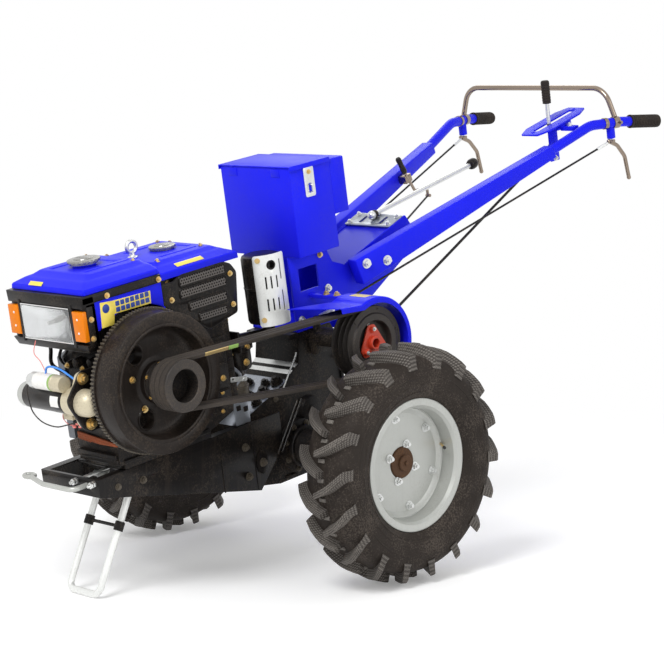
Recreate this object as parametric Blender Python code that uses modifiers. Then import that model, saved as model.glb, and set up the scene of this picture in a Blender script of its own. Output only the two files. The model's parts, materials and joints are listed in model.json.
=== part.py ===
"""Two-wheel walking tractor with a single-cylinder diesel engine, parked on its front stand.

Everything is modelled in the tractor's own level frame: metres, origin on the wheel axis,
+X to the tractor's left (belt side), -Y forward, +Z up. The empty "tractor" then tips the
nose down onto the stand and puts the tyres on z = 0.
"""

from math import atan2, cos, pi, radians, sin, sqrt, tan

import bmesh
import bpy
from mathutils import Matrix, Vector

# Parked attitude and general clearances
NOSE_DOWN = radians(9.4)
SEAT_GAP = 0.0003
PIN_GAP = 0.0008
RUN_GAP = 0.0006
BEAD_GAP = 0.0010

# Wheels: 6.00-12 tyres on a wide setting of the hexagonal axles
HALF_TRACK = 0.464
TREAD_RADIUS = 0.284
LUG_HEIGHT = 0.026
TIP_RADIUS = TREAD_RADIUS + LUG_HEIGHT
TYRE_HALF_WIDTH = 0.078
TYRE_WALL = 0.011
RIM_HALF_WIDTH = 0.060
FLANGE_RADIUS = 0.171
BEAD_RADIUS = 0.152
RIM_WALL = 0.004
DISC_WALL = 0.006
DISC_INSET = 0.004
LUGS_PER_SIDE = 18
WHEEL_SEGMENTS = 24
HUB_RADIUS = 0.062
HUB_FLANGE_WALL = 0.012
AXLE_RADIUS = 0.021
AXLE_STUB = 0.012

# Gearbox and axle housings
GEARBOX_HALF_WIDTH = 0.085
GEARBOX_REAR = 0.200
GEARBOX_BOTTOM = -0.085
GEARBOX_TOP = 0.300
IMPLEMENT_FACE_TOP = 0.240
HOUSING_END = 0.300
HOUSING_RADIUS = 0.048
HOUSING_FLANGE_RADIUS = 0.075

# Front frame: two channel rails with a crossbar
FRAME_HALF_WIDTH = 0.115
FRAME_FRONT = -0.697
FRAME_REAR = -0.176
FRAME_TOP = 0.118
GEARBOX_FRONT = FRAME_REAR + 0.001 + SEAT_GAP
FRAME_FRONT_HEIGHT = 0.046
FRAME_REAR_BOTTOM = -0.070
RAIL_REAR = -0.080
CROSSMEMBER_FRONT = -0.600
CROSSMEMBER_REAR = -0.520
RAIL_WALL = 0.007
RAIL_FLANGE = 0.026
CROSSBAR_WALL = 0.008

# Tow hook: a bent rod pushed through the crossbar
HOOK_ROD = 0.0065
HOOK_X = 0.066
HOOK_Z = FRAME_TOP - 0.018
HOOK_LOOP = 0.017

# Front stand: a bent rod that hinges in the rails
STAND_ROD = 0.009
STAND_HALF_WIDTH = 0.060
STAND_PIVOT_Y = -0.550
STAND_PIVOT_Z = 0.066
STAND_LEAN = radians(22.6)
STAND_BEND = 0.022

# Engine
ENGINE_HALF_WIDTH = 0.1465
CRANKCASE_HALF_WIDTH = 0.122
CRANKCASE_FRONT = -0.628
CRANKCASE_REAR = -0.320
CRANKCASE_TOP = 0.430
BLOCK_REAR = -0.240
HEAD_REAR = -0.168
ENGINE_FOOT = 0.016
CRANK_Y = -0.536
CRANK_Z = 0.335

# Flywheel, pulleys and belts
FLYWHEEL_RADIUS = 0.176
FLYWHEEL_INNER_X = 0.165
FLYWHEEL_FACE_X = 0.235
FLYWHEEL_RECESS = 0.045
FLYWHEEL_RECESS_RADIUS = 0.141
FLYWHEEL_HOLE_RADIUS = 0.023
FLYWHEEL_HOLE_PITCH = 0.096
FLYWHEEL_HOLES = 3
RING_GEAR_RADIUS = 0.183
RING_GEAR_WIDTH = 0.012
BELT_COUNT = 3
BELT_PITCH = 0.018
BELT_FIRST_X = 0.254
BELT_TOP_WIDTH = 0.0150
BELT_BOTTOM_WIDTH = 0.0095
BELT_HEIGHT = 0.0095
PULLEY_RADIUS = 0.065
PULLEY_FACE_X = 0.305
PULLEY_BORE = 0.038
PULLEY_BORE_DEPTH = 0.040
CLUTCH_Y = 0.120
CLUTCH_Z = 0.272
CLUTCH_RADIUS = 0.098
CLUTCH_INNER_X = 0.236
CLUTCH_FACE_X = 0.304
COVER_RADIUS = 0.124
COVER_WALL = 0.002
COVER_INNER_X = 0.205
COVER_OUTER_X = 0.318
COVER_LIP = 0.016
COVER_TIP_Y = -0.085
COVER_TIP_RISE = 0.020
COVER_LIP_FRONT = -0.002

# Exhaust on the engine's rear end
MUFFLER_X = 0.106
MUFFLER_Y = -0.067
MUFFLER_RADIUS = 0.052
MUFFLER_BOTTOM = 0.362
MUFFLER_TOP = 0.545
STARTER_Y = -0.700
STARTER_Z = 0.318
SOLENOID_OFFSET = (-0.012, 0.0563)
SOLENOID_ENDS = (-0.075, 0.060)
SOLENOID_RADIUS = 0.0215
CLEANER_X = -0.075
CLEANER_Y = -0.105
CLEANER_RADIUS = 0.050
CLEANER_BOTTOM = 0.400
CLEANER_HEIGHT = 0.100
CLEANER_PORT_DROP = 0.040
INTAKE_RADIUS = 0.016
SHIELD_HEIGHT = 0.189
OUTLET_TURN = radians(-18.5)
OUTLET_Z = 0.5225

# Hood, tank, lamps and grilles on the engine
LAMP_FRONT = -0.694
LAMP_DEPTH = 0.040
LAMP_TOP = 0.585
LAMP_BOTTOM = 0.440
BAND_BOTTOM = 0.560
LENS_HALF_WIDTH = 0.098
LENS_BOTTOM = 0.462
LENS_TOP = 0.551
LENS_DEPTH = 0.020
LENS_STANDS_OUT = 0.002
AMBER_INNER = 0.108
AMBER_BOTTOM = 0.470
AMBER_TOP = 0.546
AMBER_DEPTH = 0.012
TANK_BOTTOM = 0.582
TANK_SHOULDER = 0.607
TANK_TOP = 0.620
TANK_REAR = -0.440
TANK_CHAMFER = 0.028
HOOD_REAR = -0.176
HOOD_BOTTOM = 0.562
HOOD_SHOULDER = 0.592
HOOD_TOP = 0.604
GRILLE_COLUMNS = 3
GRILLE_RIB = 0.006
GRILLE_ROWS = (
    # front, rear, low, high
    (-0.380, -0.232, 0.536, 0.555),
    (-0.382, -0.232, 0.505, 0.524),
    (-0.358, -0.236, 0.468, 0.486),
    (-0.330, -0.240, 0.434, 0.450),
)

# Toolbox and its support
BOX_HALF_WIDTH = 0.135
BOX_FRONT = 0.047
BOX_REAR = 0.195
BOX_BOTTOM = 0.506
BOX_TOP = 0.748
BOX_WALL = 0.003
LID_WALL = 0.003
LID_LIP = 0.010
LID_OVERHANG = 0.004
REAR_BOX_DEPTH = 0.053
REAR_BOX_BOTTOM = 0.594

# Handles
ARM_ROOT = Vector((0.114, 0.262, 0.417))
ARM_END = Vector((0.236, 0.965, 0.612))
ARM_WIDTH = 0.040
ARM_ROOT_HEIGHT = 0.074
ARM_END_HEIGHT = 0.036
TUBE_RADIUS = 0.0145
TUBE_BEND = Vector((0.272, 1.121, 0.662))
TUBE_FLAT = Vector((0.300, 1.225, 0.655))
GRIP_END = Vector((0.327, 1.361, 0.633))
GRIP_LENGTH = 0.105
GRIP_RADIUS = 0.020
ARCH_Y = 1.208
ARCH_HALF_WIDTH = 0.266
ARCH_TOP = 0.757
ARCH_ROD = 0.008
ARCH_BEND = 0.060
ARCH_SEAT = 0.0019
ARM_WEDGE_START = 0.020
ARM_WEDGE_END = 0.120
ARM_WEDGE_HEIGHT = 0.050
LEVER_Y = 1.190
LEVER_HANGER = 0.046
LEVER_ROD = 0.006
STEERING_ROD = 0.003
STEERING_ARM_Y = 0.110
STEERING_ARM_TOP = GEARBOX_TOP + 0.0175

# Main lever with its slotted plate and the rod to the clutch
LEVER_X = 0.168
LEVER_PIVOT_Y = 1.062
LEVER_BOTTOM = 0.568
LEVER_TOP = 0.805
LEVER_GRIP = 0.013
QUADRANT_FRONT = 0.969
QUADRANT_REAR = 1.196
QUADRANT_Z = 0.677
QUADRANT_WALL = 0.005
QUADRANT_LEAN = radians(10)
QUADRANT_SEAT_X = 0.2478
CLUTCH_ROD = 0.004
CLUTCH_ROD_TOP = 0.610
CLUTCH_ROD_END = Vector((0.193, CLUTCH_Y + 0.078, CLUTCH_Z - 0.0197))

# Small lever inside the right arm
SIDE_LEVER_X = 0.155
SIDE_LEVER_ROD = 0.0045
SIDE_LEVER_SEAT = 0.545

NECK_HALF_WIDTH = 0.088
GATE_Y = 0.468
GATE_WALL = 0.004
SHIFT_BALL = 0.013

COLOURS = {
    # name: red, green, blue, roughness, metallic
    "blue_paint": (0.010, 0.035, 0.60, 0.28, 0.0),
    "black_paint": (0.018, 0.017, 0.016, 0.40, 0.0),
    "cast_iron": (0.045, 0.042, 0.040, 0.55, 0.3),
    "rubber": (0.022, 0.021, 0.021, 0.75, 0.0),
    "belt_rubber": (0.040, 0.038, 0.036, 0.70, 0.0),
    "silver_paint": (0.62, 0.64, 0.66, 0.38, 0.5),
    "zinc": (0.66, 0.67, 0.69, 0.32, 0.9),
    "chrome": (0.70, 0.68, 0.66, 0.14, 1.0),
    "lamp_glass": (0.80, 0.82, 0.84, 0.08, 0.0),
    "amber": (0.95, 0.38, 0.02, 0.20, 0.0),
    "red_paint": (0.75, 0.06, 0.02, 0.35, 0.0),
    "cream_cast": (0.66, 0.60, 0.44, 0.40, 0.4),
    "rust": (0.20, 0.09, 0.05, 0.80, 0.3),
}


def clear_scene():
    for old in list(bpy.data.objects):
        bpy.data.objects.remove(old, do_unlink=True)


def new_collection(name, hidden):
    made = bpy.data.collections.new(name)
    bpy.context.scene.collection.children.link(made)
    made.hide_render = hidden
    return made


clear_scene()
PARTS = new_collection("walking_tractor", False)
CUTTERS = new_collection("cutters", True)
MATERIALS = {}


def material(name):
    if name not in MATERIALS:
        red, green, blue, roughness, metallic = COLOURS[name]
        made = bpy.data.materials.new(name)
        made.use_nodes = True
        shader = made.node_tree.nodes["Principled BSDF"]
        shader.inputs["Base Color"].default_value = (red, green, blue, 1.0)
        shader.inputs["Roughness"].default_value = roughness
        shader.inputs["Metallic"].default_value = metallic
        made.diffuse_color = (red, green, blue, 1.0)
        MATERIALS[name] = made
    return MATERIALS[name]


def empty(name, location, parent=None):
    made = bpy.data.objects.new(name, None)
    PARTS.objects.link(made)
    made.location = location
    made.parent = parent
    return made


def add_object(name, mesh, collection=None):
    made = bpy.data.objects.new(name, mesh)
    (collection or PARTS).objects.link(made)
    return made


def mesh_from_bmesh(name, shape):
    bmesh.ops.recalc_face_normals(shape, faces=shape.faces)
    if shape.calc_volume(signed=True) < 0:
        bmesh.ops.reverse_faces(shape, faces=shape.faces)
    mesh = bpy.data.meshes.new(name)
    shape.to_mesh(mesh)
    shape.free()
    return mesh


def evaluated_mesh(thing):
    """The object's mesh with its modifiers, in its parent's space."""
    graph = bpy.context.evaluated_depsgraph_get()
    mesh = bpy.data.meshes.new_from_object(thing.evaluated_get(graph))
    shape = bmesh.new()
    shape.from_mesh(mesh)
    bmesh.ops.remove_doubles(shape, verts=shape.verts, dist=0.00001)
    bmesh.ops.dissolve_degenerate(shape, edges=shape.edges, dist=0.000001)
    shape.transform(thing.matrix_world)
    baked = mesh_from_bmesh(thing.name, shape)
    bpy.data.meshes.remove(mesh)
    return baked


def bake(thing):
    """Turns an object with modifiers, or a curve, into a plain mesh object of the same name."""
    name = thing.name
    mesh = evaluated_mesh(thing)
    bpy.data.objects.remove(thing, do_unlink=True)
    mesh.name = name
    return add_object(name, mesh)


def box(name, low, high):
    """A box between two corners."""
    low, high = Vector(low), Vector(high)
    shape = bmesh.new()
    bmesh.ops.create_cube(shape, size=1.0)
    bmesh.ops.scale(shape, vec=high - low, verts=shape.verts)
    bmesh.ops.translate(shape, vec=(low + high) / 2, verts=shape.verts)
    return add_object(name, mesh_from_bmesh(name, shape))


def frustum(name, low, high, top_low, top_high):
    """A box whose top face is the smaller rectangle between top_low and top_high (x, y)."""
    shape = bmesh.new()
    bmesh.ops.create_cube(shape, size=1.0)
    for vertex in shape.verts:
        upper = vertex.co.z > 0
        first, last = (top_low, top_high) if upper else (low, high)
        vertex.co.x = last[0] if vertex.co.x > 0 else first[0]
        vertex.co.y = last[1] if vertex.co.y > 0 else first[1]
        vertex.co.z = high[2] if upper else low[2]
    return add_object(name, mesh_from_bmesh(name, shape))


def rod_between(name, start, end, radius, end_radius=None, sides=20):
    """A round bar or cone between two points."""
    start, end = Vector(start), Vector(end)
    shape = bmesh.new()
    bmesh.ops.create_cone(
        shape,
        cap_ends=True,
        segments=sides,
        radius1=radius,
        radius2=radius if end_radius is None else end_radius,
        depth=(end - start).length,
    )
    turn = (end - start).to_track_quat("Z", "Y").to_matrix().to_4x4()
    shape.transform(Matrix.Translation((start + end) / 2) @ turn)
    return add_object(name, mesh_from_bmesh(name, shape))


def turned_on_x(name, profile, centre, segments=48):
    """A ring or disc turned about an axis along X.

    The profile lists (radius, x) points from the +X end down the outer side, closed on itself.
    """
    mesh = bpy.data.meshes.new(name)
    points = [(radius, 0.0, x) for radius, x in profile]
    edges = [(i, (i + 1) % len(points)) for i in range(len(points))]
    off_axis = [(i, j) for i, j in edges if points[i][0] > 0 or points[j][0] > 0]
    mesh.from_pydata(points, off_axis, [])
    thing = add_object(name, mesh)
    screw = thing.modifiers.new("turn", "SCREW")
    screw.axis = "Z"
    screw.steps = segments
    screw.render_steps = segments
    screw.use_merge_vertices = True
    screw.merge_threshold = 0.0001
    thing.rotation_euler = (0.0, pi / 2, 0.0)
    thing.location = centre
    bpy.context.view_layer.update()
    return bake(thing)


def plate_on_x(name, outline, low_x, high_x):
    """A flat plate: the closed (y, z) outline extruded from low_x to high_x."""
    curve = bpy.data.curves.new(name, "CURVE")
    curve.dimensions = "2D"
    curve.fill_mode = "BOTH"
    curve.extrude = (high_x - low_x) / 2
    spline = curve.splines.new("POLY")
    spline.points.add(len(outline) - 1)
    for point, (y, z) in zip(spline.points, outline):
        point.co = (y, z, 0.0, 1.0)
    spline.use_cyclic_u = True
    thing = bpy.data.objects.new(name, curve)
    PARTS.objects.link(thing)
    # Local x, y and z of the curve become world y, z and x.
    thing.matrix_world = Matrix(
        ((0, 0, 1, (low_x + high_x) / 2), (1, 0, 0, 0), (0, 1, 0, 0), (0, 0, 0, 1))
    )
    bpy.context.view_layer.update()
    return bake(thing)


def plate_on_z(name, outline, low_z, high_z):
    """A flat plate: the closed (x, y) outline extruded from low_z to high_z."""
    shape = bmesh.new()
    lower = [shape.verts.new((x, y, low_z)) for x, y in outline]
    upper = [shape.verts.new((x, y, high_z)) for x, y in outline]
    shape.faces.new(list(reversed(lower)))
    shape.faces.new(upper)
    for i in range(len(outline)):
        j = (i + 1) % len(outline)
        shape.faces.new((lower[i], lower[j], upper[j], upper[i]))
    bmesh.ops.recalc_face_normals(shape, faces=shape.faces)
    return add_object(name, mesh_from_bmesh(name, shape))


def tube(name, points, radius, resolution=2, closed=False):
    """A round rod along straight runs between points."""
    curve = bpy.data.curves.new(name, "CURVE")
    curve.dimensions = "3D"
    curve.bevel_depth = radius
    curve.bevel_resolution = resolution
    curve.use_fill_caps = True
    spline = curve.splines.new("POLY")
    spline.points.add(len(points) - 1)
    for spot, place in zip(spline.points, points):
        spot.co = (place[0], place[1], place[2], 1.0)
    spline.use_cyclic_u = closed
    thing = bpy.data.objects.new(name, curve)
    PARTS.objects.link(thing)
    bpy.context.view_layer.update()
    return bake(thing)


def rounded(points, radius, steps=2):
    """The path through the points with each inner corner replaced by an arc of the radius."""
    places = [Vector(p) for p in points]
    path = [places[0]]
    for before, corner, after in zip(places, places[1:], places[2:]):
        back = (before - corner).normalized()
        ahead = (after - corner).normalized()
        half = back.angle(ahead) / 2
        reach = radius / tan(half)
        middle = corner + (back + ahead).normalized() * (radius / sin(half))
        first = (corner + back * reach - middle).normalized()
        last = (corner + ahead * reach - middle).normalized()
        for step in range(steps + 1):
            path.append(middle + first.slerp(last, step / steps) * radius)
    path.append(places[-1])
    return path


def boolean(target, other, operation):
    """Cuts, joins or intersects the target with the other object, which goes to the cutters."""
    change = target.modifiers.new(operation.lower(), "BOOLEAN")
    change.operation = operation
    change.solver = "EXACT"
    change.object = other
    for group in list(other.users_collection):
        group.objects.unlink(other)
    CUTTERS.objects.link(other)
    other.hide_render = True
    other.display_type = "WIRE"
    bpy.context.view_layer.update()
    name = target.name
    made = bake(target)
    made.name = name
    return made


def join(target, *others):
    for other in others:
        target = boolean(target, other, "UNION")
    return target


def cut(target, *others):
    for other in others:
        target = boolean(target, other, "DIFFERENCE")
    return target


def mirrored(source, name):
    """A mirror image of the object across the tractor's middle plane."""
    shape = bmesh.new()
    shape.from_mesh(source.data)
    bmesh.ops.transform(shape, matrix=Matrix.Diagonal((-1, 1, 1, 1)), verts=shape.verts)
    bmesh.ops.reverse_faces(shape, faces=shape.faces)
    return add_object(name, mesh_from_bmesh(name, shape))


def finish(thing, colour, parent):
    """Gives the object its material and hangs it on its empty, keeping its place."""
    thing.data.materials.clear()
    thing.data.materials.append(material(colour))
    thing.data.shade_smooth()
    thing.data.set_sharp_from_angle(angle=radians(35))
    place = Vector()
    holder = parent
    while holder is not None and holder is not ROOT:
        place += holder.location
        holder = holder.parent
    thing.data.transform(Matrix.Translation(-place))
    thing.parent = parent
    return thing


ROOT = empty("tractor", (0.0, 0.0, TIP_RADIUS))
ROOT.rotation_euler = (NOSE_DOWN, 0.0, 0.0)
WHEEL_SPIN = {
    side: empty(f"wheel_spin_{side}", (sign * HALF_TRACK, 0.0, 0.0), ROOT)
    for side, sign in (("left", 1), ("right", -1))
}
CRANK_SPIN = empty("crank_spin", (FLYWHEEL_FACE_X, CRANK_Y, CRANK_Z), ROOT)
CLUTCH_SPIN = empty("clutch_spin", (CLUTCH_FACE_X, CLUTCH_Y, CLUTCH_Z), ROOT)
STAND_SWING = empty("stand_swing", (0.0, STAND_PIVOT_Y, STAND_PIVOT_Z), ROOT)
LID_SWING = empty("lid_swing", (0.0, BOX_FRONT - LID_OVERHANG, BOX_TOP), ROOT)


def sidewall_radius(share):
    """A radius on the tyre's side, from 0 at the rim flange to 1 at the tread."""
    return FLANGE_RADIUS + share * (TREAD_RADIUS - FLANGE_RADIUS)


def tyre_profile():
    """Outer and inner outline of the tyre casing as (radius, x) from the +X bead round to the -X bead."""
    half = [
        (BEAD_RADIUS + BEAD_GAP, RIM_HALF_WIDTH - 0.0150),
        (FLANGE_RADIUS, RIM_HALF_WIDTH - 0.0070),
        (FLANGE_RADIUS + 0.006, RIM_HALF_WIDTH + 0.003),
        (sidewall_radius(0.43), TYRE_HALF_WIDTH),
        (sidewall_radius(0.80), TYRE_HALF_WIDTH - 0.004),
        (TREAD_RADIUS, 0.042),
    ]
    outer = [(radius, x) for radius, x in half]
    outer += [(radius, -x) for radius, x in reversed(half)]
    inner = [
        (sidewall_radius(0.39), -(TYRE_HALF_WIDTH - TYRE_WALL)),
        (TREAD_RADIUS - TYRE_WALL, -0.040),
    ]
    return outer + inner + [(radius, -x) for radius, x in reversed(inner)]


def lug(name, side, angle):
    """One tread bar: runs from near the middle of the tread out over the shoulder."""
    sections = (
        # x, lean along the tread, top radius, foot radius, half width
        (-0.006, 0.000, TIP_RADIUS, TREAD_RADIUS - 0.006, 0.0090),
        (0.036, 0.022, TIP_RADIUS - 0.002, TREAD_RADIUS - 0.006, 0.0110),
        (0.080, 0.062, TIP_RADIUS - 0.018, sidewall_radius(0.70), 0.0125),
    )
    shape = bmesh.new()
    rings = []
    for x, lean, top, foot, half in sections:
        ring = []
        for radius, across in ((foot, -half), (foot, half), (top, half * 0.8), (top, -half * 0.8)):
            turn = angle + (lean + across) / TIP_RADIUS
            ring.append(
                shape.verts.new((side * x, -radius * sin(turn), -radius * cos(turn)))
            )
        rings.append(ring)
    for first, second in zip(rings, rings[1:]):
        for i in range(4):
            j = (i + 1) % 4
            shape.faces.new((first[i], first[j], second[j], second[i]))
    shape.faces.new(rings[0])
    shape.faces.new(list(reversed(rings[-1])))
    return add_object(name, mesh_from_bmesh(name, shape))


def joined_copy(name, things):
    """One cutter mesh from several that don't touch."""
    shape = bmesh.new()
    for thing in things:
        shape.from_mesh(thing.data)
        bpy.data.objects.remove(thing, do_unlink=True)
    return add_object(name, mesh_from_bmesh(name, shape))


def make_wheel(side, sign):
    spin = WHEEL_SPIN[side]
    centre = (sign * HALF_TRACK, 0.0, 0.0)
    tyre = turned_on_x(f"tyre_{side}", tyre_profile(), (0, 0, 0), WHEEL_SEGMENTS)
    pitch = 2 * pi / LUGS_PER_SIDE
    for row, offset in ((1, 0.0), (-1, pitch / 2)):
        bars = [
            lug(f"bar_{side}_{row}_{i}", row, offset + i * pitch - NOSE_DOWN)
            for i in range(LUGS_PER_SIDE)
        ]
        tyre = join(tyre, joined_copy(f"bars_{side}_{row}", bars))
    tyre.data.transform(Matrix.Translation(centre))
    finish(tyre, "rubber", spin)

    flange, bead, wide = FLANGE_RADIUS, BEAD_RADIUS, RIM_HALF_WIDTH
    disc_x = DISC_INSET
    inside = bead - RIM_WALL
    rim_outline = [
        (flange, wide),
        (flange, wide - RIM_WALL),
        (bead, wide - 0.006),
        (bead, -wide + 0.006),
        (flange, -wide + RIM_WALL),
        (flange, -wide),
        (inside, -wide + 0.004),
        (inside, disc_x - DISC_WALL),
        (HUB_RADIUS - 0.020, disc_x - DISC_WALL),
        (HUB_RADIUS - 0.020, disc_x),
        (inside, disc_x),
        (inside, wide - 0.004),
    ]
    rim = turned_on_x(f"rim_{side}", rim_outline, (0, 0, 0), WHEEL_SEGMENTS)
    rim.data.transform(Matrix.Diagonal((sign, 1, 1, 1)))
    if sign < 0:
        rim.data.flip_normals()
    rim.data.transform(Matrix.Translation(centre))
    finish(rim, "silver_paint", spin)

    inner_x = disc_x - DISC_WALL - SEAT_GAP
    hub_outline = [
        (AXLE_RADIUS, AXLE_STUB),
        (AXLE_RADIUS, disc_x + 0.012),
        (0.034, disc_x + 0.010),
        (0.041, disc_x + SEAT_GAP),
        (0.041, inner_x),
        (HUB_RADIUS, inner_x),
        (HUB_RADIUS, inner_x - HUB_FLANGE_WALL),
        (0.036, inner_x - HUB_FLANGE_WALL - 0.012),
        (0.030, HOUSING_END + RUN_GAP - HALF_TRACK),
        (0.0, HOUSING_END + RUN_GAP - HALF_TRACK),
        (0.0, AXLE_STUB + 0.010),
        (AXLE_RADIUS, AXLE_STUB + 0.010),
    ]
    hub = turned_on_x(f"wheel_hub_{side}", hub_outline, (0, 0, 0), 12)
    hub.data.transform(Matrix.Diagonal((sign, 1, 1, 1)))
    if sign < 0:
        hub.data.flip_normals()
    hub.data.transform(Matrix.Translation(centre))
    finish(hub, "rust", spin)


def rail_bottom(y):
    """Height of the sloping lower edge of the front frame at y."""
    share = (y - FRAME_FRONT) / (FRAME_REAR - FRAME_FRONT)
    front = FRAME_TOP - FRAME_FRONT_HEIGHT
    return front + share * (FRAME_REAR_BOTTOM - front)


def make_frame():
    outer, wall = FRAME_HALF_WIDTH, RAIL_WALL
    outline = [
        (FRAME_FRONT, rail_bottom(FRAME_FRONT)),
        (FRAME_REAR, rail_bottom(FRAME_REAR)),
        (RAIL_REAR - 0.030, FRAME_TOP - 0.120),
        (RAIL_REAR, FRAME_TOP - 0.060),
        (RAIL_REAR, FRAME_TOP),
        (FRAME_FRONT, FRAME_TOP),
    ]
    frame = plate_on_x("front_frame", outline, outer - wall, outer)
    right = plate_on_x("rail_right", outline, -outer, -outer + wall)
    top = FRAME_TOP
    flanges = [
        box(
            f"rail_flange_{side}",
            (min(side * outer, side * (outer - RAIL_FLANGE)), FRAME_FRONT, top - wall),
            (max(side * outer, side * (outer - RAIL_FLANGE)), FRAME_REAR, top),
        )
        for side in (1, -1)
    ]
    crossbar = box(
        "crossbar",
        (-outer, FRAME_FRONT - 0.001, rail_bottom(FRAME_FRONT)),
        (outer, FRAME_FRONT + CROSSBAR_WALL, top),
    )
    tail = box(
        "rear_plate",
        (-outer + wall / 2, FRAME_REAR - 0.010, rail_bottom(FRAME_REAR) + wall / 2),
        (outer - wall / 2, FRAME_REAR + 0.001, top - wall / 2),
    )
    crossmember = box(
        "crossmember",
        (-outer + wall / 2, CROSSMEMBER_FRONT, top - wall * 1.1),
        (outer - wall / 2, CROSSMEMBER_REAR, top - wall * 0.1),
    )
    frame = join(frame, right, *flanges, crossbar, tail, crossmember)
    ears = []
    for side in (1, -1):
        x = side * (STAND_HALF_WIDTH + 0.030)
        ears.append(
            box(
                f"ear_{side}",
                (min(x, side * (outer - wall / 2)), STAND_PIVOT_Y - 0.018, STAND_PIVOT_Z - 0.018),
                (max(x, side * (outer - wall / 2)), STAND_PIVOT_Y + 0.018, top - wall / 2),
            )
        )
    frame = join(frame, *ears)
    bore = rod_between(
        "stand_bore",
        (-outer + wall, STAND_PIVOT_Y, STAND_PIVOT_Z),
        (outer - wall, STAND_PIVOT_Y, STAND_PIVOT_Z),
        STAND_ROD + PIN_GAP,
        sides=24,
    )
    hook_bore = rod_between(
        "hook_bore",
        (HOOK_X, FRAME_FRONT - 0.020, HOOK_Z),
        (HOOK_X, FRAME_FRONT + 0.030, HOOK_Z),
        HOOK_ROD + PIN_GAP,
        sides=24,
    )
    frame = cut(cut(frame, bore), hook_bore)
    finish(frame, "black_paint", ROOT)


def make_tow_hook():
    front = FRAME_FRONT - 0.046
    path = rounded(
        [
            (-2.0 * HOOK_X - HOOK_LOOP * 0.2, front + 0.026, HOOK_Z),
            (-0.054, front, HOOK_Z),
            (HOOK_X, front, HOOK_Z),
            (HOOK_X, FRAME_FRONT + 0.040, HOOK_Z),
            (0.008, CROSSMEMBER_FRONT + 0.014, HOOK_Z - 0.004),
        ],
        0.018,
        3,
    )
    middle = Vector((-2.0 * HOOK_X - HOOK_LOOP, front + 0.031, HOOK_Z))
    turns = [2 * pi * i / 12 for i in range(12)]
    ring = [middle + Vector((HOOK_LOOP * cos(t), HOOK_LOOP * 0.62 * sin(t), 0.0)) for t in turns]
    loop = tube("hook_loop", ring, HOOK_ROD * 0.9, 1, True)
    finish(join(tube("tow_hook", path, HOOK_ROD, 1), loop), "zinc", ROOT)


def make_stand():
    pivot = Vector((0.0, STAND_PIVOT_Y, STAND_PIVOT_Z))
    tip = ROOT_TURN @ pivot + Vector((0.0, 0.0, TIP_RADIUS))
    drop = tip.z - STAND_ROD
    foot_world = tip + Vector((0.0, -drop * tan(STAND_LEAN), -drop))
    foot = ROOT_TURN.inverted() @ (foot_world - Vector((0.0, 0.0, TIP_RADIUS)))
    half, out = STAND_HALF_WIDTH, STAND_HALF_WIDTH + 0.044
    path = rounded(
        [
            (-out, pivot.y, pivot.z),
            (-half, pivot.y, pivot.z),
            (-half, foot.y, foot.z),
            (half, foot.y, foot.z),
            (half, pivot.y, pivot.z),
            (out, pivot.y, pivot.z),
        ],
        STAND_BEND,
        3,
    )
    finish(tube("front_stand", path, STAND_ROD, 2), "zinc", STAND_SWING)


def make_engine():
    wide = CRANKCASE_HALF_WIDTH
    base = FRAME_TOP + SEAT_GAP
    outline = [
        (CRANKCASE_FRONT, base + ENGINE_FOOT),
        (CRANKCASE_REAR - 0.02, base + ENGINE_FOOT),
        (BLOCK_REAR, base + 0.05),
        (BLOCK_REAR, HOOD_BOTTOM - SEAT_GAP),
        (TANK_REAR + 0.004, HOOD_BOTTOM - SEAT_GAP),
        (TANK_REAR - 0.010, CRANKCASE_TOP),
        (CRANKCASE_FRONT + 0.030, CRANKCASE_TOP),
        (CRANKCASE_FRONT, CRANKCASE_TOP - 0.060),
    ]
    block = plate_on_x("engine_block", outline, -wide, wide)
    foot = box(
        "engine_foot",
        (-FRAME_HALF_WIDTH, CRANKCASE_FRONT + 0.02, base),
        (FRAME_HALF_WIDTH, CRANKCASE_REAR, base + ENGINE_FOOT + 0.002),
    )
    boss = rod_between(
        "crank_boss", (wide - 0.01, CRANK_Y, CRANK_Z), (0.150, CRANK_Y, CRANK_Z), 0.070, 0.055
    )
    stub = rod_between(
        "crank_stub", (0.140, CRANK_Y, CRANK_Z), (FLYWHEEL_INNER_X - RUN_GAP, CRANK_Y, CRANK_Z), 0.030
    )
    tower = box(
        "tank_bearer",
        (-0.070, CRANKCASE_FRONT + 0.035, CRANKCASE_TOP - 0.01),
        (0.070, TANK_REAR - 0.02, BAND_BOTTOM - SEAT_GAP),
    )
    flange = box(
        "starter_flange", (0.060, CRANKCASE_FRONT - 0.008, 0.240), (wide, CRANKCASE_FRONT + 0.01, 0.400)
    )
    block = join(block, foot, boss, stub, tower, flange)
    finish(block, "black_paint", ROOT)

    head = box(
        "cylinder_head",
        (-0.095, BLOCK_REAR + SEAT_GAP, base + 0.070),
        (0.095, HEAD_REAR - 0.026, 0.410),
    )
    cover = box(
        "rocker_cover", (-0.080, HEAD_REAR - 0.030, base + 0.085), (0.055, HEAD_REAR, 0.385)
    )
    finish(join(head, cover), "cast_iron", ROOT)

    timing = plate_on_x(
        "timing_cover",
        [
            (CRANKCASE_FRONT + 0.010, 0.160),
            (-0.380, 0.160),
            (-0.350, 0.240),
            (-0.380, 0.390),
            (-0.470, 0.415),
            (CRANKCASE_FRONT + 0.010, 0.360),
        ],
        -wide - SEAT_GAP - 0.026,
        -wide - SEAT_GAP,
    )
    starter_dog = rod_between(
        "crank_socket", (-wide - 0.02, -0.470, 0.300), (-wide - 0.055, -0.470, 0.300), 0.024
    )
    finish(join(timing, starter_dog), "cast_iron", ROOT)


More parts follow.
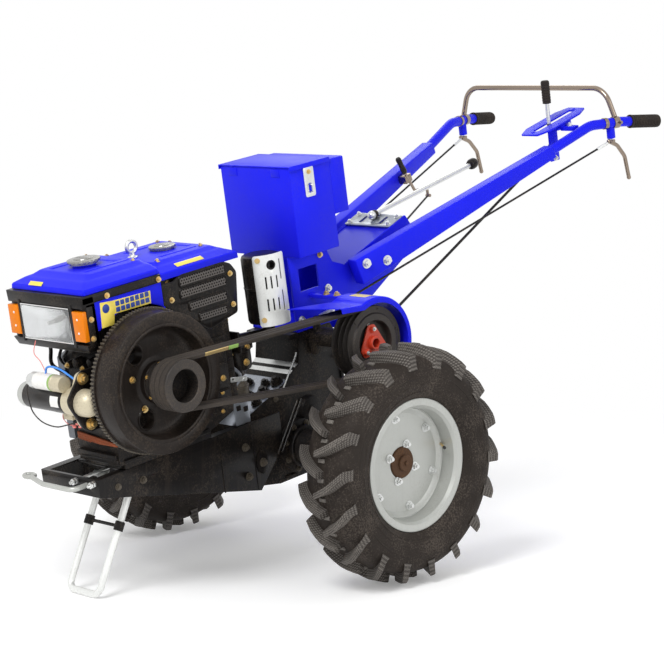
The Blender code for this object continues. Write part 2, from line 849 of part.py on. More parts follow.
def make_tank_and_hood():
    half, chamfer = ENGINE_HALF_WIDTH, TANK_CHAMFER
    front = LAMP_FRONT + 0.014
    tank = frustum(
        "fuel_tank",
        (-half, front, TANK_BOTTOM),
        (half, TANK_REAR, TANK_SHOULDER),
        (-half + chamfer, front + chamfer),
        (half - chamfer, TANK_REAR - 0.004),
    )
    crown = frustum(
        "tank_crown",
        (-half + chamfer, front + chamfer, TANK_SHOULDER - 0.001),
        (half - chamfer, TANK_REAR - 0.004, TANK_TOP),
        (-0.095, front + 0.060),
        (0.095, TANK_REAR - 0.016),
    )
    tank = join(tank, crown)
    neck = rod_between("neck", (0, -0.554, TANK_TOP - 0.01), (0, -0.554, TANK_TOP + 0.006), 0.030)
    finish(join(tank, neck), "blue_paint", ROOT)
    cap = rod_between(
        "fuel_cap",
        (0, -0.554, TANK_TOP + 0.006 + SEAT_GAP),
        (0, -0.554, TANK_TOP + 0.022),
        0.042,
        0.038,
        32,
    )
    finish(cap, "zinc", ROOT)

    hood = frustum(
        "engine_hood",
        (-half, TANK_REAR + 0.002, HOOD_BOTTOM),
        (half, HOOD_REAR, HOOD_SHOULDER),
        (-half + chamfer, TANK_REAR + 0.004),
        (half - chamfer, HOOD_REAR - 0.030),
    )
    crown = frustum(
        "hood_crown",
        (-half + chamfer, TANK_REAR + 0.004, HOOD_SHOULDER - 0.001),
        (half - chamfer, HOOD_REAR - 0.030, HOOD_TOP),
        (-0.100, TANK_REAR + 0.012),
        (0.100, HOOD_REAR - 0.050),
    )
    finish(join(hood, crown), "blue_paint", ROOT)
    cap = rod_between(
        "radiator_cap",
        (0, -0.301, HOOD_TOP + SEAT_GAP),
        (0, -0.301, HOOD_TOP + 0.018),
        0.035,
        0.032,
        32,
    )
    finish(cap, "zinc", ROOT)
    ring = [
        (0.0, -0.400 + 0.015 * cos(turn), HOOD_TOP + 0.028 + 0.015 * sin(turn))
        for turn in [radians(-75 + 330 * i / 10) for i in range(11)]
    ]
    eye = tube("lifting_eye", ring, 0.005, 1)
    stem = rod_between(
        "eye_stem", (0, -0.400, HOOD_TOP + SEAT_GAP), (0, -0.400, HOOD_TOP + 0.020), 0.009, 0.006
    )
    finish(join(stem_named(stem, "lifting_eye"), eye), "zinc", ROOT)


def stem_named(thing, name):
    old = bpy.data.objects.get(name)
    if old is not None and old is not thing:
        old.name = name + "_ring"
    thing.name = name
    return thing


def make_lamps():
    half = ENGINE_HALF_WIDTH + 0.0035
    housing = box(
        "headlight_housing",
        (-half, LAMP_FRONT, LAMP_BOTTOM),
        (half, LAMP_FRONT + LAMP_DEPTH, LAMP_TOP - 0.006),
    )
    band = box("band", (-half, LAMP_FRONT + 0.004, BAND_BOTTOM), (half, TANK_REAR, TANK_BOTTOM - SEAT_GAP))
    housing = join(housing, band)
    lens_x, lens_y = LENS_HALF_WIDTH, LAMP_FRONT + LENS_DEPTH
    amber_x, amber_y = AMBER_INNER, LAMP_FRONT + AMBER_DEPTH
    before, beyond = LAMP_FRONT - 0.01, half + 0.05
    pocket = box("lamp_pocket", (-lens_x, before, LENS_BOTTOM), (lens_x, lens_y, LENS_TOP))
    left = box("amber_pocket_left", (amber_x, before, AMBER_BOTTOM), (beyond, amber_y, AMBER_TOP))
    right = box("amber_pocket_right", (-beyond, before, AMBER_BOTTOM), (-amber_x, amber_y, AMBER_TOP))
    housing = cut(housing, pocket, left, right)
    finish(housing, "black_paint", ROOT)
    gap = SEAT_GAP
    lens = box(
        "headlight",
        (-lens_x + gap, LAMP_FRONT - LENS_STANDS_OUT, LENS_BOTTOM + gap),
        (lens_x - gap, lens_y - gap, LENS_TOP - gap),
    )
    finish(lens, "lamp_glass", ROOT)
    amber = box(
        "turn_lamp_left",
        (amber_x + gap, LAMP_FRONT - LENS_STANDS_OUT, AMBER_BOTTOM + gap),
        (half, amber_y - gap, AMBER_TOP - gap),
    )
    finish(mirrored(amber, "turn_lamp_right"), "amber", ROOT)
    finish(amber, "amber", ROOT)


def make_side_panels():
    half = ENGINE_HALF_WIDTH
    arc_radius = 0.190
    arc = []
    for i in range(9):
        turn = radians(57 + i * (126 - 57) / 8)
        arc.append((CRANK_Y + arc_radius * cos(turn), CRANK_Z + arc_radius * sin(turn)))
    outline = [(LAMP_FRONT + LAMP_DEPTH + SEAT_GAP, BAND_BOTTOM - SEAT_GAP)]
    outline += [(LAMP_FRONT + LAMP_DEPTH + SEAT_GAP, arc[-1][1])]
    outline += list(reversed(arc))
    outline += [(TANK_REAR, arc[0][1]), (TANK_REAR, BAND_BOTTOM - SEAT_GAP)]
    panel = plate_on_x("side_panel_left", outline, half - 0.002, half)
    finish(mirrored(panel, "side_panel_right"), "blue_paint", ROOT)
    finish(panel, "blue_paint", ROOT)

    top = HOOD_BOTTOM - SEAT_GAP
    outline = [
        (TANK_REAR + 0.002, top - 0.010),
        (-0.403, top - 0.013),
        (-0.373, top),
        (-0.232, top),
        (-0.209, top - 0.010),
        (-0.193, top - 0.033),
        (-0.205, 0.427),
        (-0.301, 0.407),
        (TANK_REAR + 0.002, 0.499),
    ]
    grille = plate_on_x("grille_left", outline, half - 0.004, half + 0.004)
    slots = []
    for row, (front, rear, low, high) in enumerate(GRILLE_ROWS):
        pitch = (rear - front) / GRILLE_COLUMNS
        for column in range(GRILLE_COLUMNS):
            start = front + column * pitch
            slots.append(
                box(
                    f"grille_slot_{row}_{column}",
                    (half - 0.010, start, low),
                    (half + 0.010, start + pitch - GRILLE_RIB, high),
                )
            )
    grille = cut(grille, joined_copy("grille_slots", slots))
    finish(mirrored(grille, "grille_right"), "black_paint", ROOT)
    finish(grille, "black_paint", ROOT)


def groove_profile(radius, low, high, first, count):
    """(radius, x) points across a pulley's rim from +X to -X with one V groove for each belt."""
    points = [(radius, high)]
    for i in reversed(range(count)):
        x = first + i * BELT_PITCH
        top, bottom = BELT_TOP_WIDTH / 2 + 0.0010, BELT_BOTTOM_WIDTH / 2 + 0.0010
        depth = BELT_HEIGHT + 0.0025
        points += [
            (radius, x + top),
            (radius - depth, x + bottom),
            (radius - depth, x - bottom),
            (radius, x - top),
        ]
    points.append((radius, low))
    return points


def make_flywheel():
    centre = (0.0, CRANK_Y, CRANK_Z)
    face, inner = FLYWHEEL_FACE_X, FLYWHEEL_INNER_X
    outline = [
        (FLYWHEEL_RADIUS, face),
        (FLYWHEEL_RADIUS, inner + RING_GEAR_WIDTH),
        (RING_GEAR_RADIUS, inner + RING_GEAR_WIDTH),
        (RING_GEAR_RADIUS, inner),
        (0.0, inner),
        (0.0, face - FLYWHEEL_RECESS + 0.020),
        (0.050, face - FLYWHEEL_RECESS + 0.020),
        (0.056, face - FLYWHEEL_RECESS),
        (FLYWHEEL_RECESS_RADIUS - 0.006, face - FLYWHEEL_RECESS),
        (FLYWHEEL_RECESS_RADIUS, face),
    ]
    wheel = turned_on_x("flywheel", outline, centre, 30)
    holes = []
    for i in range(FLYWHEEL_HOLES):
        turn = 2 * pi * i / FLYWHEEL_HOLES + radians(3)
        y = CRANK_Y + FLYWHEEL_HOLE_PITCH * cos(turn)
        z = CRANK_Z + FLYWHEEL_HOLE_PITCH * sin(turn)
        holes.append(
            rod_between(f"hole_{i}", (inner - 0.01, y, z), (face, y, z), FLYWHEEL_HOLE_RADIUS, sides=12)
        )
    wheel = cut(wheel, joined_copy("flywheel_holes", holes))
    finish(wheel, "black_paint", CRANK_SPIN)

    low = face - FLYWHEEL_RECESS + 0.020 + SEAT_GAP
    rim = groove_profile(PULLEY_RADIUS, BELT_FIRST_X - 0.010, PULLEY_FACE_X, BELT_FIRST_X, BELT_COUNT)
    outline = rim + [
        (0.048, low + 0.006),
        (0.048, low),
        (0.0, low),
        (0.0, PULLEY_FACE_X - PULLEY_BORE_DEPTH),
        (PULLEY_BORE, PULLEY_FACE_X - PULLEY_BORE_DEPTH),
        (PULLEY_BORE, PULLEY_FACE_X),
    ]
    finish(turned_on_x("drive_pulley", outline, centre, 16), "cast_iron", CRANK_SPIN)


def make_clutch():
    centre = (0.0, CLUTCH_Y, CLUTCH_Z)
    rim = groove_profile(CLUTCH_RADIUS, CLUTCH_INNER_X, CLUTCH_FACE_X - 0.006, BELT_FIRST_X, BELT_COUNT)
    outline = rim + [
        (0.030, CLUTCH_INNER_X),
        (0.030, 0.222),
        (0.0, 0.222),
        (0.0, CLUTCH_FACE_X - 0.020),
        (0.056, CLUTCH_FACE_X - 0.020),
        (0.060, CLUTCH_FACE_X),
        (0.078, CLUTCH_FACE_X),
        (0.084, CLUTCH_FACE_X - 0.006),
    ]
    finish(turned_on_x("clutch_pulley", outline, centre, 20), "cast_iron", CLUTCH_SPIN)
    triangle = []
    for i in range(3):
        for spread in (-10, 10):
            turn = radians(90 + 120 * i + spread)
            triangle.append((CLUTCH_Y + 0.050 * cos(turn), CLUTCH_Z + 0.050 * sin(turn)))
    plate = plate_on_x(
        "clutch_plate", triangle, CLUTCH_FACE_X - 0.020 + SEAT_GAP, CLUTCH_FACE_X + 0.006
    )
    finish(plate, "red_paint", CLUTCH_SPIN)


def belt_loop(radius_drive, radius_driven):
    """(y, z) outline of a belt's side round both pulleys at the given radii."""
    span = CLUTCH_Y - CRANK_Y
    rise = CLUTCH_Z - CRANK_Z
    length = sqrt(span * span + rise * rise)
    slope = atan2(rise, span)
    wrap = atan2(radius_driven - radius_drive, length)
    points = []
    for centre_y, centre_z, radius, start, end in (
        (CRANK_Y, CRANK_Z, radius_drive, 90 + 0, 270 - 0),
        (CLUTCH_Y, CLUTCH_Z, radius_driven, -90, 90),
    ):
        low = radians(start) + slope
        high = radians(end) + slope
        if start > 0:
            low, high = low + wrap, high - wrap
        else:
            low, high = low - wrap, high + wrap
        for i in range(10):
            turn = low + (high - low) * i / 9
            points.append((centre_y + radius * cos(turn), centre_z + radius * sin(turn)))
    return points


def make_belts():
    for i in range(BELT_COUNT):
        x = BELT_FIRST_X + i * BELT_PITCH
        outer = belt_loop(PULLEY_RADIUS + 0.0005, CLUTCH_RADIUS + 0.0005)
        inner = belt_loop(PULLEY_RADIUS - BELT_HEIGHT, CLUTCH_RADIUS - BELT_HEIGHT)
        name = f"drive_belt_{i + 1}"
        shape = bmesh.new()
        rings = []
        for loop, half in ((outer, BELT_TOP_WIDTH / 2), (inner, BELT_BOTTOM_WIDTH / 2)):
            for side in (1, -1):
                rings.append([shape.verts.new((x + side * half, y, z)) for y, z in loop])
        order = (rings[0], rings[1], rings[3], rings[2])
        count = len(outer)
        for first, second in zip(order, order[1:] + order[:1]):
            for k in range(count):
                n = (k + 1) % count
                shape.faces.new((first[k], first[n], second[n], second[k]))
        finish(add_object(name, mesh_from_bmesh(name, shape)), "belt_rubber", ROOT)


def cover_band(name, outer_drop, inner_drop, low_x, high_x, extra=0.0):
    """A band along the cover's path between two depths below its skin, run on by extra at its ends."""
    start, end, steps = radians(112), radians(-18) - extra / COVER_RADIUS, 12
    arc = [start + (end - start) * i / steps for i in range(steps + 1)]
    tip_z = CLUTCH_Z + COVER_RADIUS * sin(start) + COVER_TIP_RISE
    sides = []
    for drop in (outer_drop, inner_drop):
        radius = COVER_RADIUS - drop
        side = [(COVER_TIP_Y - extra, tip_z - drop)]
        side += [(CLUTCH_Y + radius * cos(turn), CLUTCH_Z + radius * sin(turn)) for turn in arc]
        sides.append(side)
    return plate_on_x(name, sides[0] + list(reversed(sides[1])), low_x, high_x)


def make_belt_cover():
    wall = COVER_WALL
    cover = cover_band("belt_cover", 0.0, COVER_LIP, COVER_INNER_X, COVER_OUTER_X)
    inside = cover_band(
        "cover_inside", wall, COVER_LIP + 0.004, COVER_INNER_X - 0.01, COVER_OUTER_X - wall, 0.008
    )
    # the skin is cut off slantwise, from a long inner edge back to the lip
    slant = plate_on_z(
        "cover_slant",
        [
            (COVER_INNER_X, COVER_TIP_Y),
            (COVER_OUTER_X, COVER_LIP_FRONT),
            (COVER_OUTER_X + 0.02, COVER_LIP_FRONT),
            (COVER_OUTER_X + 0.02, COVER_TIP_Y - 0.02),
            (COVER_INNER_X, COVER_TIP_Y - 0.02),
        ],
        CLUTCH_Z,
        CLUTCH_Z + COVER_RADIUS + 0.05,
    )
    cover = cut(cover, inside, slant)
    arm = box(
        "cover_bracket",
        (NECK_HALF_WIDTH + SEAT_GAP, 0.105, CLUTCH_Z + COVER_RADIUS - 0.018),
        (COVER_INNER_X + 0.01, 0.125, CLUTCH_Z + COVER_RADIUS - 0.001),
    )
    finish(join(cover, arm), "blue_paint", ROOT)


def make_starter():
    y, z = STARTER_Y, STARTER_Z
    seat_y = CRANKCASE_FRONT - 0.008 - SEAT_GAP
    body = turned_on_x(
        "starter_motor",
        [
            (0.012, 0.158),
            (0.020, 0.152),
            (0.034, 0.140),
            (0.036, 0.120),
            (0.036, 0.060),
            (0.034, -0.010),
            (0.033, -0.118),
            (0.026, -0.126),
            (0.0, -0.126),
            (0.0, 0.158),
        ],
        (0, y, z),
        20,
    )
    ear = plate_on_x(
        "starter_ear",
        [(y - 0.030, z), (y, z + 0.070), (seat_y, z + 0.072), (seat_y, z - 0.068), (y, z - 0.062)],
        0.098,
        0.112,
    )
    finish(join(body, ear), "cream_cast", ROOT)
    solenoid_y, solenoid_z = y + SOLENOID_OFFSET[0], z + SOLENOID_OFFSET[1]
    solenoid = rod_between(
        "starter_solenoid",
        (SOLENOID_ENDS[0], solenoid_y, solenoid_z),
        (SOLENOID_ENDS[1], solenoid_y, solenoid_z),
        SOLENOID_RADIUS,
        sides=20,
    )
    finish(solenoid, "zinc", ROOT)


def make_exhaust():
    x, y, radius = MUFFLER_X, MUFFLER_Y, MUFFLER_RADIUS
    body = rod_between(
        "muffler", (x, y, MUFFLER_BOTTOM), (x, y, MUFFLER_TOP), radius, sides=20
    )
    pipe = tube(
        "exhaust_pipe",
        rounded(
            [
                (x, y, MUFFLER_BOTTOM + 0.008),
                (x, y, MUFFLER_BOTTOM - 0.032),
                (x - 0.036, HEAD_REAR + 0.018, MUFFLER_BOTTOM - 0.032),
                (x - 0.036, HEAD_REAR + SEAT_GAP, MUFFLER_BOTTOM - 0.032),
            ],
            0.02,
        ),
        0.016,
    )
    outward = Vector((cos(OUTLET_TURN), sin(OUTLET_TURN), 0.0))
    centre = Vector((x, y, OUTLET_Z))
    outlet_start = centre + outward * (radius - 0.010)
    outlet_end = centre + outward * (radius + 0.007)
    outlet = rod_between("outlet", outlet_start, outlet_end, 0.012)
    finish(join(body, pipe, outlet), "black_paint", ROOT)
    shield_radius = radius + 0.012
    span = [radians(-62 + 87 * i / 8) for i in range(9)]
    outline = [(x + shield_radius * cos(t), y + shield_radius * sin(t)) for t in span]
    inner = [(x + (shield_radius - 0.002) * cos(t), y + (shield_radius - 0.002) * sin(t)) for t in span]
    curve = bpy.data.curves.new("heat_shield", "CURVE")
    curve.dimensions = "2D"
    curve.fill_mode = "BOTH"
    curve.extrude = SHIELD_HEIGHT / 2
    spline = curve.splines.new("POLY")
    points = outline + list(reversed(inner))
    spline.points.add(len(points) - 1)
    for point, place in zip(spline.points, points):
        point.co = (place[0], place[1], 0.0, 1.0)
    spline.use_cyclic_u = True
    thing = bpy.data.objects.new("heat_shield", curve)
    PARTS.objects.link(thing)
    thing.location = (0.0, 0.0, MUFFLER_TOP - 0.089)
    bpy.context.view_layer.update()
    port = rod_between(
        "shield_port", outlet_end, outlet_end + outward * 0.020, 0.015, sides=16
    )
    shield = cut(bake(thing), port)
    posts = [
        rod_between(
            f"shield_post_{i}",
            (x + (radius + SEAT_GAP) * cos(t), y + (radius + SEAT_GAP) * sin(t), z),
            (x + (shield_radius - 0.001) * cos(t), y + (shield_radius - 0.001) * sin(t), z),
            0.004,
            sides=10,
        )
        for i, (t, z) in enumerate(((radians(-50), 0.536), (radians(-50), 0.382)))
    ]
    finish(join(shield, *posts), "zinc", ROOT)


def make_air_cleaner():
    x, y, radius = CLEANER_X, CLEANER_Y, CLEANER_RADIUS
    low, high = CLEANER_BOTTOM, CLEANER_BOTTOM + CLEANER_HEIGHT
    port = low - CLEANER_PORT_DROP
    body = rod_between("air_cleaner", (x, y, low), (x, y, high), radius, sides=18)
    lid = rod_between(
        "air_lid", (x, y, high - 0.001), (x, y, high + 0.012), radius + 0.003, radius - 0.005, 18
    )
    pipe = tube(
        "intake_pipe",
        rounded([(x, y, low + 0.005), (x, y, port), (x, HEAD_REAR + SEAT_GAP, port)], 0.02),
        INTAKE_RADIUS,
    )
    finish(join(body, lid, pipe), "black_paint", ROOT)


def make_toolbox():
    half, wall = BOX_HALF_WIDTH, BOX_WALL
    outer = box("toolbox", (-half, BOX_FRONT, BOX_BOTTOM), (half, BOX_REAR, BOX_TOP))
    hollow = box(
        "toolbox_hollow",
        (-half + wall, BOX_FRONT + wall, BOX_BOTTOM + wall),
        (half - wall, BOX_REAR - wall, BOX_TOP + 0.02),
    )
    outer = cut(outer, hollow)
    rear = box(
        "battery_box",
        (-half, BOX_REAR - 0.001, REAR_BOX_BOTTOM),
        (half, BOX_REAR + REAR_BOX_DEPTH, BOX_TOP - 0.004),
    )
    finish(join(outer, rear), "blue_paint", ROOT)

    over, lip, gap = LID_OVERHANG, LID_LIP, SEAT_GAP
    lid = box(
        "toolbox_lid",
        (-half - over, BOX_FRONT - over, BOX_TOP + gap),
        (half + over, BOX_REAR - 0.002, BOX_TOP + gap + LID_WALL),
    )
    skirts = []
    for side in (1, -1):
        edges = sorted((side * (half + over), side * (half + 0.0015)))
        skirts.append(
            box(
                f"lid_skirt_{side}",
                (edges[0], BOX_FRONT - over, BOX_TOP + gap - lip),
                (edges[1], BOX_REAR - 0.002, BOX_TOP + gap + LID_WALL / 2),
            )
        )
    finish(join(lid, *skirts), "blue_paint", LID_SWING)


def neck_top_frame():
    """Places a piece on the neck's sloping top, its Z square to the slope."""
    slope = atan2(0.5216 - 0.440, 0.505 - 0.250)
    middle = Vector((0.0, GATE_Y, 0.440 + (GATE_Y - 0.250) * tan(slope)))
    return Matrix.Translation(middle) @ Matrix.Rotation(slope, 4, "X")


def make_neck():
    half, wall = NECK_HALF_WIDTH, 0.006
    outline = [
        (0.047, GEARBOX_TOP + SEAT_GAP),
        (0.047, BOX_BOTTOM - SEAT_GAP),
        (0.185, BOX_BOTTOM - SEAT_GAP),
        (0.205, 0.460),
        (0.250, 0.440),
        (0.505, 0.5216),
        (0.522, 0.495),
        (0.480, 0.405),
        (0.330, 0.325),
        (0.238, 0.262),
        (GEARBOX_REAR + SEAT_GAP, IMPLEMENT_FACE_TOP + 0.010),
        (GEARBOX_REAR + SEAT_GAP, GEARBOX_TOP + SEAT_GAP),
    ]
    left = plate_on_x("handle_neck", outline, half - wall, half)
    right = plate_on_x("neck_right", outline, -half, -half + wall)
    top = plate_on_x(
        "neck_top",
        [(0.246, 0.4355), (0.503, 0.5178), (0.506, 0.512), (0.250, 0.430)],
        -half + wall / 2,
        half - wall / 2,
    )
    back = plate_on_x(
        "neck_back",
        [(0.241, 0.262), (0.330, 0.331), (0.466, 0.410), (0.469, 0.404), (0.334, 0.326), (0.245, 0.258)],
        -half + wall / 2,
        half - wall / 2,
    )
    shelf = box(
        "box_shelf",
        (-half + wall / 2, 0.050, BOX_BOTTOM - 0.006),
        (half - wall / 2, 0.183, BOX_BOTTOM - SEAT_GAP),
    )
    base = box(
        "neck_base",
        (-half + wall / 2, 0.048, GEARBOX_TOP + SEAT_GAP),
        (half - wall / 2, GEARBOX_REAR - 0.002, GEARBOX_TOP + 0.008),
    )
    neck = join(left, right, top, back, shelf, base)
    window = box("neck_window", (-0.2, 0.077, 0.405), (0.2, 0.147, 0.467))
    neck = cut(neck, window)
    wedge = arm_wedge()
    neck = join(neck, mirrored(wedge, "arm_wedge_right"), wedge)
    finish(neck, "blue_paint", ROOT)
    gate = box("gate_plate", (-half, -0.032, SEAT_GAP), (half, 0.032, SEAT_GAP + GATE_WALL))
    gate.data.transform(neck_top_frame())
    finish(gate, "zinc", ROOT)


def on_tube(y):
    """The middle of the left handle tube at y, between its two bends."""
    share = (y - TUBE_BEND.y) / (TUBE_FLAT.y - TUBE_BEND.y)
    return TUBE_BEND.lerp(TUBE_FLAT, share)


def arm_axes():
    """Unit vectors along the left arm, out to its side and up across it."""
    direction = (ARM_END - ARM_ROOT).normalized()
    sideways = direction.cross(Vector((0, 0, 1))).normalized()
    return direction, sideways, sideways.cross(direction).normalized()


def arm_wedge():
    """The packing block that fills the angle between the neck's side and the left arm."""
    direction, sideways, upward = arm_axes()
    shape = bmesh.new()
    bmesh.ops.create_cube(shape, size=1.0)
    for vertex in shape.verts:
        along = ARM_WEDGE_END if vertex.co.y > 0 else ARM_WEDGE_START
        height = ARM_WEDGE_HEIGHT / 2 if vertex.co.z > 0 else -ARM_WEDGE_HEIGHT / 2
        place = ARM_ROOT + direction * along + upward * height
        place -= sideways * (ARM_WIDTH / 2 + SEAT_GAP)
        if vertex.co.x < 0:
            place.x = NECK_HALF_WIDTH - 0.003
        vertex.co = place
    return add_object("arm_wedge", mesh_from_bmesh("arm_wedge", shape))


def make_handles():
    direction, sideways, upward = arm_axes()
    shape = bmesh.new()
    bmesh.ops.create_cube(shape, size=1.0)
    for vertex in shape.verts:
        far = vertex.co.z > 0
        height = ARM_END_HEIGHT if far else ARM_ROOT_HEIGHT
        along = ARM_END + direction * 0.010 if far else ARM_ROOT
        vertex.co = (
            along
            + sideways * (vertex.co.x * ARM_WIDTH)
            + upward * (vertex.co.y * height)
        )
    arm = add_object("handle_left", mesh_from_bmesh("handle_left", shape))
    path = rounded([ARM_END - direction * 0.06, TUBE_BEND, TUBE_FLAT, GRIP_END], 0.09, 5)
    hanger_top = on_tube(LEVER_Y)
    hanger = box(
        "lever_hanger",
        (hanger_top.x - 0.009, LEVER_Y - 0.010, hanger_top.z - LEVER_HANGER),
        (hanger_top.x + 0.009, LEVER_Y + 0.010, hanger_top.z - 0.004),
    )
    arm = join(arm, tube("handle_tube", path, TUBE_RADIUS, 3), hanger)
    finish(mirrored(arm, "handle_right"), "blue_paint", ROOT)
    finish(arm, "blue_paint", ROOT)

    back = (TUBE_FLAT - GRIP_END).normalized()
    inner_end, outer_end = GRIP_END + back * GRIP_LENGTH, GRIP_END - back * 0.006
    grip = rod_between("grip_left", inner_end, outer_end, GRIP_RADIUS, sides=20)
    bore = rod_between(
        "grip_bore",
        GRIP_END + back * (GRIP_LENGTH + 0.01),
        GRIP_END - back * 0.0005,
        TUBE_RADIUS + PIN_GAP,
        sides=24,
    )
    grip = cut(grip, bore)
    finish(mirrored(grip, "grip_right"), "rubber", ROOT)
    finish(grip, "rubber", ROOT)

    foot = on_tube(ARCH_Y) + Vector((0.0, 0.0, TUBE_RADIUS + ARCH_SEAT))
    path = rounded(
        [
            (-foot.x, foot.y, foot.z),
            (-ARCH_HALF_WIDTH, foot.y, ARCH_TOP),
            (ARCH_HALF_WIDTH, foot.y, ARCH_TOP),
            (foot.x, foot.y, foot.z),
        ],
        ARCH_BEND,
        6,
    )
    finish(tube("arch_bar", path, ARCH_ROD), "chrome", ROOT)


def make_quadrant():
    """The slotted plate that the main lever works in, and its feet on the left tube."""
    middle_y = (QUADRANT_FRONT + QUADRANT_REAR) / 2
    reach = (QUADRANT_REAR - QUADRANT_FRONT) / 2
    outline = [
        (-0.030, -reach),
        (0.030, -reach),
        (0.048, -reach * 0.6),
        (0.048, reach * 0.6),
        (0.030, reach),
        (-0.030, reach),
        (-0.048, reach * 0.6),
        (-0.048, -reach * 0.6),
    ]
    plate = plate_on_z("quadrant", outline, 0.0, QUADRANT_WALL)
    slot = box("quadrant_slot", (-0.010, -0.085, -0.02), (0.010, 0.090, 0.02))
    plate = cut(plate, slot)
    turn = Matrix.Translation((LEVER_X, middle_y, QUADRANT_Z)) @ Matrix.Rotation(QUADRANT_LEAN, 4, "X")
    plate.data.transform(turn)
    side_x = LEVER_X + 0.034
    foot = box(
        "quadrant_foot",
        (side_x, 1.070, QUADRANT_Z - 0.022),
        (QUADRANT_SEAT_X, 1.100, QUADRANT_Z - 0.009),
    )
    web = box(
        "quadrant_web",
        (side_x, 1.062, QUADRANT_Z - 0.012),
        (side_x + 0.012, 1.108, QUADRANT_Z + QUADRANT_WALL * 0.6),
    )
    hanger = box(
        "quadrant_hanger",
        (LEVER_X + LEVER_ROD + SEAT_GAP, LEVER_PIVOT_Y - 0.018, 0.568),
        (LEVER_X + LEVER_ROD + 0.006, LEVER_PIVOT_Y + 0.020, QUADRANT_Z - 0.010),
    )
    bridge = box(
        "quadrant_bridge",
        (LEVER_X + LEVER_ROD + SEAT_GAP, LEVER_PIVOT_Y - 0.010, QUADRANT_Z - 0.018),
        (side_x + 0.006, LEVER_PIVOT_Y + 0.030, QUADRANT_Z - 0.010),
    )
    finish(join(plate, foot, web, bridge, hanger), "blue_paint", ROOT)


def make_levers():
    rod = tube(
        "main_lever",
        [(LEVER_X, LEVER_PIVOT_Y, LEVER_BOTTOM), (LEVER_X, LEVER_PIVOT_Y, LEVER_TOP - 0.060)],
        LEVER_ROD,
    )
    knob = rod_between(
        "lever_grip",
        (LEVER_X, LEVER_PIVOT_Y, LEVER_TOP - 0.068),
        (LEVER_X, LEVER_PIVOT_Y, LEVER_TOP),
        LEVER_GRIP,
    )
    link = tube(
        "clutch_rod",
        [(LEVER_X, LEVER_PIVOT_Y, CLUTCH_ROD_TOP), CLUTCH_ROD_END],
        CLUTCH_ROD,
    )
    finish(join(rod, knob, link), "rubber", ROOT)
    top = on_tube(LEVER_Y) - Vector((0.0, 0.0, LEVER_HANGER + SEAT_GAP + LEVER_ROD))
    path = rounded(
        [
            top + Vector((0.0, -0.013, 0.001)),
            top + Vector((0.0, 0.024, -0.018)),
            top + Vector((0.0, 0.054, -0.056)),
            top + Vector((0.0, 0.065, -0.122)),
        ],
        0.03,
    )
    lever = tube("steering_lever_left", path, LEVER_ROD, 1)
    end = Vector((GEARBOX_HALF_WIDTH + 0.012, STEERING_ARM_Y, STEERING_ARM_TOP + 0.0075))
    rod = tube("rod", [top + Vector((0.0, -0.006, -0.001)), end], STEERING_ROD, 1)
    eye = rod_between(
        "rod_eye",
        (end.x, end.y, STEERING_ARM_TOP + SEAT_GAP),
        (end.x, end.y, STEERING_ARM_TOP + 0.014),
        0.006,
        sides=12,
    )
    lever = join(lever, rod, eye)
    finish(mirrored(lever, "steering_lever_right"), "chrome", ROOT)
    finish(lever, "chrome", ROOT)
    seat = neck_top_frame() @ Vector((0.0, 0.0, GATE_WALL + 2 * SEAT_GAP + SHIFT_BALL))
    shift = tube("shift_lever", [seat, (0.0, 0.890, 0.585)], 0.007)
    ball = bmesh.new()
    bmesh.ops.create_uvsphere(ball, u_segments=10, v_segments=6, radius=SHIFT_BALL)
    bmesh.ops.translate(ball, vec=seat, verts=ball.verts)
    shift = join(shift, add_object("shift_ball", mesh_from_bmesh("shift_ball", ball)))
    knob = rod_between("shift_knob", (0.0, 0.885, 0.584), (0.0, 0.915, 0.590), 0.016, sides=16)
    finish(join(shift, knob), "zinc", ROOT)


def make_side_lever():
    direction, sideways, upward = arm_axes()
    shape = bmesh.new()
    bmesh.ops.create_cube(shape, size=1.0)
    for vertex in shape.verts:
        along = SIDE_LEVER_SEAT + vertex.co.y * 0.028
        place = ARM_ROOT + direction * along + upward * (vertex.co.z * 0.024)
        place -= sideways * (ARM_WIDTH / 2 + SEAT_GAP)
        if vertex.co.x < 0:
            place.x = SIDE_LEVER_X - 0.003
        vertex.co = place
    bracket = add_object("side_bracket", mesh_from_bmesh("side_bracket", shape))
    x = SIDE_LEVER_X
    path = rounded(
        [(x, 0.752, 0.622), (x, 0.775, 0.576), (x, 0.806, 0.520), (x, 0.859, 0.517), (x, 0.859, 0.4915)],
        0.010,
        1,
    )
    lever = tube("side_rod", path, SIDE_LEVER_ROD, 1)
    grip = rod_between("side_grip", (x, 0.749, 0.629), (x, 0.773, 0.580), 0.009, sides=12)
    link = tube("side_link", [(x, 0.859, 0.4940), (0.014, 0.486, 0.4155)], STEERING_ROD, 1)
    lever = join(lever, bracket, grip, link)
    finish(mirrored(lever, "side_lever"), "chrome", ROOT)
    bpy.data.objects.remove(lever, do_unlink=True)


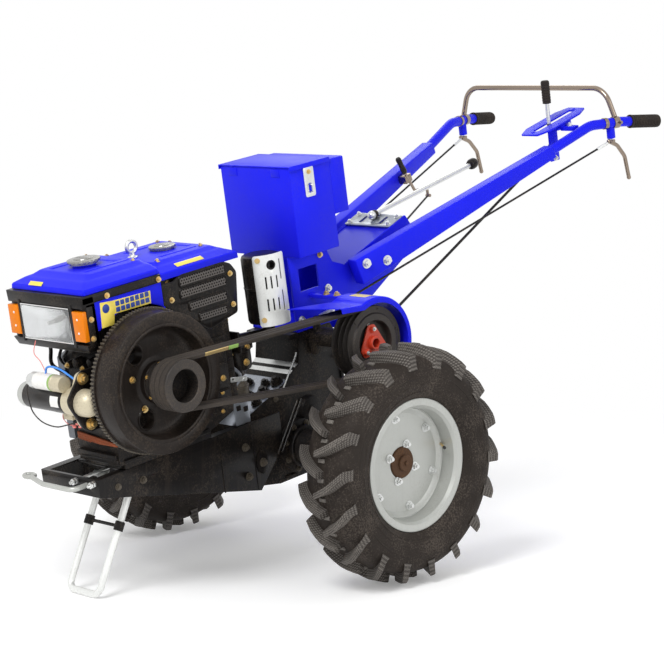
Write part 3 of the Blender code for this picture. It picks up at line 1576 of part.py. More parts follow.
def make_gearbox():
    half = GEARBOX_HALF_WIDTH
    outline = [
        (GEARBOX_FRONT, GEARBOX_BOTTOM + 0.020),
        (-0.080, GEARBOX_BOTTOM),
        (0.080, GEARBOX_BOTTOM),
        (GEARBOX_REAR, -0.020),
        (GEARBOX_REAR, IMPLEMENT_FACE_TOP),
        (GEARBOX_REAR - 0.030, GEARBOX_TOP),
        (0.020, GEARBOX_TOP),
        (-0.070, 0.160),
        (GEARBOX_FRONT, 0.120),
    ]
    body = plate_on_x("gearbox", outline, -half, half)
    joints = [
        *(
            rod_between(name, (sign * (half - 0.01), 0, 0), (sign * reach, 0, 0), radius, sides=20)
            for name, sign, reach, radius in (
                ("housing_left", 1, HOUSING_END, HOUSING_RADIUS),
                ("housing_right", -1, HOUSING_END, HOUSING_RADIUS),
                ("flange_left", 1, half + 0.016, HOUSING_FLANGE_RADIUS),
                ("flange_right", -1, half + 0.016, HOUSING_FLANGE_RADIUS),
            )
        ),
        rod_between(
            "input_boss", (half - 0.01, CLUTCH_Y, CLUTCH_Z), (0.222 - RUN_GAP, CLUTCH_Y, CLUTCH_Z), 0.026
        ),
    ]
    for side in (1, -1):
        edges = sorted((side * (half - 0.004), side * (half + 0.018)))
        joints.append(
            box(
                f"steering_boss_{side}",
                (edges[0], STEERING_ARM_Y - 0.022, GEARBOX_TOP - 0.070),
                (edges[1], STEERING_ARM_Y + 0.022, GEARBOX_TOP - 0.030),
            )
        )
        edges = sorted((side * (half + 0.006), side * (half + 0.018)))
        joints.append(
            box(
                f"steering_arm_{side}",
                (edges[0], STEERING_ARM_Y - 0.010, GEARBOX_TOP - 0.040),
                (edges[1], STEERING_ARM_Y + 0.010, STEERING_ARM_TOP),
            )
        )
    joints.append(
        box(
            "clutch_arm_root",
            (CLUTCH_ROD_END.x - 0.008, CLUTCH_Y - 0.010, CLUTCH_ROD_END.z - CLUTCH_ROD - SEAT_GAP - 0.008),
            (CLUTCH_ROD_END.x + 0.006, CLUTCH_Y + 0.018, CLUTCH_Z - 0.010),
        )
    )
    joints.append(
        box(
            "clutch_arm",
            (CLUTCH_ROD_END.x - 0.008, CLUTCH_Y + 0.010, CLUTCH_ROD_END.z - CLUTCH_ROD - SEAT_GAP - 0.010),
            (CLUTCH_ROD_END.x + 0.006, CLUTCH_ROD_END.y + 0.008, CLUTCH_ROD_END.z - CLUTCH_ROD - SEAT_GAP),
        )
    )
    finish(join(body, *joints), "black_paint", ROOT)




def centre_on_origin():
    """Slides the parked tractor along Y until its overall box is centred on the origin."""
    bpy.context.view_layer.update()
    reach = [
        (thing.matrix_world @ vertex.co).y
        for thing in PARTS.objects
        if thing.type == "MESH"
        for vertex in thing.data.vertices
    ]
    ROOT.location.y = -(min(reach) + max(reach)) / 2
    bpy.context.view_layer.update()


ROOT_TURN = Matrix.Rotation(NOSE_DOWN, 3, "X")

for wheel_side, wheel_sign in (("left", 1), ("right", -1)):
    make_wheel(wheel_side, wheel_sign)
make_frame()
make_tow_hook()
make_stand()
make_engine()
make_tank_and_hood()
make_lamps()
make_side_panels()
make_flywheel()
make_clutch()
make_belts()
make_belt_cover()
make_starter()
make_exhaust()
make_air_cleaner()
make_toolbox()
make_neck()
make_handles()
make_quadrant()
make_levers()
make_side_lever()
make_gearbox()
centre_on_origin()
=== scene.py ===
import json
from math import atan2, cos, pi, radians, sin, sqrt, tan

import bmesh
import bpy
from mathutils import Matrix, Vector

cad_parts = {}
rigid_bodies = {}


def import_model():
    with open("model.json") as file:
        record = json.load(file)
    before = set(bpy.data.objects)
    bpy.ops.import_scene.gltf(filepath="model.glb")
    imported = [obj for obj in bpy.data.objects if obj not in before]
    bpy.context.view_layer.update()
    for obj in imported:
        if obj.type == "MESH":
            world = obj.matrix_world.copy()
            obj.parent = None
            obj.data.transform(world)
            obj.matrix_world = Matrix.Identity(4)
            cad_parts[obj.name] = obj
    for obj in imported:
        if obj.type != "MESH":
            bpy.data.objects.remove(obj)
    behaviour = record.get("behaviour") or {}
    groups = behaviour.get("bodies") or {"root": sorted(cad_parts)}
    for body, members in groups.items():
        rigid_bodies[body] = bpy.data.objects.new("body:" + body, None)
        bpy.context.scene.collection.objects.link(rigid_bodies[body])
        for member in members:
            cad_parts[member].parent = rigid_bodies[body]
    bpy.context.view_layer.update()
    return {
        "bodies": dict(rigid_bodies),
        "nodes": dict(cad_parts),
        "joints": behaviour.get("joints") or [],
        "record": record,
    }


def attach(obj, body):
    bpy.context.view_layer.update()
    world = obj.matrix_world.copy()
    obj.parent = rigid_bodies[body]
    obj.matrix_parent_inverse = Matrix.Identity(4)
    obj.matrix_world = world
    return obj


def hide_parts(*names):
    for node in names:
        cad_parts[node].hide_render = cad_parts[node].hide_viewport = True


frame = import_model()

# Everything is modelled level, in metres: the origin is on the wheel axis, +X is the
# tractor's left, -Y its front and +Z up. tractorPlace then tips it onto its stand.
noseDown = radians(9.4)
wheelJoint = next(j for j in frame["joints"] if j["name"] == "left_wheel_roll")
halfTrack, axleY, axleZ = wheelJoint["pos_m"]
tractorPlace = Matrix.Translation((0, axleY, axleZ)) @ Matrix.Rotation(noseDown, 4, "X")
finishes = {}
shaders = {}


# Mesh helpers

def meshOf(part, name="part"):
    mesh = bpy.data.meshes.new(name)
    part.to_mesh(mesh)
    part.free()
    return mesh


def linked(name, data):
    thing = bpy.data.objects.new(name, data)
    bpy.context.scene.collection.objects.link(thing)
    return thing


def evaluated(thing):
    # The mesh that an object makes with its modifiers; the object is removed
    bpy.context.view_layer.update()
    graph = bpy.context.evaluated_depsgraph_get()
    mesh = bpy.data.meshes.new_from_object(thing.evaluated_get(graph))
    bpy.data.objects.remove(thing)
    return mesh


def pourMesh(shape, mesh, slot=None):
    start = len(shape.faces)
    shape.from_mesh(mesh)
    bpy.data.meshes.remove(mesh)
    if slot is not None:
        shape.faces.ensure_lookup_table()
        for face in shape.faces[start:]:
            face.material_index = slot


def pour(shape, part, slot=0, place=None):
    for face in part.faces:
        face.material_index = slot
    if place is not None:
        part.transform(place)
    pourMesh(shape, meshOf(part))


def roundEdges(part, width, steps=2, least=30):
    sharp = [e for e in part.edges if e.is_manifold and e.calc_face_angle(0) > radians(least)]
    if sharp and width > 0:
        bmesh.ops.bevel(part, geom=sharp, offset=width, segments=steps, profile=0.5, affect="EDGES",
            clamp_overlap=True)


def addBox(shape, corner, opposite, edge=0.0015, slot=0, place=None):
    part = bmesh.new()
    bmesh.ops.create_cube(part, size=1)
    low = Vector([min(pair) for pair in zip(corner, opposite)])
    high = Vector([max(pair) for pair in zip(corner, opposite)])
    bmesh.ops.scale(part, vec=high - low, verts=part.verts)
    bmesh.ops.translate(part, vec=(low + high) / 2, verts=part.verts)
    roundEdges(part, edge)
    pour(shape, part, slot, place)


def joinRings(part, rings, closed=False):
    # Faces between rings of as many points; closed runs from the last ring back to the first
    for first, second in zip(rings, rings[1:] + (rings[:1] if closed else [])):
        for i in range(len(first)):
            j = (i + 1) % len(first)
            part.faces.new((first[i], first[j], second[j], second[i]))
    if not closed:
        part.faces.new(rings[0])
        part.faces.new(list(reversed(rings[-1])))
    bmesh.ops.recalc_face_normals(part, faces=part.faces)


def addLoft(shape, rings, edge=0.0, slot=0, steps=2, least=40):
    part = bmesh.new()
    joinRings(part, [[part.verts.new(corner) for corner in ring] for ring in rings])
    roundEdges(part, edge, steps, least)
    pour(shape, part, slot)


def addBlock(shape, lower, upper, edge=0.0015, steps=2):
    # A solid between two four-cornered faces, corners in the same order
    addLoft(shape, [lower, upper], edge, 0, steps, 30)


def rectangle(lowX, lowY, highX, highY, z):
    return [(lowX, lowY, z), (highX, lowY, z), (highX, highY, z), (lowX, highY, z)]


def alongMatrix(start, direction, axis="X", upper="Z"):
    # Turns an axis of a part onto the direction
    turn = direction.to_track_quat(axis, upper).to_matrix().to_4x4()
    return Matrix.Translation(start) @ turn


def standing(x, y, z):
    # Stands a part that was turned about X upright at a place
    return Matrix.Translation((x, y, z)) @ Matrix.Rotation(-pi / 2, 4, "Y")


def around(x, y, z, radius, turn):
    # A place on a circle about an axis along X
    return Vector((x, y + radius * cos(turn), z + radius * sin(turn)))


def addRod(shape, start, end, radius, sides=24, edge=0.0, slot=0, endRadius=None):
    start, end = Vector(start), Vector(end)
    part = bmesh.new()
    bmesh.ops.create_cone(part, cap_ends=True, segments=sides, radius1=radius, radius2=endRadius or radius,
        depth=(end - start).length)
    roundEdges(part, edge, 2, 60)
    pour(shape, part, slot, alongMatrix((start + end) / 2, end - start, "Z", "Y"))


def addBall(shape, centre, radius, slot=0, stretch=(1, 1, 1), rings=12):
    part = bmesh.new()
    bmesh.ops.create_uvsphere(part, u_segments=rings * 2, v_segments=rings, radius=radius)
    bmesh.ops.scale(part, vec=stretch, verts=part.verts)
    pour(shape, part, slot, Matrix.Translation(centre))


def turnedPart(profile, segments):
    # profile lists (radius, x) points; the part is turned about the X axis and closes on itself
    part = bmesh.new()
    rings = []
    for radius, x in profile:
        if radius < 1e-6:
            rings.append([part.verts.new((x, 0, 0))])
            continue
        ring = []
        for i in range(segments):
            ring.append(part.verts.new(around(x, 0, 0, radius, 2 * pi * i / segments)))
        rings.append(ring)
    for first, second in zip(rings, rings[1:] + rings[:1]):
        for i in range(segments):
            j = (i + 1) % segments
            if len(first) == 1 and len(second) == 1:
                break
            if len(first) == 1:
                part.faces.new((first[0], second[j], second[i]))
            elif len(second) == 1:
                part.faces.new((first[i], first[j], second[0]))
            else:
                part.faces.new((first[i], first[j], second[j], second[i]))
    bmesh.ops.recalc_face_normals(part, faces=part.faces)
    if part.calc_volume(signed=True) < 0:
        bmesh.ops.reverse_faces(part, faces=part.faces)
    return part


def addTurned(shape, profile, place, segments=64, slot=0):
    # place is the middle of the turned part, or the matrix that puts it there
    if not isinstance(place, Matrix):
        place = Matrix.Translation(place)
    pour(shape, turnedPart(profile, segments), slot, place)


def rounded(points, radius, steps=6):
    places = [Vector(p) for p in points]
    path = [places[0]]
    for before, corner, after in zip(places, places[1:], places[2:]):
        back = (before - corner).normalized()
        ahead = (after - corner).normalized()
        half = back.angle(ahead) / 2
        if half > radians(88.5):
            path.append(corner)
            continue
        middle = corner + (back + ahead).normalized() * (radius / sin(half))
        reach = radius / tan(half)
        first = (corner + back * reach - middle).normalized()
        last = (corner + ahead * reach - middle).normalized()
        path += [middle + first.slerp(last, step / steps) * radius for step in range(steps + 1)]
    path.append(places[-1])
    return path


def curved(points, steps=8):
    # A smooth path through the points, for wires and hoses
    places = [Vector(p) for p in points]
    ends = [places[0] * 2 - places[1]] + places + [places[-1] * 2 - places[-2]]
    path = []
    for a, b, c, d in zip(ends, ends[1:], ends[2:], ends[3:]):
        for step in range(steps):
            t = step / steps
            path.append(0.5 * ((2 * b) + (c - a) * t + (2 * a - 5 * b + 4 * c - d) * t * t
                + (3 * b - a - 3 * c + d) * t * t * t))
    path.append(places[-1])
    return path


def addTube(shape, path, radius, sides=12, slot=0, closed=False):
    # A round bar swept along the path
    part = bmesh.new()
    path = [Vector(p) for p in path]
    count = len(path)
    rings = []
    normal = None
    for i, spot in enumerate(path):
        ahead = path[(i + 1) % count] if closed or i + 1 < count else spot
        behind = path[i - 1] if closed or i > 0 else spot
        along = (ahead - behind).normalized()
        if normal is None:
            normal = along.orthogonal().normalized()
        normal = (normal - along * normal.dot(along)).normalized()
        side = along.cross(normal)
        turns = [2 * pi * k / sides for k in range(sides)]
        rings.append([part.verts.new(spot + (normal * cos(turn) + side * sin(turn)) * radius)
            for turn in turns])
    joinRings(part, rings, closed)
    pour(shape, part, slot)


def facing(axis, at):
    # Turns a flat plate so that it lies square to the X or the Y axis at a given place
    if axis == "X":
        return Matrix(((0, 0, 1, at), (1, 0, 0, 0), (0, 1, 0, 0), (0, 0, 0, 1)))
    return Matrix(((1, 0, 0, 0), (0, 0, -1, at), (0, 1, 0, 0), (0, 0, 0, 1)))


def circle(x, y, radius, count=24):
    return [(x + radius * cos(2 * pi * i / count), y + radius * sin(2 * pi * i / count))
        for i in range(count)]


def softRectangle(lowX, lowY, highX, highY, corner, steps=5):
    points = []
    for centreX, centreY, start in ((highX - corner, highY - corner, 0),
            (lowX + corner, highY - corner, 90), (lowX + corner, lowY + corner, 180),
            (highX - corner, lowY + corner, 270)):
        for step in range(steps + 1):
            angle = radians(start + 90 * step / steps)
            points.append((centreX + corner * cos(angle), centreY + corner * sin(angle)))
    return points


def softCorners(points, radius, steps=4):
    # The closed outline with every corner rounded
    count = len(points)
    result = []
    for i in range(count):
        before, corner, after = (Vector((*points[(i + k) % count], 0)) for k in (-1, 0, 1))
        back, ahead = before - corner, after - corner
        reach = min(radius, back.length * 0.45, ahead.length * 0.45)
        start, end = corner + back.normalized() * reach, corner + ahead.normalized() * reach
        for step in range(steps + 1):
            t = step / steps
            spot = start * (1 - t) ** 2 + corner * 2 * t * (1 - t) + end * t ** 2
            result.append((spot.x, spot.y))
    return result


def flatPart(outlines, thickness, edge):
    # A plate in XY with the first outline as its edge and the others as holes
    curve = bpy.data.curves.new("plate", "CURVE")
    curve.dimensions = "2D"
    curve.fill_mode = "BOTH"
    curve.extrude = thickness / 2 - edge
    curve.bevel_depth = edge
    curve.bevel_resolution = 1
    curve.offset = -edge
    for outline in outlines:
        spline = curve.splines.new("POLY")
        spline.points.add(len(outline) - 1)
        for point, (x, y) in zip(spline.points, outline):
            point.co = (x, y, 0, 1)
        spline.use_cyclic_u = True
    part = bmesh.new()
    pourMesh(part, evaluated(linked("plate", curve)))
    bmesh.ops.remove_doubles(part, verts=part.verts, dist=0.00002)
    bpy.data.curves.remove(curve)
    return part


def addPlate(shape, outlines, thickness, place, edge=0.0005, slot=0):
    pour(shape, flatPart(outlines, thickness, edge), slot, place)


def mirrorShape(shape, sign=-1):
    # Turns the tractor's left-hand piece into its right-hand one, when sign is -1
    if sign < 0:
        bmesh.ops.transform(shape, matrix=Matrix.Diagonal((-1, 1, 1, 1)), verts=shape.verts)
        bmesh.ops.reverse_faces(shape, faces=shape.faces)


def placePiece(name, mesh, looks, node, sharp, body):
    piece = linked(name, mesh)
    mesh.transform(tractorPlace)
    slots = [face.material_index for face in mesh.polygons]
    mesh.materials.clear()
    for look in looks.split():
        mesh.materials.append(finishes[look])
    if len(mesh.materials) > 1:
        mesh.polygons.foreach_set("material_index", slots)
    mesh.shade_smooth()
    mesh.set_sharp_from_angle(angle=radians(sharp))
    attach(piece, body)
    if node:
        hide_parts(node)


def finishPiece(name, shape, looks, node=None, sharp=32, body="chassis"):
    placePiece(name, meshOf(shape, name), looks, node, sharp, body)


# Geometry Nodes helpers

def newTree(name, kind, inputs, outputs):
    tree = bpy.data.node_groups.new(name, kind + "NodeTree")
    for direction, sockets in (("INPUT", inputs), ("OUTPUT", outputs)):
        for label, valueKind, value in sockets:
            socket = tree.interface.new_socket(name=label, in_out=direction, socket_type="NodeSocket"
                + valueKind)
            if value is not None:
                socket.default_value = value
    return tree, tree.nodes.new("NodeGroupInput").outputs


def geometryTree(name, inputs):
    geometry = ("Geometry", "Geometry", None)
    return newTree(name, "Geometry", [geometry] + inputs + [("Material", "Material", None)], [geometry])


def fillNode(tree, node, values):
    # Each value is a node, a socket to link from, or the value itself
    for key, value in values.items():
        given = value.outputs[0] if hasattr(value, "outputs") else value
        if hasattr(given, "links"):
            tree.links.new(given, node.inputs[key])
        else:
            node.inputs[key].default_value = given
    return node


def treeNode(tree, kind, values=None, **settings):
    node = tree.nodes.new(kind)
    for key, value in settings.items():
        setattr(node, key, value)
    return fillNode(tree, node, values or {})


def calc(tree, operation, *values, **settings):
    return treeNode(tree, "ShaderNodeMath", dict(enumerate(values)), operation=operation, **settings)


def closeTree(tree, geometry, material):
    solid = treeNode(tree, "GeometryNodeRealizeInstances", {0: geometry})
    painted = treeNode(tree, "GeometryNodeSetMaterial", {"Geometry": solid, "Material": material})
    treeNode(tree, "NodeGroupOutput", {0: painted})
    return tree


def pointValue(tree, name, kind):
    node = treeNode(tree, "GeometryNodeInputNamedAttribute", {"Name": name}, data_type=kind)
    return next(socket for socket in node.outputs if socket.enabled)


def boltTree():
    tree, given = geometryTree("boltHeads", [("Head Radius", "Float", 0.009),
        ("Head Height", "Float", 0.007), ("Washer Radius", "Float", 0.012),
        ("Washer Height", "Float", 0.002), ("Stud Radius", "Float", 0.005),
        ("Stud Height", "Float", 0.004)])
    stack = []
    for radius, height, sides, base in (("Head Radius", "Head Height", 6, ["Washer Height"]),
            ("Washer Radius", "Washer Height", 20, []), ("Stud Radius", "Stud Height", 12,
            ["Washer Height", "Head Height"])):
        rod = treeNode(tree, "GeometryNodeMeshCylinder",
            {"Vertices": sides, "Radius": given[radius], "Depth": given[height]})
        level = calc(tree, "MULTIPLY", given[height], 0.5)
        for lower in base:
            level = calc(tree, "ADD", level, given[lower])
        lift = treeNode(tree, "ShaderNodeCombineXYZ", {"Z": level})
        moved = treeNode(tree, "GeometryNodeTransform",
            {"Geometry": rod.outputs["Mesh"], "Translation": lift})
        stack.append(moved.outputs[0])
    together = tree.nodes.new("GeometryNodeJoinGeometry")
    for item in reversed(stack):
        tree.links.new(item, together.inputs[0])
    turn = treeNode(tree, "FunctionNodeAlignRotationToVector",
        {"Vector": pointValue(tree, "axis", "FLOAT_VECTOR")}, axis="Z")
    spread = treeNode(tree, "GeometryNodeInstanceOnPoints",
        {"Points": given["Geometry"], "Instance": together, "Rotation": turn,
        "Scale": pointValue(tree, "size", "FLOAT")})
    return closeTree(tree, spread, given["Material"])


def ringTree():
    tree, given = geometryTree("ringOfItems", [("Item", "Object", None), ("Count", "Int", 12),
        ("Phase", "Float", 0.0)])
    points = treeNode(tree, "GeometryNodePoints", {"Count": given["Count"]})
    index = tree.nodes.new("GeometryNodeInputIndex")
    share = calc(tree, "DIVIDE", index, given["Count"])
    angle = calc(tree, "MULTIPLY_ADD", share, 2 * pi, given["Phase"])
    turn = treeNode(tree, "ShaderNodeCombineXYZ", {"X": angle})
    item = treeNode(tree, "GeometryNodeObjectInfo", {"Object": given["Item"]})
    spread = treeNode(tree, "GeometryNodeInstanceOnPoints",
        {"Points": points, "Instance": item.outputs["Geometry"], "Rotation": turn})
    return closeTree(tree, spread, given["Material"])


def latticeTree():
    tree, given = geometryTree("latticeOfCells", [("Item", "Object", None), ("Columns", "Int", 12),
        ("Rows", "Int", 3), ("Pitch", "Float", 0.01)])
    total = calc(tree, "MULTIPLY", given["Columns"], given["Rows"])
    index = tree.nodes.new("GeometryNodeInputIndex")
    column = calc(tree, "MODULO", index, given["Columns"])
    ratio = calc(tree, "DIVIDE", index, given["Columns"])
    row = calc(tree, "FLOOR", ratio.outputs[0])
    odd = calc(tree, "MODULO", row, 2.0)
    shift = calc(tree, "MULTIPLY_ADD", odd, 0.5, column.outputs[0])
    across = calc(tree, "MULTIPLY", shift, given["Pitch"])
    step = calc(tree, "MULTIPLY", given["Pitch"], sqrt(3) / 2)
    up = calc(tree, "MULTIPLY", row, step.outputs[0])
    spot = treeNode(tree, "ShaderNodeCombineXYZ", {"X": across, "Y": up})
    points = treeNode(tree, "GeometryNodePoints", {"Count": total, "Position": spot})
    item = treeNode(tree, "GeometryNodeObjectInfo", {"Object": given["Item"]})
    spread = treeNode(tree, "GeometryNodeInstanceOnPoints",
        {"Points": points, "Instance": item.outputs["Geometry"]})
    return closeTree(tree, spread, given["Material"])


trees = {"bolt": boltTree(), "ring": ringTree(), "lattice": latticeTree()}


def grown(tree, values, mesh=None):
    # Runs a node tree on a mesh with the named inputs and returns the plain mesh that it makes
    holder = linked("grown", mesh or bpy.data.meshes.new("empty"))
    modifier = holder.modifiers.new("nodes", "NODES")
    modifier.node_group = trees[tree]
    for socket in trees[tree].interface.items_tree:
        if socket.in_out == "INPUT" and socket.name in values:
            modifier[socket.identifier] = values[socket.name]
    return evaluated(holder)


def grownItems(tree, part, values, look):
    item = linked("item", meshOf(part, "item"))
    made = grown(tree, {"Item": item, "Material": finishes[look], **values})
    bpy.data.objects.remove(item)
    return made


def bolts(name, seats, look="zinc", slotName="zinc", body="chassis", **sizes):
    # seats lists (place, axis, size) for each bolt
    mesh = bpy.data.meshes.new("seats")
    mesh.from_pydata([seat[0] for seat in seats], [], [])
    mesh.attributes.new("axis", "FLOAT_VECTOR", "POINT")
    mesh.attributes.new("size", "FLOAT", "POINT")
    # both are looked up again here, because adding an attribute moves the earlier ones
    mesh.attributes["axis"].data.foreach_set("vector", [v for seat in seats for v in seat[1]])
    mesh.attributes["size"].data.foreach_set("value", [seat[2] for seat in seats])
    made = grown("bolt", {**sizes, "Material": finishes[look]}, mesh)
    made.name = name
    placePiece(name, made, look, None, 32, body)


def cutBy(shape, cutters):
    # Subtracts the cutter shapes from a shape and returns the result as a new shape
    things = [linked("cut", meshOf(part, "cut")) for part in [shape] + cutters]
    for cutter in things[1:]:
        modifier = things[0].modifiers.new("cut", "BOOLEAN")
        modifier.object = cutter
        modifier.operation = "DIFFERENCE"
        modifier.solver = "EXACT"
    result = bmesh.new()
    pourMesh(result, evaluated(things[0]))
    bmesh.ops.dissolve_degenerate(result, dist=0.00001, edges=result.edges)
    for thing in things[1:]:
        bpy.data.objects.remove(thing)
    return result


# Finishes: shared shader groups for grime and grain feed each material

def shaderGroup(name, inputs, outputs):
    shaders[name], given = newTree(name, "Shader", inputs, outputs)
    return shaders[name], given


def shaderNode(group, kind, links=None, **settings):
    return treeNode(group, "ShaderNode" + kind, links, **settings)


def makeGrimeGroup():
    group, given = shaderGroup("grimeOverPaint", [("Color", "Color", (0.5, 0.5, 0.5, 1)),
        ("Roughness", "Float", 0.4), ("Grime Color", "Color", (0.1, 0.08, 0.06, 1)),
        ("Grime", "Float", 0.2), ("Grime Size", "Float", 9.0), ("Mottle", "Float", 0.1),
        ("Streak", "Float", 0.1)], [("Color", "Color", None), ("Roughness", "Float", None)])
    place = shaderNode(group, "TexCoord").outputs["Object"]
    patch = shaderNode(group, "TexNoise", {"Vector": place, "Scale": given["Grime Size"], "Detail": 7.0,
        "Roughness": 0.62})
    flecks = shaderNode(group, "TexNoise", {"Vector": place, "Scale": 240.0, "Detail": 3.0})
    both = calc(group, "MULTIPLY", patch, flecks.outputs[0])
    mask = shaderNode(group, "MapRange", {"Value": both, "From Min": 0.22, "From Max": 0.42,
        "To Max": given["Grime"]}, interpolation_type="SMOOTHSTEP")
    broad = shaderNode(group, "TexNoise", {"Vector": place, "Scale": 3.4, "Detail": 4.0})
    wide = shaderNode(group, "MapRange", {"Value": broad, "From Min": 0.3, "From Max": 0.7, "To Min": -0.5,
        "To Max": 0.5})
    shade = calc(group, "MULTIPLY_ADD", wide, given["Mottle"], 1.0)
    tint = shaderNode(group, "HueSaturation", {"Color": given["Color"], "Value": shade})
    stretched = shaderNode(group, "Mapping", {"Vector": place, "Scale": (90.0, 90.0, 5.0)})
    streaks = shaderNode(group, "TexNoise", {"Vector": stretched, "Scale": 1.0, "Detail": 3.0})
    thin = shaderNode(group, "MapRange", {"Value": streaks, "From Min": 0.55, "From Max": 0.75,
        "To Max": given["Streak"]})
    total = calc(group, "MAXIMUM", mask, thin, use_clamp=True)
    mixed = shaderNode(group, "Mix", {"Factor": total, "A": tint, "B": given["Grime Color"]},
        data_type="RGBA")
    rough = calc(group, "MULTIPLY_ADD", total, 0.45, given["Roughness"])
    fine = calc(group, "MULTIPLY_ADD", wide, 0.1, rough, use_clamp=True)
    color = next(s for s in mixed.outputs if s.type == "RGBA")
    treeNode(group, "NodeGroupOutput", {"Color": color, "Roughness": fine})


def makeGrainGroup():
    group, given = shaderGroup("grainHeight", [("Grain Scale", "Float", 400.0),
        ("Lump Scale", "Float", 30.0), ("Lump", "Float", 0.3)], [("Height", "Float", None)])
    place = shaderNode(group, "TexCoord").outputs["Object"]
    grain = shaderNode(group, "TexNoise", {"Vector": place, "Scale": given["Grain Scale"], "Detail": 4.0})
    lump = shaderNode(group, "TexNoise", {"Vector": place, "Scale": given["Lump Scale"], "Detail": 2.0})
    height = calc(group, "MULTIPLY_ADD", lump, given["Lump"], grain.outputs[0])
    treeNode(group, "NodeGroupOutput", {"Height": height})


def makeRibGroup():
    # Fine dots along a piece's own "along" and "across" attributes, for knurled rubber
    group, given = shaderGroup("ribHeight", [("Pitch", "Float", 0.004)],
        [("Height", "Float", None), ("Mask", "Float", None)])
    waves = []
    for name, wave in (("along", "SINE"), ("across", "COSINE")):
        place = shaderNode(group, "Attribute", attribute_name=name)
        ratio = calc(group, "DIVIDE", place.outputs["Fac"], given["Pitch"])
        turn = calc(group, "MULTIPLY", ratio, 2 * pi)
        waves.append(calc(group, wave, turn.outputs[0]).outputs[0])
    both = calc(group, "ADD", waves[0], waves[1])
    dots = shaderNode(group, "MapRange", {"Value": both, "From Min": -0.2, "From Max": 1.0},
        interpolation_type="SMOOTHSTEP")
    treeNode(group, "NodeGroupOutput", {"Height": both, "Mask": dots})


makeGrimeGroup()
makeGrainGroup()
makeRibGroup()

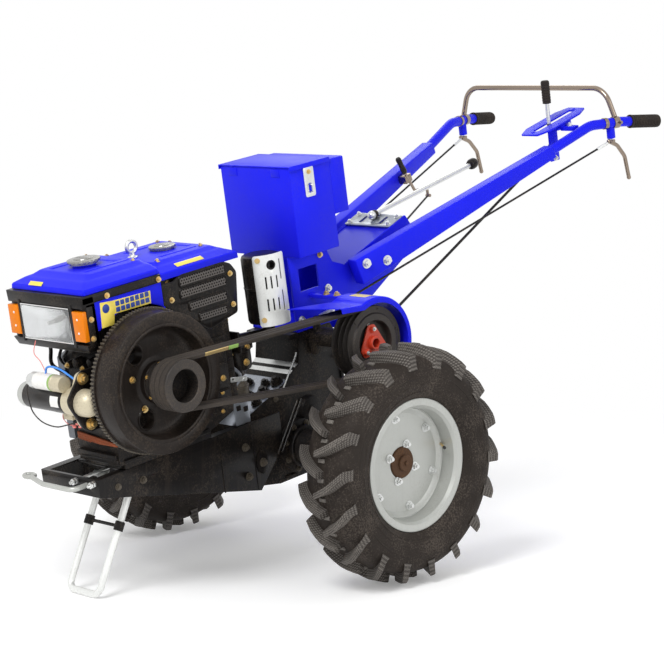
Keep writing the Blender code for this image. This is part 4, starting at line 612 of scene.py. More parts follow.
dirt = (0.16, 0.12, 0.085)
finishTable = {
    # name: colour, roughness, metallic, coat, grime colour, grime, mottle, streak, grain, lump, bump
    "bluePaint": ((0.012, 0.013, 0.76), 0.42, 0, 0.03, dirt, 0.06, 0.16, 0.03, 260, 14, 0.003),
    "blueLow": ((0.015, 0.019, 0.46), 0.44, 0, 0.03, dirt, 0.12, 0.2, 0.05, 260, 18, 0.005),
    "blackPaint": ((0.007, 0.006, 0.006), 0.3, 0, 0.12, dirt, 0.22, 0.5, 0.1, 500, 40, 0.03),
    "blackCast": ((0.009, 0.008, 0.008), 0.4, 0, 0.06, dirt, 0.34, 0.6, 0.1, 260, 60, 0.12),
    "wheelIron": ((0.017, 0.013, 0.011), 0.34, 0.1, 0.06, dirt, 0.22, 0.5, 0.05, 260, 60, 0.05),
    "castIron": ((0.045, 0.04, 0.037), 0.46, 0.4, 0, dirt, 0.35, 0.5, 0.08, 300, 60, 0.1),
    "greyCast": ((0.17, 0.18, 0.2), 0.42, 0.6, 0, dirt, 0.3, 0.4, 0.08, 320, 60, 0.08),
    "brownCast": ((0.22, 0.075, 0.03), 0.62, 0.1, 0, (0.06, 0.04, 0.03), 0.4, 0.5, 0.08, 240, 60,
                  0.14),
    "rubber": ((0.026, 0.021, 0.018), 0.56, 0, 0, (0.15, 0.125, 0.105), 0.42, 0.4, 0.05, 600, 40, 0.06),
    "lugRubber": ((0.085, 0.078, 0.07), 0.6, 0, 0, (0.2, 0.18, 0.16), 0.5, 0.4, 0.05, 600, 40,
                  0.05),
    "grip": ((0.026, 0.021, 0.018), 0.52, 0, 0, dirt, 0.15, 0.3, 0, 500, 60, 0.05),
    "belt": ((0.05, 0.043, 0.038), 0.62, 0, 0, dirt, 0.25, 0.3, 0, 900, 60, 0.08),
    "silver": ((0.47, 0.48, 0.455), 0.34, 0.35, 0.1, (0.25, 0.22, 0.18), 0.16, 0.12, 0.1, 500, 12,
               0.02),
    "zinc": ((0.7, 0.71, 0.7), 0.3, 0.9, 0, (0.22, 0.19, 0.15), 0.2, 0.2, 0.08, 500, 60, 0.03),
    "brass": ((0.72, 0.53, 0.24), 0.34, 0.9, 0, dirt, 0.2, 0.2, 0.05, 500, 60, 0.03),
    "mirror": ((0.86, 0.86, 0.85), 0.14, 1.0, 0, dirt, 0.04, 0.05, 0.0, 500, 60, 0.01),
    "chrome": ((0.31, 0.25, 0.2), 0.18, 1.0, 0, (0.28, 0.22, 0.17), 0.22, 0.2, 0.1, 500, 60, 0.02),
    "shield": ((0.8, 0.81, 0.79), 0.3, 0.45, 0, (0.25, 0.2, 0.15), 0.16, 0.2, 0.1, 500, 12, 0.02),
    "cream": ((0.58, 0.52, 0.38), 0.4, 0.35, 0, (0.14, 0.1, 0.06), 0.3, 0.3, 0.08, 400, 60, 0.06),
    "amber": ((0.72, 0.19, 0.002), 0.2, 0, 0.08, dirt, 0.05, 0.1, 0, 500, 60, 0.02),
    "red": ((0.62, 0.055, 0.022), 0.36, 0, 0.3, dirt, 0.2, 0.3, 0.05, 500, 60, 0.03),
    "hub": ((0.075, 0.038, 0.02), 0.72, 0.2, 0, (0.25, 0.12, 0.05), 0.5, 0.5, 0.05, 260, 70, 0.2),
    "whitePlastic": ((0.8, 0.79, 0.76), 0.38, 0, 0.2, dirt, 0.12, 0.1, 0.03, 500, 60, 0.02),
    "yellowLabel": ((0.83, 0.66, 0.1), 0.36, 0, 0.4, dirt, 0.06, 0.1, 0.02, 600, 30, 0.01),
    "rustWeave": ((0.27, 0.062, 0.018), 0.62, 0, 0, dirt, 0.35, 0.3, 0.02, 500, 60, 0.05),
    "capMetal": ((0.3, 0.3, 0.285), 0.24, 0.85, 0.1, dirt, 0.22, 0.3, 0.02, 300, 50, 0.03),
    "signBlue": ((0.02, 0.055, 0.3), 0.36, 0, 0.2, dirt, 0.06, 0.1, 0.02, 600, 30, 0.01),
    "grilleWire": ((0.115, 0.105, 0.098), 0.46, 0.2, 0, dirt, 0.2, 0.3, 0.05, 500, 40, 0.03),
    "greenLabel": ((0.25, 0.42, 0.1), 0.42, 0, 0.2, dirt, 0.08, 0.1, 0.02, 600, 30, 0.01),
    "pinkWire": ((0.8, 0.22, 0.2), 0.4, 0, 0.2, dirt, 0.15, 0.1, 0, 500, 60, 0.02),
    "blueWire": ((0.05, 0.25, 0.75), 0.36, 0, 0.3, dirt, 0.15, 0.1, 0, 500, 60, 0.02),
    "blackWire": ((0.015, 0.014, 0.013), 0.4, 0, 0.2, dirt, 0.18, 0.2, 0, 500, 60, 0.02),
    "motorGrey": ((0.1, 0.085, 0.065), 0.42, 0.3, 0.1, (0.03, 0.02, 0.02), 0.35, 0.4, 0.1, 400, 60,
                  0.05),
    "steelSheet": ((0.36, 0.39, 0.44), 0.28, 0.8, 0, dirt, 0.25, 0.3, 0.1, 500, 30, 0.03),
    # near-black finish that paints shade: the drive pulley's front recess and the boxes behind the grille
    # openings
    "darkInside": ((0.012, 0.011, 0.011), 0.7, 0, 0, dirt, 0.12, 0.3, 0, 300, 60, 0.05),
}
# how much the plain finishes mirror; dark ones mirror little, so that they stay dark
blueReflection = (0.3, 0.62, 1.0, 1)
shine = {"bluePaint": 0.16, "blueLow": 0.14, "blackPaint": 0.14, "blackCast": 0.12, "rubber": 0.08,
    "wheelIron": 0.16, "lugRubber": 0.1, "grip": 0.12, "belt": 0.08, "darkInside": 0.03, "amber": 0.14}


def newFinish(name):
    finish = bpy.data.materials.new(name)
    finish.use_nodes = True
    return finish, finish.node_tree, finish.node_tree.nodes["Principled BSDF"]


def paintOver(tree, surface, values):
    # Feeds the surface from the grime group
    wear = shaderNode(tree, "Group", values, node_tree=shaders["grimeOverPaint"])
    fillNode(tree, surface, {"Base Color": wear.outputs["Color"], "Roughness": wear.outputs["Roughness"]})
    return wear


for name, (color, rough, metal, coat, grimeColor, grime, mottle, streak, grain, lump,
        bump) in finishTable.items():
    finish, tree, surface = newFinish(name)
    finish.diffuse_color = (*color, 1)
    fillNode(tree, surface, {"Metallic": metal, "Coat Weight": coat, "Coat Roughness": 0.12,
        "Specular IOR Level": shine.get(name, 0.3)})
    if name in ("bluePaint", "blueLow"):
        fillNode(tree, surface, {"Specular Tint": blueReflection})
    wear = paintOver(tree, surface, {"Color": (*color, 1), "Roughness": rough, "Grime": grime,
        "Grime Color": (*grimeColor, 1), "Mottle": mottle, "Streak": streak})
    height = shaderNode(tree, "Group", {"Grain Scale": grain, "Lump Scale": lump},
        node_tree=shaders["grainHeight"])
    if name in ("lugRubber", "grip"):
        ribs = shaderNode(tree, "Group", {"Pitch": 0.0062 if name == "lugRubber" else 0.0042},
            node_tree=shaders["ribHeight"])
        height = calc(tree, "MULTIPLY_ADD", ribs.outputs["Height"], 1.6, height)
    if name == "lugRubber":
        # painted light and shade on the knurl: the raised dots are painted pale and the hollows between
        # them dark, following the relief's height
        knurlLightShade = shaderNode(tree, "Mix",
            {"Factor": ribs.outputs["Mask"], "A": (0.048, 0.042, 0.038, 1), "B": (0.15, 0.137, 0.124, 1)},
            data_type="RGBA")
        fillNode(tree, wear, {"Color": next(socket for socket in knurlLightShade.outputs if socket.type == "RGBA")})
    relief = shaderNode(tree, "Bump",
        {"Strength": min(1.0, bump * 4), "Distance": 0.0012, "Height": height})
    fillNode(tree, surface, {"Normal": relief})
    finishes[name] = finish


def makeGlass(name, color, rough):
    finishes[name], tree, surface = newFinish(name)
    fillNode(tree, surface, {"Transmission Weight": 0.93, "IOR": 1.45})
    paintOver(tree, surface, {"Color": (*color, 1), "Roughness": rough, "Grime": 0.03, "Mottle": 0.02})


makeGlass("lampGlass", (0.95, 0.96, 0.97), 0.03)
print("finishes ready")


# Wheels

wheel = {"treadRadius": 0.284, "tipRadius": 0.31, "flangeRadius": 0.171, "beadRadius": 0.152,
    "halfWidth": 0.078, "rimHalfWidth": 0.06, "lugsPerSide": 18, "discX": 0.004,
    "innerBolts": (0.049, 62.5, 4), "outerBolts": (0.118, 33.6, 6)}


def lugPart(side, base):
    # One chevron bar, from near the middle of the tread out over the shoulder
    tip, tread = wheel["tipRadius"], wheel["treadRadius"]
    stations = [  # x, lean along the tread, top radius, foot radius, half width
        (-0.007, 0.0, tip - 0.0005, tread - 0.007, 0.0088),
        (0.01, 0.008, tip - 0.0003, tread - 0.006, 0.0094),
        (0.028, 0.017, tip - 0.0012, tread - 0.006, 0.0104),
        (0.042, 0.026, tip - 0.0032, tread - 0.007, 0.0112),
        (0.056, 0.038, tip - 0.008, tread - 0.013, 0.0118),
        (0.07, 0.052, tip - 0.014, 0.258, 0.0122),
        (0.0785, 0.0615, tip - 0.02, 0.25, 0.012),
    ]
    part = bmesh.new()
    part.verts.layers.float.new("along")
    part.verts.layers.float.new("across")
    along, across = part.verts.layers.float["along"], part.verts.layers.float["across"]
    rings = []
    for k, (x, lean, top, foot, half) in enumerate(stations):
        out = 0.0012 if 0 < k < len(stations) - 1 else 0
        section = [(foot, -half * 1.42), (foot + 0.007, -half * 1.12), (top - 0.004, -half * 0.92),
            (top - 0.0012, -half * 0.84), (top, -half * 0.72), (top + out * 0.1, 0), (top, half * 0.72),
            (top - 0.0012, half * 0.84), (top - 0.004, half * 0.92), (foot + 0.007, half * 1.12),
            (foot, half * 1.42)]
        ring = []
        for radius, aside in section:
            turn = base + (lean + aside) / tip
            spot = part.verts.new((side * x, -radius * sin(turn), -radius * cos(turn)))
            deep = top - radius
            spot[along], spot[across] = x * 1.25 + deep * 0.6, aside + deep * 0.9
            ring.append(spot)
        rings.append(ring)
    joinRings(part, rings)
    return part


def tyreProfile():
    flange, bead = wheel["flangeRadius"], wheel["beadRadius"] + 0.001
    tread, half, rim = wheel["treadRadius"], wheel["halfWidth"], wheel["rimHalfWidth"]
    side = [(bead, rim - 0.02), (bead, rim - 0.009), (flange + 0.0005, rim - 0.007),
        (flange + 0.003, rim + 0.0005), (flange + 0.006, rim + 0.0028), (0.181, 0.0668), (0.187, 0.0705),
        (0.1885, 0.0722), (0.1905, 0.0722), (0.192, 0.0712), (0.2, 0.0748), (0.206, 0.0758),
        (0.2072, 0.0768), (0.2088, 0.0768), (0.21, 0.0762), (0.22, half), (0.23, half - 0.0002),
        (0.2312, half + 0.001), (0.2332, half + 0.001), (0.2345, half - 0.0004), (0.246, half - 0.0014),
        (0.256, half - 0.0032), (0.264, half - 0.0068), (0.27, half - 0.013), (0.2755, 0.054),
        (0.28, 0.042), (tread - 0.0015, 0.024), (tread - 0.0004, 0.01), (tread, 0.0)]
    outer = side + [(radius, -x) for radius, x in reversed(side[:-1])]
    inner = [(0.2, -0.06), (0.24, -0.066), (0.262, -0.052), (0.272, -0.03)]
    return outer + inner + [(0.2735, 0.0)] + [(radius, -x) for radius, x in reversed(inner)]


def rimProfile():
    flange, bead, rim = wheel["flangeRadius"], wheel["beadRadius"], wheel["rimHalfWidth"]
    disc = wheel["discX"]
    return [(flange - 0.002, rim + 0.0005), (flange + 0.0005, rim - 0.0005), (flange + 0.0008, rim - 0.003),
        (flange - 0.002, rim - 0.0042), (bead + 0.005, rim - 0.006), (bead, rim - 0.012), (bead, 0.034),
        (bead - 0.004, 0.028), (bead - 0.004, 0.012), (bead - 0.004, -0.018), (bead, -0.026),
        (bead, -rim + 0.01), (bead + 0.005, -rim + 0.006), (flange - 0.002, -rim + 0.0042),
        (flange + 0.0008, -rim + 0.003), (flange + 0.0005, -rim + 0.0005), (flange - 0.002, -rim - 0.0005),
        (bead + 0.002, -rim + 0.002), (0.148, -rim + 0.007), (0.1475, -0.01), (0.143, disc - 0.006),
        (0.042, disc - 0.006), (0.042, disc), (0.106, disc), (0.128, disc + 0.0008), (0.134, disc + 0.0045),
        (0.138, disc + 0.0085), (0.1415, disc + 0.0095), (0.1435, disc + 0.0075), (0.145, disc + 0.0082),
        (0.1455, 0.03), (0.148, rim - 0.01), (bead + 0.002, rim - 0.002)]


hubProfile = [(0.0, 0.0205), (0.0195, 0.0205), (0.0215, 0.0185), (0.0215, 0.0125), (0.027, 0.011),
    (0.034, 0.0102), (0.039, 0.008), (0.0408, 0.0045), (0.0412, -0.0025), (0.06, -0.0026), (0.0618, -0.005),
    (0.0618, -0.0125), (0.06, -0.0144), (0.038, -0.016), (0.035, -0.027), (0.031, -0.04), (0.03, -0.163),
    (0.0, -0.163)]


def makeWheel(side, sign):
    centre = Vector((sign * halfTrack, 0, 0))
    tyre = bmesh.new()
    for name in ("along", "across"):
        tyre.verts.layers.float.new(name)
    addTurned(tyre, tyreProfile(), (0, 0, 0), 120)
    pitch = 2 * pi / wheel["lugsPerSide"]
    for row, offset in ((1, 0.0), (-1, pitch / 2)):
        lug = lugPart(row, offset - noseDown)
        pourMesh(tyre, grownItems("ring", lug, {"Count": wheel["lugsPerSide"]}, "lugRubber"), 1)
    for i in range(36):
        # short ribs in the middle of the tread, between the bars
        place = Matrix.Rotation((i + 0.25) * pitch / 2, 4, "X")
        addBox(tyre, (-0.01, -0.005, wheel["treadRadius"] - 0.006),
            (0.01, 0.005, wheel["treadRadius"] + 0.004), 0.0012, 1, place)
    bmesh.ops.translate(tyre, vec=centre, verts=tyre.verts)
    finishPiece("tyreDressed_" + side, tyre, "rubber lugRubber", "tyre_" + side, 40,
        body="wheel_" + side)

    rim = bmesh.new()
    addTurned(rim, rimProfile(), (0, 0, 0), 120)
    addRod(rim, (0.012, 0.142, 0.01), (0.04, 0.124, 0.009), 0.0034, 16, 0.0005, 1, endRadius=0.003)
    addRod(rim, (0.04, 0.124, 0.009), (0.047, 0.1195, 0.0088), 0.0042, 16, 0.0008, 2)
    mirrorShape(rim, sign)
    bmesh.ops.translate(rim, vec=centre, verts=rim.verts)
    finishPiece("rimDressed_" + side, rim, "silver brass blackWire", "rim_" + side, 28,
        body="wheel_" + side)

    hub = bmesh.new()
    addTurned(hub, hubProfile, (0, 0, 0), 64)
    addRod(hub, (0.02, 0, 0), (0.0245, 0, 0), 0.0065, 6, 0.0005)
    mirrorShape(hub, sign)
    bmesh.ops.translate(hub, vec=centre, verts=hub.verts)
    finishPiece("hubDressed_" + side, hub, "hub", "wheel_hub_" + side, 30, body="wheel_" + side)

    seats = []
    for radius, phase, count in (wheel["innerBolts"], wheel["outerBolts"]):
        for i in range(count):
            turn = radians(phase) + 2 * pi * i / count
            spot = around(centre.x + sign * (wheel["discX"] + 0.0002), 0, 0, radius, turn)
            seats.append((spot, (sign, 0, 0), 0.95))
    bolts("wheelNuts_" + side, seats, body="wheel_" + side,
        **{"Head Radius": 0.0092, "Head Height": 0.0075, "Washer Radius": 0.0125, "Washer Height": 0.0022,
        "Stud Radius": 0.0052, "Stud Height": 0.006})


makeWheel("left", 1)
makeWheel("right", -1)
print("wheels ready")


# Flywheel, drive pulley, belts, clutch and the belt cover

drive = {"crankY": -0.536, "crankZ": 0.335, "clutchY": 0.12, "clutchZ": 0.272, "flywheelRadius": 0.176,
    "flywheelInner": 0.165, "flywheelFace": 0.235, "recess": 0.045, "teeth": 112, "pulleyRadius": 0.065,
    "pulleyFace": 0.305, "clutchRadius": 0.098, "clutchInner": 0.236, "clutchFace": 0.304,
    "beltFirst": 0.254, "beltPitch": 0.018, "beltHeight": 0.0095, "beltTop": 0.015, "beltBottom": 0.0095}
crank = Vector((0, drive["crankY"], drive["crankZ"]))
clutch = Vector((0, drive["clutchY"], drive["clutchZ"]))


def grooveProfile(radius, low, high):
    points = [(radius - 0.0015, high), (radius, high - 0.0015)]
    for i in (2, 1, 0):
        x = drive["beltFirst"] + i * drive["beltPitch"]
        top, bottom = drive["beltTop"] / 2 + 0.001, drive["beltBottom"] / 2 + 0.001
        depth = drive["beltHeight"] + 0.0025
        points += [(radius, x + top + 0.0004), (radius - 0.0008, x + top), (radius - depth, x + bottom),
            (radius - depth, x - bottom), (radius - 0.0008, x - top), (radius, x - top - 0.0004)]
    return points + [(radius, low + 0.0015), (radius - 0.0015, low)]


def makeFlywheel():
    face, inner, recess = drive["flywheelFace"], drive["flywheelInner"], drive["recess"]
    radius = drive["flywheelRadius"]
    profile = [(0.139, face - 0.0015), (0.141, face - 0.0003), (0.143, face), (0.1465, face),
        (0.1475, face - 0.0006), (0.1485, face), (radius - 0.003, face), (radius - 0.0008, face - 0.0008),
        (radius, face - 0.003), (radius, inner + 0.0125), (0.1795, inner + 0.012), (0.1795, inner),
        (0.0, inner), (0.0, face - recess + 0.02), (0.049, face - recess + 0.02),
        (0.0505, face - recess + 0.0185), (0.0525, face - recess + 0.006), (0.06, face - recess + 0.0008),
        (0.066, face - recess), (0.112, face - recess), (0.124, face - recess + 0.001),
        (0.131, face - recess + 0.005), (0.1345, face - recess + 0.012), (0.137, face - 0.012)]
    disc = turnedPart(profile, 144)
    holes = []
    for i in range(3):
        turn = 2 * pi * i / 3 + radians(3)
        hole = bmesh.new()
        addRod(hole, around(inner - 0.01, 0, 0, 0.096, turn), around(face, 0, 0, 0.096, turn), 0.023, 40)
        holes.append(hole)
    shape = cutBy(disc, holes)
    for i in range(3):
        spot = around(face - recess, 0, 0, 0.096, 2 * pi * i / 3 + radians(3))
        addTurned(shape, [(0.0232, 0.0), (0.0232, 0.0022), (0.0245, 0.0032), (0.0265, 0.0028),
            (0.0285, 0.0)], spot, 40)
    tooth = bmesh.new()
    outer, root = 0.183, 0.1785
    half = 2 * pi / drive["teeth"] * 0.5
    corners = [[(x, radius * cos(a), radius * sin(a)) for x in (inner, inner + 0.012)] for radius,
        a in ((root, -half * 0.62), (outer, -half * 0.34), (outer, half * 0.34), (root, half * 0.62))]
    addBlock(tooth, [c[0] for c in corners], [c[1] for c in corners], 0.0004, 1)
    pourMesh(shape, grownItems("ring", tooth, {"Count": drive["teeth"]}, "motorGrey"), 1)
    bmesh.ops.translate(shape, vec=crank, verts=shape.verts)
    finishPiece("flywheelDressed", shape, "wheelIron motorGrey", "flywheel", 34,
        body="crank")

    low = face - recess + 0.0203
    profile = grooveProfile(drive["pulleyRadius"], drive["beltFirst"] - 0.01, drive["pulleyFace"])
    outer, bore = drive["pulleyFace"], 0.041
    profile += [(0.048, low + 0.008), (0.048, low), (0.0, low), (0.0, outer - 0.04), (0.016, outer - 0.04),
        (0.017, outer - 0.046), (0.036, outer - 0.046), (bore, outer - 0.042), (bore, outer - 0.002),
        (bore + 0.002, outer)]
    pulley = bmesh.new()
    addTurned(pulley, profile, crank, 96)
    # the faces inside the pulley's front recess get painted shade, a near-black finish
    for side in pulley.faces:
        spots = [spot.co - crank for spot in side.verts]
        if all(spot.yz.length < bore + 0.001 and spot.x > outer - 0.05 for spot in spots):
            side.material_index = 1
    finishPiece("drivePulleyDressed", pulley, "castIron darkInside", "drive_pulley", 30,
        body="crank")
    seats = []
    for out, radius, size, turns in ((0.0202, 0.0445, 0.6, (150, 218, 282, 20, 84)),
            (0.0004, 0.074, 0.75, (162, 232, 300))):
        for turn in turns:
            spot = around(face - recess + out, crank.y, crank.z, radius, radians(turn))
            seats.append((spot, (1, 0, 0), size))
    bolts("flywheelBolts", seats, "brass", body="crank")


def beltPath(driveRadius, clutchRadius, steps=40):
    span = clutch - crank
    slope = atan2(span.z, span.y)
    wrap = atan2(clutchRadius - driveRadius, span.length)
    points = []
    for centre, radius, start, end in ((crank, driveRadius, pi / 2 + wrap, 1.5 * pi - wrap),
            (clutch, clutchRadius, -pi / 2 - wrap, pi / 2 + wrap)):
        for i in range(steps):
            turn = start + slope + (end - start) * i / (steps - 1)
            points.append((centre.y + radius * cos(turn), centre.z + radius * sin(turn)))
    return points


def makeBelts():
    for i in range(3):
        x = drive["beltFirst"] + i * drive["beltPitch"]
        half, foot, tall = drive["beltTop"] / 2, drive["beltBottom"] / 2, drive["beltHeight"]
        section = [(0.0004, half - 0.0012), (-0.001, half), (-tall + 0.001, foot), (-tall, foot - 0.0012),
            (-tall, -foot + 0.0012), (-tall + 0.001, -foot), (-0.001, -half), (0.0004, -half + 0.0012)]
        shape = bmesh.new()
        loops = [[shape.verts.new((x + side, y, z)) for y,
            z in beltPath(drive["pulleyRadius"] + drop, drive["clutchRadius"] + drop)] for drop,
            side in section]
        joinRings(shape, loops, True)
        if i == 2:
            # a short painted batch mark on the upper run
            for start, end, slot in ((-0.455, -0.378, 1), (-0.377, -0.345, 2)):
                for spot in (start, end):
                    bmesh.ops.bisect_plane(shape, geom=list(shape.verts) + list(shape.edges)
                        + list(shape.faces), plane_co=(0, spot, 0), plane_no=(0, 1, 0))
                for face in shape.faces:
                    middle = face.calc_center_median()
                    if start < middle.y < end and middle.z > 0.33 and face.normal.x > 0.5:
                        face.material_index = slot
        finishPiece(f"beltDressed_{i + 1}", shape, "belt brass greenLabel",
            f"drive_belt_{i + 1}", 40)


def makeClutch():
    inner, face = drive["clutchInner"], drive["clutchFace"]
    profile = grooveProfile(drive["clutchRadius"], inner, face - 0.006)
    profile += [(0.03, inner), (0.03, 0.222), (0.0, 0.222), (0.0, face - 0.02), (0.055, face - 0.02),
        (0.058, face - 0.018), (0.06, face - 0.001), (0.0615, face), (0.0765, face), (0.078, face - 0.001),
        (0.08, face - 0.0055), (0.084, face - 0.0065), (0.087, face - 0.0065)]
    shape = bmesh.new()
    addTurned(shape, profile, clutch, 96)
    for i in range(6):
        spot = clutch + around(face - 0.0045, 0, 0, 0.0895, 2 * pi * i / 6 + 0.2)
        addRod(shape, spot - Vector((0.003, 0, 0)), spot, 0.003, 12, 0.0006)
    finishPiece("clutchPulleyDressed", shape, "castIron", "clutch_pulley", 30, body="clutch")
    plate = bmesh.new()
    corners = []
    for i in range(3):
        for spread in (-13, 13):
            turn = radians(90 + 120 * i + spread)
            corners.append((0.05 * cos(turn), 0.05 * sin(turn)))
    outline = softCorners(corners, 0.006)
    place = Matrix.Translation(clutch) @ facing("X", 0)
    addPlate(plate, [outline, circle(0, 0, 0.012)], 0.005,
        Matrix.Translation((face - 0.0115, 0, 0)) @ place, 0.0008)
    addTurned(plate, [(0.018, -0.019), (0.018, 0.001), (0.016, 0.003), (0.0125, 0.003), (0.0125, -0.019)],
        clutch + Vector((face - 0.0008, 0, 0)), 40)
    for i in range(3):
        turn = radians(90 + 120 * i)
        spot = clutch + around(face - 0.014, 0, 0, 0.038, turn)
        addRod(plate, spot - Vector((0.005, 0, 0)), spot + Vector((0.0145, 0, 0)), 0.0075, 24, 0.0012,
            endRadius=0.0062)
        fin = spot - around(0, 0, 0, 0.01, turn)
        addRod(plate, fin + Vector((0.006, 0, 0)), spot + Vector((0.009, 0, 0)), 0.0045, 16)
    finishPiece("clutchPlateDressed", plate, "red", "clutch_plate", body="clutch")
    for name, out, radius, size in (("clutchScrews", 0.0008, 0.038, 0.45),
            ("clutchFaceScrews", -0.0198, 0.045, 0.5)):
        seats = [(around(face + out, clutch.y, clutch.z, radius, radians(90 + 120 * i)), (1, 0, 0), size)
            for i in range(3)]
        bolts(name, seats, body="clutch")


def addSheet(shape, grid, thickness, slot=0, rim=0.0):
    # A thin closed solid whose outer side runs through the grid of points
    rows, columns = len(grid), len(grid[0])
    grid = [[Vector(p) for p in row] for row in grid]
    part = bmesh.new()
    outer, inner = [], []
    for r in range(rows):
        outer.append([part.verts.new(p) for p in grid[r]])
        inner.append([])
        for c in range(columns):
            down = grid[min(r + 1, rows - 1)][c] - grid[max(r - 1, 0)][c]
            across = grid[r][min(c + 1, columns - 1)] - grid[r][max(c - 1, 0)]
            inner[r].append(part.verts.new(grid[r][c] - down.cross(across).normalized() * thickness))
    for r in range(rows - 1):
        for c in range(columns - 1):
            part.faces.new((outer[r][c], outer[r][c + 1], outer[r + 1][c + 1], outer[r + 1][c]))
            part.faces.new((inner[r][c], inner[r + 1][c], inner[r + 1][c + 1], inner[r][c + 1]))
    for r in range(rows - 1):
        for c in (0, columns - 1):
            part.faces.new((outer[r][c], outer[r + 1][c], inner[r + 1][c], inner[r][c]))
    for c in range(columns - 1):
        for r in (0, rows - 1):
            part.faces.new((outer[r][c], outer[r][c + 1], inner[r][c + 1], inner[r][c]))
    bmesh.ops.recalc_face_normals(part, faces=part.faces)
    if part.calc_volume(signed=True) < 0:
        bmesh.ops.reverse_faces(part, faces=part.faces)
    roundEdges(part, rim, 1, 60)
    pour(shape, part, slot)


def makeCover():
    radius, wall, inner, outer, lip = 0.124, 0.002, 0.205, 0.318, 0.016
    start, end = radians(112), radians(-18)
    tipZ = clutch.z + radius * sin(start) + 0.02
    tipY, lipFront = -0.085, -0.002

    def skin(drop, x, share):
        # share runs from the slanting front end at 0 to the rear end at 1
        if share < 0.25:
            inward = (outer - x) / (outer - inner)
            tip = Vector((x, tipY, tipZ - drop))
            root = around(x, clutch.y, clutch.z, radius - drop, start)
            cut = (lipFront - tipY) * (1 - inward) / (root.y - tip.y)
            return tip.lerp(root, cut + (1 - cut) * share / 0.25)
        turn = start + (end - start) * (share - 0.25) / 0.75
        return around(x, clutch.y, clutch.z, radius - drop, turn)

    shares = [i / 40 for i in range(41)]
    widths = [inner, inner + 0.002] + [inner + (outer - inner) * k / 8 for k in range(1, 8)]
    widths += [outer - 0.006, outer - 0.003]
    grid = [[skin(0, x, s) for x in widths] + [skin(0.0012, outer - 0.001, s), skin(0.004, outer, s)]
        for s in shares]
    shape = bmesh.new()
    addSheet(shape, [list(reversed(row)) for row in grid], wall)
    grid = [[skin(depth, outer, s) for depth in (0.004, 0.009, lip)] for s in shares]
    addSheet(shape, grid, wall)
    top = clutch.z + radius
    addBox(shape, (0.0883, 0.104, top - 0.013), (inner + 0.012, 0.126, top - 0.0025), 0.0015)
    finishPiece("beltCoverDressed", shape, "bluePaint", "belt_cover", 34)
    label = bmesh.new()
    grid = [[skin(-0.0004, x, s) for x in (0.232, 0.262, 0.292)] for s in (0.36, 0.39, 0.42, 0.45)]
    addSheet(label, [list(reversed(row)) for row in grid], 0.0003)
    finishPiece("coverLabelBlank", label, "yellowLabel")
    bolts("coverBolts", [((0.145, 0.115, top - 0.0025), (0, 0, 1), 0.8),
        ((0.185, 0.115, top - 0.0025), (0, 0, 1), 0.8)], "brass")


makeFlywheel()
makeBelts()
makeClutch()
makeCover()
print("belt drive ready")


# Fuel tank, hood, lamps, side panels and grilles

body = {"half": 0.1465, "front": -0.68, "tankRear": -0.44, "hoodRear": -0.176, "tankLow": 0.582,
    "tankShoulder": 0.607, "tankTop": 0.62, "hoodLow": 0.562, "hoodShoulder": 0.592, "hoodTop": 0.604,
    "lampFront": -0.694, "lampLow": 0.44, "bandLow": 0.56}


def ringAt(lowX, lowY, highX, highY, z, corner):
    return [(x, y, z) for x, y in softRectangle(lowX, lowY, highX, highY, corner)]


